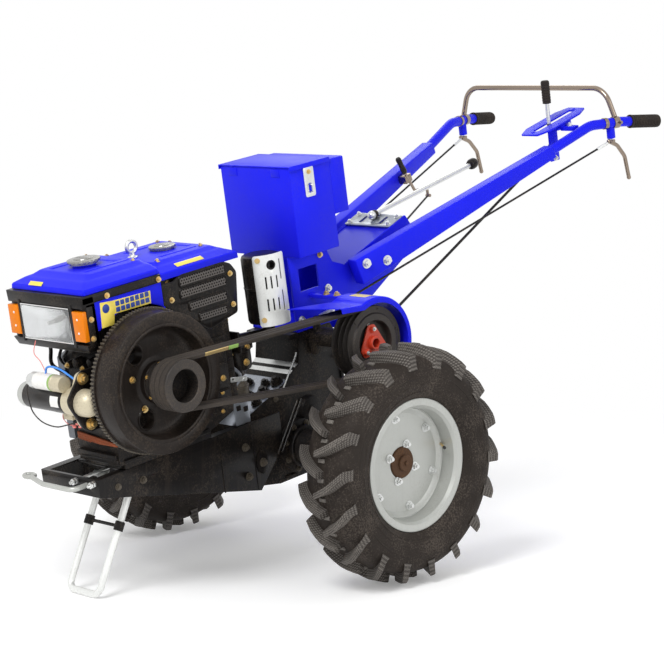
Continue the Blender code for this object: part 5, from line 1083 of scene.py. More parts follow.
def makeTank():
    half, front, rear = body["half"], body["front"], body["tankRear"]
    low, shoulder, top = body["tankLow"], body["tankShoulder"], body["tankTop"]
    steps = [  # height, inset of the sides, inset of the front, inset of the rear, corner
        (low, 0.0005, 0.0005, 0.0005, 0.006), (low + 0.001, 0, 0, 0, 0.007),
        (0.592, 0, 0.001, 0, 0.008), (0.5955, 0.0022, 0.003, 0, 0.008),
        (0.6045, 0.0195, 0.021, 0.002, 0.01), (shoulder, 0.0245, 0.026, 0.003, 0.012),
        (shoulder + 0.0015, 0.029, 0.031, 0.004, 0.012), (0.6105, 0.0345, 0.04, 0.008, 0.014),
        (0.618, 0.045, 0.053, 0.012, 0.016), (0.6195, 0.049, 0.058, 0.015, 0.016),
        (top, 0.054, 0.064, 0.019, 0.016)]
    shape = bmesh.new()
    addLoft(shape, [ringAt(-half + side, front + lead, half - side, rear - tail, z, corner) for z, side,
        lead, tail, corner in steps])
    # pressed ribs each side of the filler
    for x in (-0.066, 0.066):
        addBlock(shape, rectangle(x - 0.01, -0.612, x + 0.01, -0.468, top - 0.001),
            rectangle(x - 0.0065, -0.607, x + 0.0065, -0.473, top + 0.0018), 0.0008)
    addBlock(shape, rectangle(-0.05, -0.5, 0.05, -0.47, top - 0.001),
        rectangle(-0.045, -0.496, 0.045, -0.474, top + 0.0016), 0.0008)
    addTurned(shape, [(0, 0), (0.03, 0), (0.03, 0.006), (0.0285, 0.0072), (0, 0.0072)],
        standing(0, -0.554, top - 0.001), 48)
    finishPiece("fuelTankDressed", shape, "bluePaint", "fuel_tank", 26)

    shape = bmesh.new()
    hoodFront, hoodRear = rear + 0.002, body["hoodRear"]
    low, shoulder, top = body["hoodLow"], body["hoodShoulder"], body["hoodTop"]
    steps = [(low, 0.0005, 0, 0.0005, 0.002), (low + 0.001, 0, 0, 0, 0.003), (0.5775, 0, 0, 0.001, 0.004),
        (0.5805, 0.002, 0, 0.004, 0.004), (0.5895, 0.02, 0.001, 0.024, 0.006),
        (shoulder, 0.025, 0.0015, 0.028, 0.008), (shoulder + 0.0015, 0.029, 0.002, 0.031, 0.008),
        (0.5955, 0.034, 0.004, 0.035, 0.01), (0.602, 0.043, 0.008, 0.046, 0.012),
        (top - 0.0005, 0.047, 0.01, 0.05, 0.012), (top, 0.051, 0.013, 0.054, 0.012)]
    addLoft(shape, [ringAt(-half + side, hoodFront + lead, half - side, hoodRear - tail, z, corner) for z,
        side, lead, tail, corner in steps])
    for x in (-0.07, 0.07):
        addBlock(shape, rectangle(x - 0.008, -0.372, x + 0.008, -0.25, top - 0.001),
            rectangle(x - 0.005, -0.368, x + 0.005, -0.254, top + 0.0018), 0.0008)
    addBlock(shape, rectangle(-0.046, -0.258, 0.046, -0.238, top - 0.001),
        rectangle(-0.042, -0.255, 0.042, -0.241, top + 0.0016), 0.0008)
    finishPiece("engineHoodDressed", shape, "bluePaint", "engine_hood", 26)


def capPiece(name, node, centre, radius, tall, lobes):
    shape = bmesh.new()
    profile = [(0, 0.0004), (radius * 0.86, 0.0004), (radius * 0.86, tall * 0.22),
        (radius * 0.94, tall * 0.26), (radius, tall * 0.34), (radius, tall * 0.66),
        (radius * 0.97, tall * 0.74), (radius * 0.86, tall * 0.8), (radius * 0.62, tall * 0.82),
        (radius * 0.6, tall * 0.9), (radius * 0.55, tall * 0.94), (0, tall * 0.94)]
    addTurned(shape, profile, (0, 0, 0), 96)
    for i in range(lobes):
        place = Matrix.Rotation(2 * pi * i / lobes, 4, "X")
        addBox(shape, (tall * 0.3, -radius * 0.085, radius * 0.9),
            (tall * 0.72, radius * 0.085, radius * 1.0), 0.0008, 0, place)
    addBox(shape, (tall * 0.8, -radius * 0.16, -radius * 0.58), (tall * 0.99, radius * 0.16, radius * 0.58),
        0.0015)
    bmesh.ops.transform(shape, matrix=standing(*centre), verts=shape.verts)
    finishPiece(name, shape, "capMetal", node)


def makeTopFittings():
    capPiece("fuelCapDressed", "fuel_cap", (0, -0.554, 0.626), 0.042, 0.0158, 20)
    capPiece("radiatorCapDressed", "radiator_cap", (0, -0.301, 0.6043), 0.035, 0.0135, 16)
    eye = bmesh.new()
    path = [around(0, -0.4, body["hoodTop"] + 0.028, 0.015, 2 * pi * i / 40) for i in range(40)]
    addTube(eye, path, 0.005, 16, closed=True)
    addTurned(eye, [(0, 0.0003), (0.0125, 0.0003), (0.013, 0.0012), (0.0128, 0.003), (0.0085, 0.0042),
        (0.0062, 0.008), (0.0058, 0.015), (0, 0.016)], standing(0, -0.4, body["hoodTop"]), 32)
    finishPiece("liftingEyeDressed", eye, "zinc", "lifting_eye")
    seats = [((side * x, y, z), (0, 0, 1), 0.62) for x, y,
        z in ((0.093, -0.474, 0.6165), (0.1, -0.404, 0.6005), (0.085, -0.245, 0.602), (0.06, -0.225, 0.598))
        for side in (1, -1)]
    bolts("hoodBolts", seats, "brass")


def makeLampHousing():
    front, low, band, half = body["lampFront"], body["lampLow"], body["bandLow"], body["half"]
    wide, rear = half + 0.0035, body["lampFront"] + 0.04
    shape = bmesh.new()
    # the frame round the lamps, open in front where the lens and amber lamps sit
    addBlock(shape, rectangle(-wide, front + 0.002, wide, rear, 0.5515),
        rectangle(-wide, front, wide, rear, 0.579), 0.0025)
    addBlock(shape, rectangle(-wide + 0.008, front + 0.01, wide - 0.008, rear - 0.004, low),
        rectangle(-wide, front + 0.001, wide, rear, low + 0.022), 0.0025)
    for side in (-1, 1):
        for near, far, start in ((0.0985, 0.108, front), (0.108, wide, front + 0.0125)):
            addBox(shape, (side * near, start, low + 0.014), (side * far, rear, 0.56), 0.0012)
    addBox(shape, (-0.1, front + 0.0205, low + 0.014), (0.1, rear, 0.556), 0.001)
    # the band that carries the tank, with its rolled lip
    addBox(shape, (-wide, front + 0.003, band), (wide, body["tankRear"], 0.5805), 0.0022)
    addBox(shape, (-wide - 0.0004, front + 0.0005, 0.5765), (wide + 0.0004, body["tankRear"], 0.5812),
        0.0018)
    for side in (-1, 1):
        addBox(shape, (side * wide, front + 0.03, low + 0.02), (side * (half - 0.01), front + 0.04, band),
            0.0012)
    finishPiece("lampHousingDressed", shape, "blackPaint", "headlight_housing")

    lens = bmesh.new()
    addBlock(lens, [(x, front + 0.0015, z) for x, z, high in rectangle(-0.0965, 0.4635, 0.0965, 0.5495, 0)],
        [(x, front - 0.0017, z) for x, z, high in rectangle(-0.0935, 0.4665, 0.0935, 0.5465, 0)], 0.001)
    finishPiece("lampLens", lens, "lampGlass")
    lamp = bmesh.new()
    # silvered bowl with a bulb behind the lens
    grid = []
    for r in range(19):
        v = -1 + 2 * r / 18
        row = []
        for c in range(33):
            u = -1 + 2 * c / 32
            deep = max(0.0, 1 - max(abs(u), abs(v)) ** 3)
            dish = 0.015 * deep ** 0.7 * (1 - 0.35 * min(1, (u * u * 3.2 + v * v * 0.7)))
            row.append((0.0955 * u, front + 0.0022 + dish, 0.5065 + 0.0435 * v))
        grid.append(row)
    addSheet(lamp, grid, 0.0012)
    addTurned(lamp, [(0, -0.012), (0.0046, -0.01), (0.0052, -0.004), (0.0045, 0.002), (0.007, 0.003),
        (0.0078, 0.009), (0, 0.009)],
        Matrix.Translation((0.004, front + 0.0135, 0.507)) @ Matrix.Rotation(pi / 2, 4, "Z"), 28, 1)
    addTube(lamp, [(x, front + 0.0005, z) for x, z, high in rectangle(-0.0962, 0.4632, 0.0962, 0.5498, 0)],
        0.0017, 8, 0, True)
    finishPiece("lampBowl", lamp, "mirror whitePlastic", "headlight")
    for side, sign in (("left", 1), ("right", -1)):
        amber = bmesh.new()
        far = half + 0.0034
        addBox(amber, (0.1086, front - 0.0018, 0.4706), (far, front + 0.0116, 0.5454), 0.002)
        for z in (0.48, 0.508, 0.536):
            addBox(amber, (0.11, front - 0.002, z - 0.0006), (far - 0.001, front - 0.001, z + 0.0006),
                0.0002)
        for z in (0.492, 0.526):
            addBall(amber, (0.127, front - 0.0018, z), 0.003, 1, (1, 0.55, 1), 8)
        mirrorShape(amber, sign)
        finishPiece("turnLampDressed_" + side, amber, "amber whitePlastic", "turn_lamp_" + side)


def latticeSheet(low, high, pitch, hole, thickness, place):
    # A perforated strip: hexagonal rings in staggered rows, cut off at the strip's edge
    ring = bmesh.new()
    outer, inner = ([ring.verts.new((radius * cos(pi / 3 * k + pi / 6), radius * sin(pi / 3 * k + pi / 6),
        0)) for k in range(6)] for radius in (pitch * 0.578, hole))
    for k in range(6):
        n = (k + 1) % 6
        ring.faces.new((outer[k], outer[n], inner[n], inner[k]))
    columns = int((high[0] - low[0]) / pitch) + 2
    rows = int((high[1] - low[1]) / (pitch * sqrt(3) / 2)) + 2
    part = bmesh.new()
    pourMesh(part, grownItems("lattice", ring, {"Columns": columns, "Rows": rows, "Pitch": pitch},
        "blackPaint"))
    bmesh.ops.remove_doubles(part, verts=part.verts, dist=pitch * 0.02)
    bmesh.ops.translate(part, vec=(low[0] - pitch * 0.3, low[1] - pitch * 0.3, 0), verts=part.verts)
    for spot, away in (((low[0], 0, 0), (-1, 0, 0)), ((high[0], 0, 0), (1, 0, 0)),
            ((0, low[1], 0), (0, -1, 0)), ((0, high[1], 0), (0, 1, 0))):
        bmesh.ops.bisect_plane(part, geom=list(part.verts) + list(part.edges) + list(part.faces),
            plane_co=spot, plane_no=away, clear_outer=True)
    solid = bmesh.ops.extrude_face_region(part, geom=list(part.faces))
    moved = [v for v in solid["geom"] if isinstance(v, bmesh.types.BMVert)]
    bmesh.ops.translate(part, vec=(0, 0, thickness), verts=moved)
    bmesh.ops.recalc_face_normals(part, faces=part.faces)
    bmesh.ops.transform(part, matrix=place, verts=part.verts)
    return part


grille = {"rows": [(-0.38, -0.232, 0.536, 0.555), (-0.382, -0.232, 0.505, 0.524),
    (-0.358, -0.236, 0.468, 0.486), (-0.33, -0.24, 0.434, 0.45)],
    "outline": [(-0.438, 0.5515), (-0.403, 0.5485), (-0.373, 0.5615), (-0.232, 0.5615), (-0.209, 0.5515),
    (-0.193, 0.5285), (-0.205, 0.427), (-0.301, 0.407), (-0.438, 0.499)], "pitch": 0.0082, "hole": 0.0027}


def makeSides():
    half = body["half"]
    for side, sign in (("left", 1), ("right", -1)):
        panel = bmesh.new()
        arc = [around(0, crank.y, crank.z, 0.19, radians(57 + i * 69 / 24)).yz[:] for i in range(25)]
        outline = [(body["lampFront"] + 0.0403, 0.5597), (body["lampFront"] + 0.0403, arc[-1][1])]
        outline += list(reversed(arc)) + [(body["tankRear"], arc[0][1]), (body["tankRear"], 0.5597)]
        addPlate(panel, [outline], 0.002, facing("X", half - 0.001), 0.0004)
        rim = [(half - 0.003, y, z) for y, z in arc]
        addTube(panel, rim, 0.0022, 10)
        frame = bmesh.new()
        holes = [softRectangle(front, low, rear, high, 0.003) for front, rear, low, high in grille["rows"]]
        addPlate(frame, [softCorners(grille["outline"], 0.004)] + holes, 0.004, facing("X", half - 0.0008),
            0.0008)
        for front, rear, low, high in grille["rows"]:
            # a near-black box behind each opening: painted shade for the dark inside
            addBox(frame, (half - 0.012, front - 0.004, low - 0.004),
                (half - 0.006, rear + 0.004, high + 0.004), 0.001, 1)
            ring = [(half + 0.0016, y, z) for y,
                z in softRectangle(front - 0.003, low - 0.003, rear + 0.003, high + 0.003, 0.005)]
            addTube(frame, ring, 0.0021, 8, 0, True)
            mesh = latticeSheet((front, low), (rear, high), grille["pitch"], grille["hole"], 0.0012,
                facing("X", half + 0.0012))
            pour(frame, mesh, 2)
        edge = [(half - 0.002, y, z) for y, z in softCorners(grille["outline"], 0.006)]
        addTube(frame, edge, 0.0032, 8, 0, True)
        sticker = bmesh.new()
        patch = [(-0.636, 0.555), (-0.595, 0.551), (-0.477, 0.5475), (-0.479, 0.516), (-0.596, 0.518),
            (-0.601, 0.4925), (-0.64, 0.492)]
        if sign > 0:
            addPlate(sticker, [softCorners(list(reversed(patch)), 0.0015)], 0.0004,
                facing("X", half + 0.0003), 0.0001)
            # rows of empty boxes in place of the signs
            for i in range(7):
                for row in (0, 1):
                    front, low = -0.5895 + 0.0156 * i, 0.5355 - 0.015 * row
                    addPlate(sticker, [softRectangle(front, low, front + 0.0126, low + 0.012, 0.002)],
                        0.0004, facing("X", half + 0.0006), 0.0001, 1)
            addPlate(sticker, [circle(-0.62, 0.537, 0.011, 28)], 0.0004, facing("X", half + 0.0006), 0.0001,
                1)
        mirrorShape(panel, sign)
        mirrorShape(frame, sign)
        finishPiece("sidePanelDressed_" + side, panel, "bluePaint", "side_panel_" + side)
        finishPiece("grilleDressed_" + side, frame, "blackPaint darkInside grilleWire",
            "grille_" + side)
        if sign > 0:
            finishPiece("sidePanelStickerBlank", sticker, "yellowLabel signBlue")
        else:
            sticker.free()
        seats = [((sign * x, y, z), (sign, 0, 0), 0.62) for x, y,
            z in ((half + 0.0037, -0.614, 0.5685), (half + 0.0037, -0.449, 0.5695),
            (half + 0.001, -0.414, 0.5075), (half + 0.0012, -0.214, 0.529), (half + 0.0012, -0.216, 0.449),
            (half + 0.0037, -0.671, 0.5225), (half + 0.0037, -0.673, 0.475))]
        bolts("sideBolts_" + side, seats, "brass")
    labels = bmesh.new()
    slope = Matrix.Translation((-0.045, -0.6755, 0.6)) @ Matrix.Rotation(radians(42), 4, "X")
    addPlate(labels, [softRectangle(-0.026, -0.006, 0.026, 0.006, 0.001)], 0.0004, slope, 0.0001)
    slope = Matrix.Translation((0.1335, -0.33, 0.587)) @ Matrix.Rotation(radians(27), 4, "Y")
    addPlate(labels, [softRectangle(-0.0075, -0.045, 0.0075, 0.045, 0.001)], 0.0004, slope, 0.0001)
    slope = Matrix.Translation((0.1325, -0.56, 0.6012)) @ Matrix.Rotation(radians(27), 4, "Y")
    addPlate(labels, [softRectangle(-0.006, -0.03, 0.006, 0.03, 0.001)], 0.0004, slope, 0.0001)
    finishPiece("tankLabelsBlank", labels, "yellowLabel")


makeTank()
makeTopFittings()
makeLampHousing()
makeSides()
print("tank, hood and lamps ready")


# Toolbox and its lid

box = {"half": 0.135, "front": 0.047, "rear": 0.195, "low": 0.506, "top": 0.748, "wall": 0.003,
    "rearDepth": 0.053, "rearLow": 0.594, "over": 0.004, "lip": 0.01, "gap": 0.0003}


def makeToolbox():
    half, front, rear, low, top = (box[key] for key in ("half", "front", "rear", "low", "top"))
    wall = box["wall"]
    outer, hollow = bmesh.new(), bmesh.new()
    addBox(outer, (-half, front, low), (half, rear, top), 0.003)
    addBox(hollow, (-half + wall, front + wall, low + wall), (half - wall, rear - wall, top + 0.02), 0.0015)
    shape = cutBy(outer, [hollow])
    deep = rear + box["rearDepth"]
    addBox(shape, (-half, rear - 0.001, box["rearLow"]), (half, deep, top - 0.004), 0.0045)
    # folded seams, and the ribs pressed into the sides
    for side in (-1, 1):
        x = side * half
        addTube(shape, [(x - side * 0.0012, rear + 0.0003, box["rearLow"] + 0.003),
            (x - side * 0.0012, rear + 0.0003, top - 0.007)], 0.0013, 8)
        addTube(shape, [(x - side * 0.0022, front + 0.0016, low + 0.004),
            (x - side * 0.0022, front + 0.0016, top - 0.002)], 0.0016, 8)
    addTube(shape, [(-half + 0.004, rear - 0.0005, box["rearLow"] + 0.0006),
        (half - 0.004, rear - 0.0005, box["rearLow"] + 0.0006)], 0.0018, 8)
    for y in (0.075, 0.165):
        addBox(shape, (-0.08, y - 0.01, low - 0.0001), (0.08, y + 0.01, low + 0.004), 0.0012)
    for x in (-0.086, 0.079):
        addBox(shape, (x - 0.016, front - 0.0016, top - 0.026), (x + 0.016, front + 0.001, top - 0.004),
            0.0007)
        addRod(shape, (x - 0.005, front - 0.0012, top + 0.0004), (x + 0.005, front - 0.0012, top + 0.0004),
            0.0024, 16)
    finishPiece("toolboxDressed", shape, "bluePaint", "toolbox", 30)

    hasp = bmesh.new()
    addPlate(hasp, [softRectangle(0.0945, 0.66, 0.131, 0.74, 0.006),
        softRectangle(0.1075, 0.67, 0.118, 0.696, 0.003)], 0.0022, facing("X", half + 0.0012), 0.0005)
    addTube(hasp, rounded([(half + 0.0005, 0.1128, 0.673), (half + 0.0105, 0.1128, 0.673),
        (half + 0.0105, 0.1128, 0.692), (half + 0.0005, 0.1128, 0.692)], 0.004), 0.0017, 10)
    finishPiece("haspPlate", hasp, "zinc")
    bolts("toolboxBolts", [((half + 0.0023, 0.1128, 0.726), (1, 0, 0), 0.55),
        ((0.0883, 0.161, 0.4885), (1, 0, 0), 0.75), ((-0.0883, 0.161, 0.4885), (-1, 0, 0), 0.75)], "brass")

    over, gap = box["over"], box["gap"]
    lid = bmesh.new()
    floorZ = top + gap
    addBox(lid, (-half - over, front - over, floorZ), (half + over, rear - 0.002, floorZ + wall), 0.0012)
    for side in (-1, 1):
        addBox(lid, (side * (half + over), front - over, floorZ - box["lip"]),
            (side * (half + 0.0018), rear - 0.002, floorZ + wall / 2), 0.0009)
    addTube(lid, [(-half - over + 0.002, rear - 0.0036, floorZ + wall - 0.001),
        (half + over - 0.002, rear - 0.0036, floorZ + wall - 0.001)], 0.0013, 8)
    addBlock(lid, rectangle(-half + 0.016, front + 0.016, half - 0.016, rear - 0.02, floorZ + wall
        - 0.0008), rectangle(-half + 0.02, front + 0.02, half - 0.02, rear - 0.024, floorZ + wall + 0.0006),
        0.0004)
    finishPiece("toolboxLidDressed", lid, "bluePaint", "toolbox_lid", 30, body="lid")


# Neck, gate plate, handles and grips

neck = {"half": 0.088, "wall": 0.006, "gateY": 0.468, "armRoot": Vector((0.114, 0.262, 0.417)),
    "armEnd": Vector((0.236, 0.965, 0.612)), "armWidth": 0.04, "rootHeight": 0.074, "endHeight": 0.036,
    "tube": 0.0145, "bend": Vector((0.272, 1.121, 0.662)), "flat": Vector((0.3, 1.225, 0.655)),
    "gripEnd": Vector((0.327, 1.361, 0.633)), "gripLength": 0.105, "grip": 0.02}
armAlong = (neck["armEnd"] - neck["armRoot"]).normalized()
armSide = armAlong.cross(Vector((0, 0, 1))).normalized()
armUp = armSide.cross(armAlong).normalized()
neckSlope = atan2(0.5216 - 0.44, 0.505 - 0.25)
gateMiddle = Vector((0, neck["gateY"], 0.44 + (neck["gateY"] - 0.25) * tan(neckSlope)))
gateFrame = Matrix.Translation(gateMiddle) @ Matrix.Rotation(neckSlope, 4, "X")


def onTube(y):
    share = (y - neck["bend"].y) / (neck["flat"].y - neck["bend"].y)
    return neck["bend"].lerp(neck["flat"], share)


def fromNode(node, edge):
    # A level copy of a construction solid with its flat faces whole and its edges rounded
    source = bpy.data.objects[node]
    part = bmesh.new()
    part.from_mesh(source.data)
    part.transform(tractorPlace.inverted() @ source.matrix_world)
    bmesh.ops.remove_doubles(part, verts=part.verts, dist=0.00002)
    bmesh.ops.dissolve_limit(part, angle_limit=radians(1), verts=part.verts, edges=part.edges)
    roundEdges(part, edge, 2, 35)
    return part


def makeNeck():
    shape = fromNode("handle_neck", 0.0012)
    half = neck["half"]
    # weld beads where the plates meet
    for side in (-1, 1):
        x = side * (half - 0.0005)
        addTube(shape, [(x, 0.252, 0.4408), (x, 0.5, 0.52)], 0.0022, 8)
        addTube(shape, [(x, 0.049, 0.3015), (x, 0.199, 0.3015)], 0.0022, 8)
        addTube(shape, [(x, 0.05, 0.5035), (x, 0.183, 0.5035)], 0.002, 8)
    finishPiece("neckDressed", shape, "bluePaint", "handle_neck", 30)
    plate = bmesh.new()
    slots = [softRectangle(x - 0.0055, -0.019, x + 0.0055, 0.019, 0.005) for x in (-0.038, 0.038)]
    slots.append(softRectangle(-0.0055, 0.0175, 0.0055, 0.0265, 0.004))
    addPlate(plate, [softRectangle(-half, -0.032, half, 0.032, 0.005)] + slots, 0.004,
        gateFrame @ Matrix.Translation((0, 0, 0.0023)), 0.0006)
    finishPiece("gatePlateDressed", plate, "steelSheet", "gate_plate", 30)
    slope = gateFrame.to_3x3() @ Vector((0, 0, 1))
    seats = [(gateFrame @ Vector((x, y, 0.0043)), slope, 0.65) for x in (-0.074, 0.074)
        for y in (-0.021, 0.021)]
    bolts("gateBolts", seats)
    seats = []
    for side in (-1, 1):
        for along, up in ((0.03, 0.014), (0.095, -0.01)):
            spot = neck["armRoot"] + armAlong * along + armUp * up
            spot += armSide * (neck["armWidth"] / 2 + 0.0002)
            seats.append(((side * spot.x, spot.y, spot.z), (side * armSide.x, armSide.y, armSide.z), 1.15))
    bolts("armBolts", seats)
    seats = [((side * (half + 0.0002), y, z), (side, 0, 0), 0.95) for side in (-1, 1) for y,
        z in ((0.066, 0.33), (0.176, 0.33), (0.176, 0.392))]
    bolts("neckBolts", seats)


def makeHandles():
    for side, sign in (("left", 1), ("right", -1)):
        arm = bmesh.new()
        ends = []
        for spot, height in ((neck["armRoot"], neck["rootHeight"]),
                (neck["armEnd"] + armAlong * 0.01, neck["endHeight"])):
            ends.append([spot + armSide * (across * neck["armWidth"] / 2) + armUp * (up * height / 2)
                for across, up in ((-1, -1), (1, -1), (1, 1), (-1, 1))])
        addBlock(arm, ends[0], ends[1], 0.0035, 3)
        path = rounded([neck["armEnd"] - armAlong * 0.02, neck["bend"], neck["flat"], neck["gripEnd"]],
            0.09, 10)
        addTube(arm, path, neck["tube"], 24)
        # the weld collar at the arm's mouth
        mouth = alongMatrix(neck["armEnd"] + armAlong * 0.01, armAlong)
        addTurned(arm, [(0.014, 0.0), (0.0178, -0.0005), (0.0168, 0.003), (0.015, 0.0048), (0.014, 0.005)],
            mouth, 32)
        hanger = onTube(1.19)
        addBox(arm, (hanger.x - 0.009, 1.18, hanger.z - 0.046), (hanger.x + 0.009, 1.2, hanger.z - 0.004),
            0.0025)
        mirrorShape(arm, sign)
        finishPiece("handleDressed_" + side, arm, "bluePaint", "handle_" + side, 30)
        grip = bmesh.new()
        back = (neck["flat"] - neck["gripEnd"]).normalized()
        start = neck["gripEnd"] + back * neck["gripLength"]
        length = neck["gripLength"] + 0.006
        profile = [(0, 0.002), (0.015, 0.0), (0.0188, 0.0006), (0.02, 0.002), (0.02, 0.0055),
            (0.0186, 0.008)]
        ribs = 15
        for i in range(ribs):
            x = 0.011 + (length - 0.026) * i / (ribs - 1)
            profile += [(0.0176, x), (0.0192, x + 0.0012), (0.0194, x + 0.0026), (0.019, x + 0.004),
                (0.0176, x + 0.005)]
        profile += [(0.019, length - 0.006), (0.0186, length - 0.003), (0.016, length - 0.0008),
            (0.009, length), (0, length)]
        addTurned(grip, profile, alongMatrix(start, -back), 40)
        mirrorShape(grip, sign)
        finishPiece("gripDressed_" + side, grip, "grip", "grip_" + side)
    arch = bmesh.new()
    foot = onTube(1.208) + Vector((0, 0, neck["tube"] + 0.0019))
    path = rounded([(-foot.x, foot.y, foot.z), (-0.266, foot.y, 0.757), (0.266, foot.y, 0.757),
        (foot.x, foot.y, foot.z)], 0.06, 14)
    addTube(arch, path, 0.008, 20)
    tubeAlong = (neck["flat"] - neck["bend"]).normalized()
    for sign in (-1, 1):
        for y, wide, radius in ((1.208, 0.02, 0.0172), (1.172, 0.012, 0.0166)):
            band = bmesh.new()
            addTurned(band, [(0.014, -wide / 2), (radius, -wide / 2), (radius + 0.0004, 0),
                (radius, wide / 2), (0.014, wide / 2)], alongMatrix(onTube(y), tubeAlong), 32)
            mirrorShape(band, sign)
            pour(arch, band)
        addRod(arch, (sign * (foot.x + 0.017), 1.208, foot.z - 0.016),
            (sign * (foot.x + 0.026), 1.208, foot.z - 0.016), 0.0052, 6, 0.0006)
    finishPiece("archDressed", arch, "chrome", "arch_bar")


# Quadrant and levers

lever = {"x": 0.168, "pivotY": 1.062, "low": 0.568, "top": 0.805, "rod": 0.006, "grip": 0.013,
    "quadrantFront": 0.969, "quadrantRear": 1.196, "quadrantZ": 0.677, "lean": radians(10)}


def makeQuadrant():
    x, pivotY, z = lever["x"], lever["pivotY"], lever["quadrantZ"]
    reach = (lever["quadrantRear"] - lever["quadrantFront"]) / 2
    outline = [(-0.03, -reach), (0.03, -reach), (0.048, -reach * 0.6), (0.048, reach * 0.6), (0.03, reach),
        (-0.03, reach), (-0.048, reach * 0.6), (-0.048, -reach * 0.6)]
    slot = softRectangle(-0.01, -0.085, 0.01, 0.09, 0.004)
    turn = Matrix.Translation((x, (lever["quadrantFront"] + lever["quadrantRear"]) / 2, z))
    turn = turn @ Matrix.Rotation(lever["lean"], 4, "X")
    shape = bmesh.new()
    addPlate(shape, [softCorners(outline, 0.004), slot], 0.005, turn @ Matrix.Translation((0, 0, 0.0025)),
        0.0008)
    sideX = x + 0.034
    addBox(shape, (sideX, 1.07, z - 0.022), (0.2478, 1.1, z - 0.009), 0.002)
    addBox(shape, (sideX, 1.062, z - 0.012), (sideX + 0.012, 1.108, z + 0.003), 0.001)
    addBox(shape, (x + 0.0063, pivotY - 0.018, 0.568), (x + 0.012, pivotY + 0.02, z - 0.01), 0.0014)
    addBox(shape, (x + 0.0063, pivotY - 0.01, z - 0.018), (sideX + 0.006, pivotY + 0.03, z - 0.01), 0.0014)
    for y in (-0.095, 0.1):
        spot = turn @ Vector((0, y, 0.005))
        addRod(shape, spot - Vector((0, 0, 0.001)), spot + Vector((0, -0.0005, 0.0022)), 0.0052, 20, 0.0008)
    finishPiece("quadrantDressed", shape, "bluePaint", "quadrant", 30)
    seats = [((0.226, 1.085, z - 0.009), (0, 0, 1), 0.8), ((x + 0.0122, pivotY, 0.5765), (1, 0, 0), 0.7),
        ((x + 0.0122, pivotY, 0.612), (1, 0, 0), 0.7)]
    bolts("quadrantBolts", seats)


def makeMainLever():
    x, y = lever["x"], lever["pivotY"]
    shape = bmesh.new()
    addTube(shape, [(x, y, lever["quadrantZ"]), (x, y, lever["top"] - 0.06)], lever["rod"], 20, 2)
    addTube(shape, [(x, y, lever["low"]), (x, y, lever["quadrantZ"])], lever["rod"], 20)
    for z in (0.58, 0.612):
        addRod(shape, (x - 0.0082, y, z), (x + 0.0062, y, z), 0.0052, 6, 0.0006)
    addTube(shape, [(x, y, 0.61), (0.193, 0.198, 0.2523)], 0.004, 16)
    joint = Vector((0.193, 0.198, 0.2523)) - Vector((x, y, 0.61))
    for start, end in ((0.004, 0.045), (0.9, 0.93)):
        low = Vector((x, y, 0.61)) + joint * (start if start > 0.5 else start / joint.length)
        high = Vector((x, y, 0.61)) + joint * (end if end > 0.5 else end / joint.length)
        addTube(shape, [low, high], 0.0058, 6)
    profile = [(0, 0.0), (0.0108, 0.0), (0.0122, 0.001), (0.0126, 0.003)]
    for i in range(7):
        z = 0.006 + i * 0.0078
        profile += [(0.0118, z), (0.0126, z + 0.0014), (0.0128, z + 0.0036), (0.0126, z + 0.0056)]
    profile += [(0.0128, 0.06), (0.012, 0.0645), (0.009, 0.0672), (0, 0.068)]
    addTurned(shape, profile, standing(x, y, lever["top"] - 0.068), 32, 1)
    finishPiece("mainLeverDressed", shape, "blackPaint grip zinc", "main_lever")


def makeSteeringLevers():
    for side, sign in (("left", 1), ("right", -1)):
        shape = bmesh.new()
        top = onTube(1.19) - Vector((0, 0, 0.046 + 0.0003 + 0.006))
        path = rounded([top + Vector((0, -0.013, 0.001)), top + Vector((0, 0.024, -0.018)), top
            + Vector((0, 0.054, -0.056)), top + Vector((0, 0.065, -0.122))], 0.03, 8)
        addTube(shape, path, 0.006, 16)
        addBall(shape, top + Vector((0, -0.013, 0.001)), 0.0062, 0, (1, 1, 1), 8)
        addBall(shape, top + Vector((0, 0.065, -0.122)), 0.0066, 0, (1, 1, 1), 8)
        # the fork that joins the lever to its rod
        addBox(shape, (top.x - 0.0085, top.y - 0.012, top.z - 0.007),
            (top.x + 0.0085, top.y + 0.008, top.z + 0.0035), 0.002)
        addRod(shape, top + Vector((-0.0105, -0.006, -0.001)), top + Vector((0.0105, -0.006, -0.001)),
            0.003, 12, 0.0005)
        end = Vector((0.097, 0.11, 0.325))
        start = top + Vector((0, -0.006, -0.001))
        addTube(shape, [start, end], 0.003, 12, 1)
        down = (end - start).normalized()
        addTube(shape, [start + down * 0.012, start + down * 0.055], 0.0046, 6, 2)
        addTube(shape, [end - down * 0.06, end - down * 0.012], 0.0046, 6, 2)
        addRod(shape, (end.x, end.y, 0.3178), (end.x, end.y, 0.3315), 0.006, 20, 0.0008)
        mirrorShape(shape, sign)
        finishPiece("steeringLeverDressed_" + side, shape, "chrome blackPaint zinc",
            "steering_lever_" + side)


def makeShiftLever():
    shape = bmesh.new()
    seat = gateFrame @ Vector((0, 0, 0.004 + 2 * 0.0003 + 0.013))
    top = Vector((0, 0.89, 0.585))
    addTube(shape, [seat, top], 0.007, 20)
    addBall(shape, seat, 0.013, 0, (1, 1, 1), 14)
    upward = (top - seat).normalized()
    addTurned(shape, [(0, 0), (0.012, 0.0), (0.0112, 0.006), (0.0098, 0.01), (0.0076, 0.012), (0, 0.012)],
        alongMatrix(seat + upward * 0.008, upward), 28, 1)
    knob = Vector((0, 0.03, 0.006)).normalized()
    addTurned(shape, [(0, 0.0), (0.009, 0.0002), (0.0136, 0.003), (0.0158, 0.009), (0.016, 0.015),
        (0.0152, 0.022), (0.012, 0.0278), (0.006, 0.0303), (0, 0.0306)],
        alongMatrix(Vector((0, 0.885, 0.584)), knob), 32, 2)
    finishPiece("shiftLeverDressed", shape, "zinc grip blackPaint", "shift_lever")


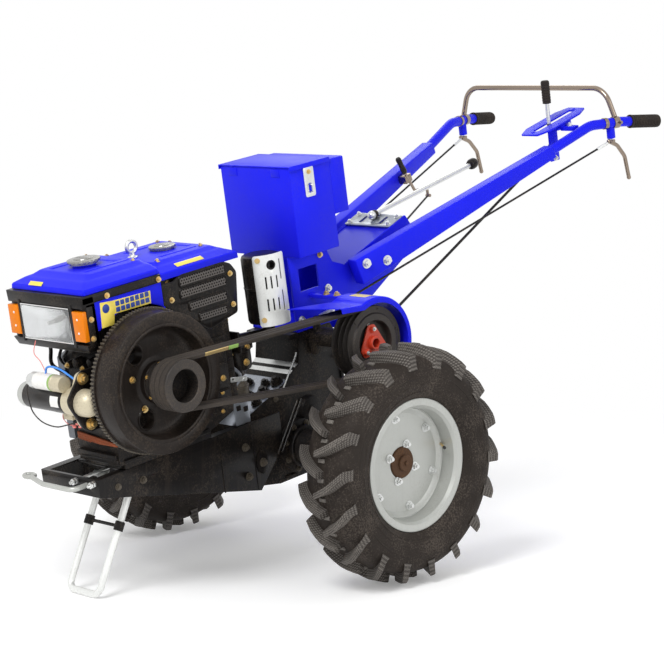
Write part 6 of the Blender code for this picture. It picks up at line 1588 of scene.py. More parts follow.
def makeSideLever():
    x = 0.155
    shape = bmesh.new()
    path = rounded([(x, 0.752, 0.622), (x, 0.775, 0.576), (x, 0.806, 0.52), (x, 0.859, 0.517),
        (x, 0.859, 0.4915)], 0.01, 5)
    addTube(shape, path, 0.0045, 16)
    low, high = Vector((x, 0.773, 0.58)), Vector((x, 0.749, 0.629))
    upward = (high - low).normalized()
    length = (high - low).length
    addTurned(shape, [(0, 0), (0.0066, 0), (0.0084, 0.003), (0.009, 0.012), (0.0076, 0.028),
        (0.0084, 0.044), (0.0086, length - 0.006), (0.0064, length - 0.0006), (0, length)],
        alongMatrix(low, upward), 24, 1)
    addTube(shape, [(x, 0.859, 0.494), (0.014, 0.486, 0.4155)], 0.003, 12, 1)
    addRod(shape, (x - 0.01, 0.859, 0.4945), (x + 0.006, 0.859, 0.4945), 0.0048, 16, 0.0006)
    corners = []
    for along in (0.545 - 0.014, 0.545 + 0.014):
        for up in (-0.012, 0.012):
            spot = neck["armRoot"] + armAlong * along + armUp * up
            spot -= armSide * (neck["armWidth"] / 2 + 0.0003)
            corners.append((spot, Vector((x - 0.003, spot.y, spot.z))))
    order = (0, 1, 3, 2)
    addBlock(shape, [corners[i][0] for i in order], [corners[i][1] for i in order], 0.0015)
    mirrorShape(shape)
    finishPiece("sideLeverDressed", shape, "chrome blackPaint", "side_lever")


makeToolbox()
makeNeck()
makeHandles()
makeQuadrant()
makeMainLever()
makeSteeringLevers()
makeShiftLever()
makeSideLever()
print("toolbox, handles and levers ready")


# Engine block, pump, head, timing cover, starter and exhaust

engine = {"half": 0.122, "front": -0.628, "cornerX": -0.03, "cornerY": -0.562, "starterY":
    -0.7, "starterZ": 0.318, "mufflerX": 0.106, "mufflerY": -0.067, "mufflerLow": 0.362,
    "mufflerTop": 0.545, "mufflerRadius": 0.052, "outletTurn": radians(-18.5), "outletZ": 0.5225,
    "cleanerX": -0.075, "cleanerY": -0.105, "cleanerLow": 0.4, "cleanerRadius": 0.05}


def makeEngine():
    half, front = engine["half"], engine["front"]
    shape = fromNode("engine_block", 0.0022)
    # the crankcase's far front corner stands back behind the starter
    back = bmesh.new()
    addBox(back, (-0.2, -0.7, 0.1), (engine["cornerX"], engine["cornerY"], 0.429), 0)
    shape = cutBy(shape, [back])
    # cast ribs on the crankcase front, and a ledge over the frame
    for x in (0.0, 0.03):
        addBox(shape, (x - 0.003, front - 0.0045, 0.215), (x + 0.003, front + 0.004, 0.345), 0.0015)
    addBox(shape, (-0.026, front - 0.01, 0.335), (0.056, front + 0.004, 0.352), 0.003)
    addBox(shape, (-0.034, front - 0.012, 0.15), (0.116, front + 0.004, 0.164), 0.002)
    addBox(shape, (-0.034, front - 0.004, 0.1365), (0.118, front + 0.004, 0.15), 0.002)
    for x, z, radius in ((-0.012, 0.385, 0.012), (0.018, 0.392, 0.015), (0.048, 0.382, 0.011),
            (0.075, 0.398, 0.013)):
        addRod(shape, (x, front + 0.01, z), (x, front - 0.014, z), radius, 20, 0.002, endRadius=radius
            * 0.8)
    for z in (0.23, 0.3, 0.37, 0.44, 0.5):
        addBox(shape, (half - 0.001, -0.365, z - 0.0025), (half + 0.0035, -0.245, z + 0.0025), 0.0012)
        addBox(shape, (-half - 0.0035, -0.345, z - 0.0025), (-half + 0.001, -0.245, z + 0.0025), 0.0012)
    for side in (-1, 1):
        start = front + 0.012 if side > 0 else engine["cornerY"]
        addBox(shape, (side * (half - 0.001), start, 0.1365), (side * (half + 0.005), -0.33, 0.146), 0.002)
    addRod(shape, (half - 0.002, -0.3, 0.205), (half + 0.007, -0.3, 0.205), 0.026, 40, 0.002)
    addRod(shape, (half + 0.005, -0.3, 0.205), (half + 0.013, -0.3, 0.205), 0.009, 6, 0.001)
    addTube(shape, [(0.15, crank.y, crank.z), (0.1523, crank.y, crank.z)], 0.046, 40)
    finishPiece("engineBlockDressed", shape, "blackCast", "engine_block", 30)
    seats = [((side * 0.105, y, 0.1363), (0, 0, 1), 0.9) for side in (-1, 1)
        for y in (-0.545, -0.45, -0.35)]
    seats += [((x, front - 0.0142, z), (0, -1, 0), 0.6) for x, z in ((-0.012, 0.385), (0.048, 0.382))]
    seats += [((side * (half + 0.0002), y, z), (side, 0, 0), 0.7) for side in (-1, 1) for y,
        z in ((-0.262, 0.52), (-0.262, 0.262), (-0.4, 0.545), (-0.34, 0.545))]
    seats += [(around(half + 0.0002, -0.3, 0.205, 0.036, t), (1, 0, 0), 0.5) for t in (0.6, 2.6, 3.9, 5.4)]
    bolts("engineBolts", seats, "brass")

    # rusty woven strip on the crankcase front, under the starter
    strip = bmesh.new()
    outline = [(-0.027, 0.1922), (0.06, 0.185), (0.125, 0.1855), (0.125, 0.193), (0.06, 0.201),
        (-0.027, 0.21)]
    addPlate(strip, [outline], 0.006, facing("Y", front - 0.003), 0.0015)
    for i in range(24):
        x = -0.024 + 0.0062 * i
        lift = 0.2085 - 0.117 * max(0, x + 0.027)
        for row, drop in enumerate((0.002, 0.0065, 0.011, 0.0155)):
            if lift - drop > 0.187:
                addBall(strip, (x + 0.0031 * (row % 2), front - 0.0058, lift - drop), 0.0024, 0,
                    (1.0, 0.6, 0.7), 6)
    finishPiece("wovenStrip", strip, "rustWeave")
    hoses = bmesh.new()
    for path, radius in (([(-0.077, -0.636, 0.468), (-0.079, -0.637, 0.42), (-0.085, -0.634, 0.376),
            (-0.07, -0.59, 0.34), (-0.05, -0.56, 0.33)], 0.005),
            ([(-0.052, -0.606, 0.47), (-0.062, -0.616, 0.42), (-0.079, -0.614, 0.392),
            (-0.075, -0.6, 0.368), (-0.05, -0.575, 0.35), (-0.045, -0.555, 0.345)], 0.004),
            ([(-0.02, -0.6, 0.47), (-0.032, -0.622, 0.416), (-0.053, -0.622, 0.394), (-0.062, -0.6, 0.368),
            (-0.045, -0.575, 0.34), (-0.04, -0.555, 0.33)], 0.0036)):
        addTube(hoses, curved(path), radius, 12)
    finishPiece("engineHoses", hoses, "blackPaint")
    # fuel pump and filter cup at the engine's back, behind the belts
    pump = bmesh.new()
    for x, y, low, high, radius, slot in ((0.05, -0.142, 0.245, 0.338, 0.036, 0),
            (0.052, -0.16, 0.166, 0.226, 0.031, 1)):
        tall = high - low
        addTurned(pump, [(0, 0), (radius - 0.012, 0), (radius - 0.003, 0.004), (radius, 0.012),
            (radius, tall * 0.55), (radius + 0.002, tall * 0.57), (radius + 0.002, tall * 0.68),
            (radius - 0.001, tall * 0.7), (radius - 0.004, tall - 0.006), (radius - 0.014, tall),
            (0, tall)], standing(x, y, low), 48, slot)
    addRod(pump, (0.05, -0.15, 0.215), (0.05, -0.15, 0.25), 0.012, 20, 0.001)
    addBox(pump, (0.04, -0.15, 0.3), (0.084, -0.112, 0.318), 0.004)
    finishPiece("fuelPump", pump, "blackPaint motorGrey")
    bolts("pumpBolts", [((0.0846, -0.135, 0.309), (1, 0, 0), 0.7), ((0.086, -0.146, 0.27), (1, 0, 0), 0.8)],
        "brass")

    head = fromNode("cylinder_head", 0.0035)
    for x in (-0.062, -0.012, 0.037):
        addBox(head, (x - 0.004, -0.1705, 0.212), (x + 0.004, -0.1665, 0.376), 0.0012)
    for z in (0.228, 0.262, 0.296, 0.33, 0.364):
        for side in (-1, 1):
            addBox(head, (side * 0.093, -0.236, z), (side * 0.0975, -0.198, z + 0.006), 0.001)
    addTube(head, curved([(0.03, -0.18, 0.398), (0.03, -0.176, 0.42), (0.01, -0.19, 0.44),
        (-0.02, -0.225, 0.452), (-0.03, -0.242, 0.455)]), 0.0032, 10)
    finishPiece("cylinderHeadDressed", head, "blackCast", "cylinder_head", 30)
    seats = [((x, -0.168, z), (0, 1, 0), 0.8) for x, z in ((-0.037, 0.34), (-0.037, 0.248), (0.02, 0.34),
        (0.02, 0.248))]
    seats += [((x, -0.1945, z), (0, 1, 0), 0.85) for x in (-0.087, 0.078) for z in (0.206, 0.3, 0.394)]
    bolts("headBolts", seats, "brass")

    timing = fromNode("timing_cover", 0.003)
    back = bmesh.new()
    addBox(back, (-0.2, -0.7, 0.1), (-0.1, engine["cornerY"] - 0.01, 0.429), 0)
    timing = cutBy(timing, [back])
    x = -0.1482
    addRod(timing, (x + 0.002, -0.525, 0.27), (x - 0.005, -0.525, 0.27), 0.04, 40, 0.002, endRadius=0.034)
    addRod(timing, (x + 0.002, -0.43, 0.33), (x - 0.004, -0.43, 0.33), 0.024, 32, 0.0015)
    addRod(timing, (x - 0.026, -0.47, 0.3), (x - 0.0295, -0.47, 0.3), 0.015, 24, 0.001)
    finishPiece("timingCoverDressed", timing, "greyCast", "timing_cover", 30)
    seats = [((x - 0.0002, y, z), (-1, 0, 0), 0.7) for y, z in ((-0.562, 0.172), (-0.475, 0.171),
        (-0.392, 0.172), (-0.362, 0.24), (-0.388, 0.38), (-0.474, 0.402), (-0.562, 0.366))]
    seats += [(around(x - 0.0052, -0.525, 0.27, 0.027, t), (-1, 0, 0), 0.5) for t in (0.5, 2.1, 3.6, 5.2)]
    bolts("timingBolts", seats, "brass")


def makeStarter():
    y, z = engine["starterY"], engine["starterZ"]
    shape = bmesh.new()
    dome = [(0, 0.16)]
    for i in range(1, 15):
        turn = pi / 2 * i / 14
        dome.append((0.0342 * sin(turn), 0.127 + 0.033 * cos(turn)))
    housing = dome + [(0.0345, 0.1115), (0.0345, 0.1), (0.0362, 0.099), (0.0362, 0.074), (0.0355, 0.0725),
        (0.0355, 0.062), (0, 0.062)]
    addTurned(shape, housing, (0, y, z), 56)
    addRod(shape, (0.156, y, z), (0.1635, y, z), 0.0092, 28, 0.001, endRadius=0.0086)
    addBox(shape, (0.02, y - 0.004, z - 0.052), (0.058, y + 0.018, z - 0.033), 0.004)
    motor = [(0, 0.0622), (0.035, 0.062), (0.0352, 0.056), (0.0344, 0.055), (0.0344, 0.01), (0.0338, 0.009),
        (0.0334, -0.096), (0.0328, -0.0975), (0, -0.0975)]
    addTurned(shape, motor, (0, y, z), 56, 1)
    cap = [(0, -0.097), (0.0328, -0.0972), (0.033, -0.102), (0.0322, -0.115), (0.0295, -0.1215),
        (0.024, -0.125), (0.011, -0.1258), (0, -0.1258)]
    addTurned(shape, cap, (0, y, z), 56, 2)
    for turn in (40, 220):
        spot = around(0, y, z, 0.02, radians(turn))
        addRod(shape, spot + Vector((-0.1228, 0, 0)), spot + Vector((-0.1255, 0, 0)), 0.0038, 6)
    seatY = engine["front"] - 0.0084
    ear = [(y - 0.036, z + 0.006), (y - 0.006, z + 0.074), (seatY, z + 0.078), (seatY, z - 0.072),
        (y + 0.004, z - 0.07), (y - 0.016, z - 0.058)]
    plate = [(y - 0.047, z + 0.018), (y + 0.004, z + 0.079), (seatY, z + 0.079), (seatY, z - 0.076),
        (y + 0.008, z - 0.075), (y - 0.013, z - 0.064), (y - 0.046, z + 0.002)]
    for outline, corner, x, slot in ((ear, 0.012, 0.1005, 0), (plate, 0.01, 0.108, 1)):
        addPlate(shape, [softCorners(list(reversed(outline)), corner, 6)], 0.0072, facing("X", x), 0.0012,
            slot)
    finishPiece("starterDressed", shape, "cream blackPaint silver", "starter_motor")
    solenoid = bmesh.new()
    sx, sy, sz = 0.012, y - 0.022, z + 0.048
    profile = [(0, 0.06), (0.019, 0.0598), (0.0206, 0.0585), (0.0212, 0.056), (0.0212, 0.038),
        (0.0205, 0.0372), (0.0205, 0.028), (0.0212, 0.0272), (0.0215, 0.025), (0.0215, 0.0235), (0, 0.0235)]
    addTurned(solenoid, profile, (sx, sy, sz), 48)
    addTurned(solenoid, [(0, 0.0236), (0.0213, 0.0236), (0.0213, 0.016), (0, 0.016)], (sx, sy, sz), 48, 1)
    addTurned(solenoid, [(0, 0.0161), (0.0211, 0.0161), (0.0211, -0.044), (0, -0.044)], (sx, sy, sz), 48, 2)
    addTurned(solenoid, [(0, -0.0438), (0.0214, -0.0438), (0.0214, -0.06), (0.0204, -0.0612),
        (0.018, -0.063), (0.016, -0.074), (0.012, -0.075), (0, -0.075)], (sx, sy, sz), 48, 3)
    for turn in (60, 150, 240):
        spot = around(sx, sy, sz, 0.011, radians(turn))
        addRod(solenoid, spot + Vector((-0.0735, 0, 0)), spot + Vector((-0.0748, 0, 0)), 0.0042, 6)
    finishPiece("solenoidDressed", solenoid, "cream greenLabel whitePlastic zinc",
        "starter_solenoid")
    bolts("starterBolts", [((0.1118, -0.696, 0.378), (1, 0, 0), 1.3),
        ((0.1118, -0.69, 0.262), (1, 0, 0), 1.3)], "brass")
    # short stiff leads of the starter, held at both ends
    leads = bmesh.new()
    for path, radius, slot in (([(-0.042, -0.705, 0.462), (-0.028, -0.725, 0.437), (-0.004, -0.727, 0.418),
            (0.006, -0.722, 0.386)], 0.0011, 0), ([(0.002, -0.722, 0.384), (0.01, -0.722, 0.402),
            (0.033, -0.722, 0.407), (0.064, -0.72, 0.402), (0.084, -0.714, 0.389), (0.097, -0.704, 0.374)],
            0.0027, 1), ([(-0.062, -0.722, 0.364), (-0.068, -0.735, 0.345), (-0.06, -0.74, 0.317),
            (-0.049, -0.74, 0.286), (-0.018, -0.738, 0.264), (0.029, -0.735, 0.257), (0.06, -0.724, 0.262),
            (0.084, -0.69, 0.268), (0.092, -0.66, 0.276)], 0.0017, 2),
            ([(0.02, -0.7, 0.286), (0.022, -0.704, 0.268), (0.043, -0.7, 0.253), (0.07, -0.68, 0.256),
            (0.085, -0.65, 0.262)], 0.0011, 0)):
        addTube(leads, curved(path), radius, 10, slot)
    for x, side, low in ((0.052, -0.7005, 0.2475), (0.06, -0.696, 0.2545), (0.066, -0.693, 0.247)):
        addBox(leads, (x, side - 0.003, low), (x + 0.009, side + 0.003, low + 0.006), 0.001, 0)
    finishPiece("starterLeads", leads, "pinkWire blueWire blackWire")
    label = bmesh.new()
    grid = [[(x, y - 0.0347 * cos(turn), z + 0.0347 * sin(turn)) for x in (0.018, 0.034, 0.05)]
        for turn in (radians(-18), radians(-6), radians(6), radians(18), radians(28))]
    addSheet(label, grid, 0.0004)
    finishPiece("starterLabelBlank", label, "whitePlastic")


def makeExhaust():
    x, y = engine["mufflerX"], engine["mufflerY"]
    low, top, radius = engine["mufflerLow"], engine["mufflerTop"], engine["mufflerRadius"]
    shape = bmesh.new()
    profile = [(0, low), (radius - 0.012, low), (radius - 0.003, low + 0.003), (radius, low + 0.01),
        (radius, 0.456), (radius + 0.0012, 0.4568), (radius + 0.0012, 0.4602), (radius, 0.461),
        (radius, top - 0.01), (radius - 0.003, top - 0.003), (radius - 0.012, top), (0, top)]
    addTurned(shape, profile, standing(x, y, 0))
    path = rounded([(x, y, low + 0.008), (x, y, low - 0.032), (x - 0.036, -0.15, low - 0.032),
        (x - 0.036, -0.1677, low - 0.032)], 0.022, 8)
    addTube(shape, path, 0.016, 24)
    addBox(shape, (x - 0.066, -0.1745, low - 0.06), (x - 0.006, -0.1665, low - 0.004), 0.002)
    turn = engine["outletTurn"]
    spot = Vector((x + (radius - 0.004) * cos(turn), y + (radius - 0.004) * sin(turn), engine["outletZ"]))
    along = Vector((cos(turn), sin(turn), 0))
    addTurned(shape, [(0.0085, 0.0), (0.0115, 0.0), (0.0115, 0.0175), (0.0105, 0.0182), (0.0085, 0.0175),
        (0.0085, 0.004)], alongMatrix(spot, along), 32)
    finishPiece("mufflerDressed", shape, "blackPaint", "muffler", 34)

    # the heat shield is drawn flat, with its slots, and then bent round the muffler
    bent, start, end = 0.064, radians(-62), radians(25)
    bottom, high = 0.3615, 0.5505
    holes = [circle(bent * turn, engine["outletZ"], 0.0128, 28)]
    for degrees, lowZ, highZ in ((-35.6, 0.4605, 0.4935), (-22.6, 0.4605, 0.4935), (-7.8, 0.4605, 0.4935),
            (5.8, 0.48, 0.534), (-36.8, 0.402, 0.4345), (-23.2, 0.402, 0.4345), (-9.2, 0.402, 0.4345),
            (5.3, 0.397, 0.451)):
        middle = bent * radians(degrees)
        holes.append(softRectangle(middle - 0.0021, lowZ, middle + 0.0021, highZ, 0.0018, 3))
    outline = softRectangle(bent * start, bottom, bent * end, high, 0.008)
    flat = flatPart([outline] + holes, 0.0016, 0.0004)
    count = 26
    for i in range(1, count):
        at = bent * (start + (end - start) * i / count)
        bmesh.ops.bisect_plane(flat, geom=list(flat.verts) + list(flat.edges) + list(flat.faces),
            plane_co=(at, 0, 0), plane_no=(1, 0, 0), dist=0.00002)
    for vertex in flat.verts:
        turnAt, reach = vertex.co.x / bent, bent - 0.0008 + vertex.co.z
        vertex.co = Vector((x + reach * cos(turnAt), y + reach * sin(turnAt), vertex.co.y))
    bmesh.ops.recalc_face_normals(flat, faces=flat.faces)
    shield = bmesh.new()
    pour(shield, flat)
    for degrees, z in ((-50, 0.536), (-50, 0.382)):
        t = radians(degrees)
        near = Vector((x + (radius + 0.0003) * cos(t), y + (radius + 0.0003) * sin(t), z))
        far = Vector((x + (bent - 0.001) * cos(t), y + (bent - 0.001) * sin(t), z))
        addRod(shield, near, far, 0.004, 16)
    finishPiece("heatShieldDressed", shield, "shield", "heat_shield", 40)
    seats = []
    for degrees, z in ((-49.6, 0.538), (-50.7, 0.38)):
        t = radians(degrees)
        seats.append(((x + bent * cos(t), y + bent * sin(t), z), (cos(t), sin(t), 0), 0.6))
    bolts("shieldScrews", seats, "brass")

    cx, cy, low, radius = (engine["cleanerX"], engine["cleanerY"], engine["cleanerLow"],
        engine["cleanerRadius"])
    cleaner = bmesh.new()
    profile = [(0, 0.0), (radius - 0.01, 0.0), (radius - 0.002, 0.002), (radius, 0.008), (radius, 0.04),
        (radius + 0.0014, 0.042), (radius + 0.0014, 0.046), (radius, 0.048), (radius, 0.092),
        (radius + 0.0028, 0.0935), (radius + 0.003, 0.1), (radius + 0.001, 0.104), (radius - 0.006, 0.11),
        (radius - 0.02, 0.1118), (0, 0.112)]
    addTurned(cleaner, profile, standing(cx, cy, low))
    addTube(cleaner, rounded([(cx, cy, 0.405), (cx, cy, 0.36), (cx, -0.1677, 0.36)], 0.02, 8), 0.016, 24)
    addBox(cleaner, (cx - 0.028, -0.1735, 0.336), (cx + 0.028, -0.1665, 0.384), 0.002)
    finishPiece("airCleanerDressed", cleaner, "blackPaint", "air_cleaner", 34)
    bolts("cleanerNut", [((cx, cy, low + 0.1119), (0, 0, 1), 0.9)])


# Frame, tow hook, stand and gearbox

def makeFrame():
    shape = fromNode("front_frame", 0.001)
    half, front, top = 0.115, -0.697, 0.118
    for side in (-1, 1):
        x = side * half
        for y in (-0.3, -0.186):
            low = 0.05 - (y - front) / 0.521 * 0.116
            addBox(shape, (x - side * 0.001, y - 0.0016, low), (x + side * 0.0008, y + 0.0016, top - 0.003),
                0.0004)
        oval = [(y, z * 1.6 + 0.004) for y, z in circle(-0.162, 0, 0.02, 28)]
        addPlate(shape, [oval], 0.0036, facing("X", x + side * 0.0012), 0.0008)
        addTube(shape, [(side * (half - 0.0265), front + 0.012, top - 0.003),
            (side * (half - 0.0265), -0.186, top - 0.003)], 0.0016, 8)
        # weld beads at the crossbar and the crossmember
        addTube(shape, [(side * (half - 0.0072), front + 0.0085, 0.078),
            (side * (half - 0.0072), front + 0.0085, top - 0.008)], 0.0026, 8)
    for y in (-0.6, -0.52):
        addTube(shape, [(-0.1, y, top - 0.0052), (0.1, y, top - 0.0052)], 0.0024, 8)
    finishPiece("frameDressed", shape, "blackPaint", "front_frame", 30)
    seats = []
    for side in (-1, 1):
        seats += [((side * (half + 0.0032), -0.162, 0.004), (side, 0, 0), 1.0),
            ((side * (half + 0.0002), -0.56, 0.078), (side, 0, 0), 0.85),
            ((side * (half + 0.0002), -0.214, 0.06), (side, 0, 0), 0.95),
            ((side * (half + 0.0002), -0.214, -0.02), (side, 0, 0), 0.95),
            ((side * (half + 0.0002), -0.64, 0.084), (side, 0, 0), 0.75)]
    bolts("frameBolts", seats, "motorGrey")
    # two long tension bolts that run back from the crossbar
    rods = bmesh.new()
    for x in (0.03, 0.1):
        addRod(rods, (x, front - 0.024, 0.107), (x, front + 0.15, 0.112), 0.0042, 16, 0.0006)
        addRod(rods, (x, front - 0.0085, 0.1074), (x, front - 0.0012, 0.1076), 0.0088, 6, 0.0008)
        addRod(rods, (x, front - 0.0165, 0.1072), (x, front - 0.0098, 0.1074), 0.0088, 6, 0.0008)
    finishPiece("tensionBolts", rods, "zinc")


def makeHook():
    rod, hookX, level, loop = 0.0065, 0.066, 0.1, 0.017
    front = -0.697 - 0.046
    shape = bmesh.new()
    path = rounded([(-2.0 * hookX - loop * 0.2, front + 0.026, level), (-0.054, front, level),
        (hookX, front, level), (hookX, -0.697 + 0.04, level), (0.008, -0.6 + 0.014, level - 0.004)], 0.018,
        8)
    addTube(shape, path, rod, 16)
    middle = Vector((-2.0 * hookX - loop, front + 0.031, level))
    ring = [middle + Vector((loop * cos(2 * pi * i / 36), loop * 0.62 * sin(2 * pi * i / 36), 0))
        for i in range(36)]
    addTube(shape, ring, rod * 0.9, 14, 0, True)
    finishPiece("towHookDressed", shape, "silver", "tow_hook")


def makeStand():
    pivot = Vector((0, -0.55, 0.066))
    radius, half, out, bend = 0.009, 0.06, 0.104, 0.022
    level = tractorPlace @ pivot
    drop = level.z - radius
    foot = tractorPlace.inverted() @ Vector((0, level.y - drop * tan(radians(22.6)), radius))
    shape = bmesh.new()
    path = rounded([(-out, pivot.y, pivot.z), (-half, pivot.y, pivot.z), (-half, foot.y, foot.z),
        (half, foot.y, foot.z), (half, pivot.y, pivot.z), (out, pivot.y, pivot.z)], bend, 8)
    addTube(shape, path, radius, 20)
    finishPiece("standDressed", shape, "shield", "front_stand", body="stand")
    down = (foot - pivot).normalized()
    # the black clip that holds the stand's legs together near the top
    clip = bmesh.new()
    spot = pivot + down * 0.12
    for side in (-1, 1):
        place = alongMatrix(Vector((side * half, spot.y, spot.z)) - down * 0.012, down)
        addTurned(clip, [(0.0088, 0), (0.0122, 0), (0.0126, 0.002), (0.0126, 0.022), (0.0122, 0.024),
            (0.0088, 0.024)], place, 24)
    addTube(clip, [(-half, spot.y, spot.z), (half, spot.y, spot.z)], 0.0045, 12)
    finishPiece("standClip", clip, "blackPaint", body="stand")


def makeGearbox():
    shape = fromNode("gearbox", 0.003)
    half = 0.085
    # the front is recessed behind a stepped sheet
    front = [(-0.096, 0.149), (-0.006, 0.1834), (0.005, 0.197), (0.037, 0.215), (0.052, 0.286),
        (-0.12, 0.286)]
    recess = bmesh.new()
    addPlate(recess, [front], 0.4, facing("X", 0), 0)
    bmesh.ops.recalc_face_normals(recess, faces=recess.faces)
    shape = cutBy(shape, [recess])
    for side in (-1, 1):
        for low, high in (((-0.168, -0.05), (-0.16, 0.112)), ((0.186, -0.02), (0.194, 0.235)),
                ((-0.06, -0.078), (0.08, -0.07))):
            addBox(shape, (side * (half - 0.001), *low), (side * (half + 0.0045), *high))
        addRod(shape, (side * (half - 0.002), 0.052, 0.086), (side * (half + 0.016), 0.052, 0.086), 0.04,
            48, 0.002, endRadius=0.036)
        addRod(shape, (side * (half + 0.014), 0.052, 0.086), (side * (half + 0.019), 0.052, 0.086), 0.0125,
            32, 0.0012)
        addTurned(shape, [(0.04, 0.0), (0.0525, 0.0), (0.054, 0.002), (0.054, 0.01), (0.0525, 0.012),
            (0.04, 0.012)], (side * 0.288 - 0.006, 0, 0), 48)
        addTurned(shape, [(0.04, 0.0), (0.056, 0.0), (0.0575, 0.002), (0.0575, 0.012), (0.056, 0.014),
            (0.04, 0.014)], (side * 0.115 - 0.007, 0, 0), 48)
    # slotted brace from the gearbox down to the rail's end
    for lift in (-0.0075, 0.0075):
        top, bottom = Vector((0.112, 0.0 + lift, 0.13)), Vector((0.121, -0.1 + lift, 0.012))
        addTube(shape, [top, bottom], 0.003, 8)
    finishPiece("gearboxDressed", shape, "blackCast", "gearbox", 30)
    seats = []
    for side in (-1, 1):
        seats += [(around(side * (half + 0.016), 0, 0, 0.062, 2 * pi * (i + 0.5) / 8), (side, 0, 0), 0.75)
            for i in range(8)]
        seats += [((side * (half + 0.0002), y, z), (side, 0, 0), 0.7) for y,
            z in ((-0.15, 0.098), (-0.15, -0.04), (-0.06, 0.145), (0.178, 0.2), (0.178, 0.09),
            (0.178, -0.01), (0.15, 0.278))]
    bolts("gearboxBolts", seats, "motorGrey")
    extras = bmesh.new()
    addTube(extras, rounded([(0.094, 0.026, 0.252), (0.0925, 0.024, 0.243), (0.0925, -0.034, 0.169),
        (0.088, -0.04, 0.16)], 0.006, 4), 0.0024, 10)
    addPlate(extras, [softCorners([(-0.228, 0.238), (-0.17, 0.229), (-0.17, 0.241), (-0.226, 0.252)],
        0.004), circle(-0.218, 0.2445, 0.003, 16)], 0.0026, facing("X", 0.108), 0.0005)
    addRod(extras, (0.096, -0.18, 0.235), (0.112, -0.18, 0.235), 0.0052, 6, 0.0006)
    finishPiece("smallLevers", extras, "zinc")
    # the zinc strips on the steps and the steel-grey tray are painted reflections on the gloss black cast
    # cover; the rest of the steps is black cast
    sheet = bmesh.new()
    for (startY, startZ), (endY, endZ), slot in (((0.0505, 0.285), (0.036, 0.219), 0),
            ((0.036, 0.219), (0.024, 0.21), 1), ((0.024, 0.21), (0.015, 0.204), 0),
            ((0.015, 0.204), (0.003, 0.196), 1), ((0.003, 0.196), (-0.008, 0.184), 0),
            ((-0.008, 0.184), (-0.162, 0.1262), 2)):
        ahead = Vector((endY - startY, endZ - startZ)).normalized()
        out = Vector((ahead.y, -ahead.x)) * 0.0025
        addPlate(sheet, [[(startY, startZ), (endY, endZ), (endY - out.x, endZ - out.y),
            (startY - out.x, startZ - out.y)]], 0.166, facing("X", 0), 0.0004, slot)
    finishPiece("steppedSheet", sheet, "blackCast zinc steelSheet")
    lumps = [((x, y, 0.187 + (y + 0.008) * 0.3753), (0, -0.357, 0.934), size) for x, y,
        size in ((0.062, -0.028, 1.5), (0.03, -0.04, 1.2), (0.058, -0.075, 1.6), (0.07, -0.115, 1.3),
        (0.02, -0.09, 1.1), (-0.03, -0.045, 1.2), (-0.06, -0.1, 1.2), (0.04, -0.14, 1.0))]
    bolts("sheetNuts", lumps, "blackPaint", "black_paint")
    tank = bmesh.new()
    addBox(tank, (0.02, -0.228, 0.1185), (0.11, -0.176, 0.186), 0.004)
    for y, z in ((-0.214, 0.166), (-0.19, 0.158)):
        addBox(tank, (0.1085, y - 0.007, z - 0.007), (0.113, y + 0.007, z + 0.007), 0.0012, 1)
    addRod(tank, (0.06, -0.21, 0.171), (0.06, -0.21, 0.183), 0.012, 24, 0.0015)
    addTube(tank, curved([(0.06, -0.21, 0.178), (0.07, -0.19, 0.205), (0.085, -0.172, 0.235),
        (0.09, -0.19, 0.262), (0.085, -0.225, 0.29)]), 0.0045, 12)
    finishPiece("oilBox", tank, "steelSheet blackPaint")


makeEngine()
makeStarter()
makeExhaust()
makeFrame()
makeHook()
makeStand()
makeGearbox()
print("engine, exhaust, frame and gearbox ready")


# Stage: pale floor, soft studio light and the photo's camera

def plainlySeen(tree):
    # 1 for camera, mirror and glass rays, which all see the white backdrop
    seen = shaderNode(tree, "LightPath").outputs
    total = seen["Is Camera Ray"]
    for ray in ("Is Glossy Ray", "Is Transmission Ray"):
        total = calc(tree, "ADD", total, seen[ray], use_clamp=True)
    return total


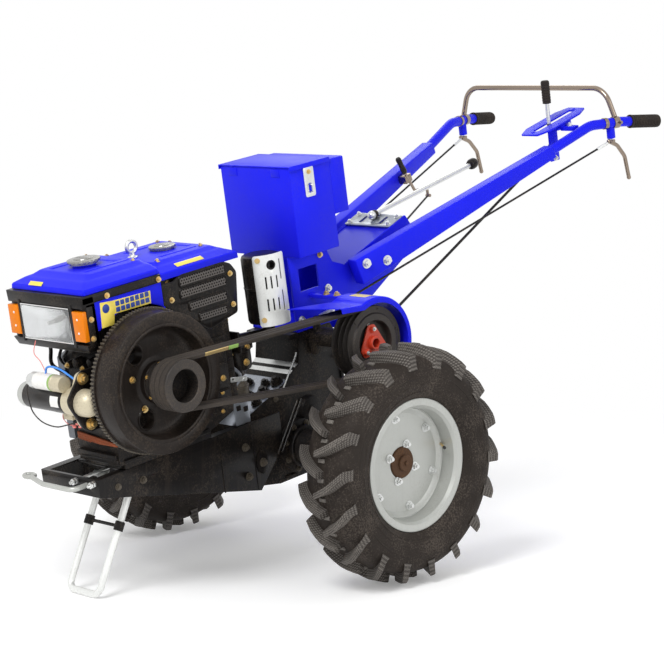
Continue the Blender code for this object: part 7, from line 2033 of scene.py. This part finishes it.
def makeStage():
    size = 40
    mesh = bpy.data.meshes.new("studioFloor")
    mesh.from_pydata(rectangle(-size, -size, size, size, -0.002), [], [(0, 1, 2, 3)])
    floor = linked("studioFloor", mesh)
    paper, tree, surface = newFinish("studioPaper")
    fillNode(tree, surface, {"Base Color": (0.9, 0.9, 0.9, 1), "Roughness": 0.9, "Specular IOR Level": 0.1,
        "Emission Color": (1, 1, 1, 1), "Emission Strength": 0.22})
    reach = shaderNode(tree, "VectorMath", {0: shaderNode(tree, "TexCoord").outputs["Object"]},
        operation="LENGTH")
    fade = shaderNode(tree, "MapRange", {"Value": reach.outputs["Value"], "From Min": 1.3, "From Max": 2.6},
        interpolation_type="SMOOTHSTEP")
    far = calc(tree, "MULTIPLY", fade, plainlySeen(tree))
    white = shaderNode(tree, "Emission", {"Color": (1, 1, 1, 1)})
    mix = shaderNode(tree, "MixShader", {0: far, 1: surface, 2: white})
    fillNode(tree, tree.nodes["Material Output"], {"Surface": mix})
    floor.data.materials.append(paper)

    world = bpy.data.worlds.new("studioWorld")
    bpy.context.scene.world = world
    world.use_nodes = True
    tree = world.node_tree
    level = shaderNode(tree, "MapRange", {"To Min": 0.62, "To Max": 1.0, "Value": plainlySeen(tree)})
    fillNode(tree, tree.nodes["Background"], {"Color": (1, 1, 1, 1), "Strength": level})

    for name, spot, aim, size, power in (("keyLight", (1.5, -4.2, 4.6), (0, 0, 0.5), 2.2, 200),
            ("fillLight", (5.0, 0.6, 2.2), (0, 0, 0.5), 3.0, 40),
            ("rimLight", (-3.0, 3.0, 4.0), (0, 0, 0.6), 2.4, 30)):
        lamp = bpy.data.lights.new(name, "AREA")
        lamp.shape = "DISK"
        lamp.size = size
        lamp.energy = power
        light = linked(name, lamp)
        light.location = spot
        light.rotation_euler = (Vector(aim) - Vector(spot)).to_track_quat("-Z", "Y").to_euler()

    lens = bpy.data.cameras.new("photoCamera")
    lens.lens = 117.354
    lens.sensor_width = 36
    camera = linked("photoCamera", lens)
    camera.location = (4.24511, axleY - 3.95815, axleZ + 0.99635)
    camera.rotation_euler = (radians(83.1321), radians(0.2596), radians(45.4812))
    bpy.context.scene.camera = camera
    bpy.context.scene.view_settings.view_transform = "Standard"


makeStage()
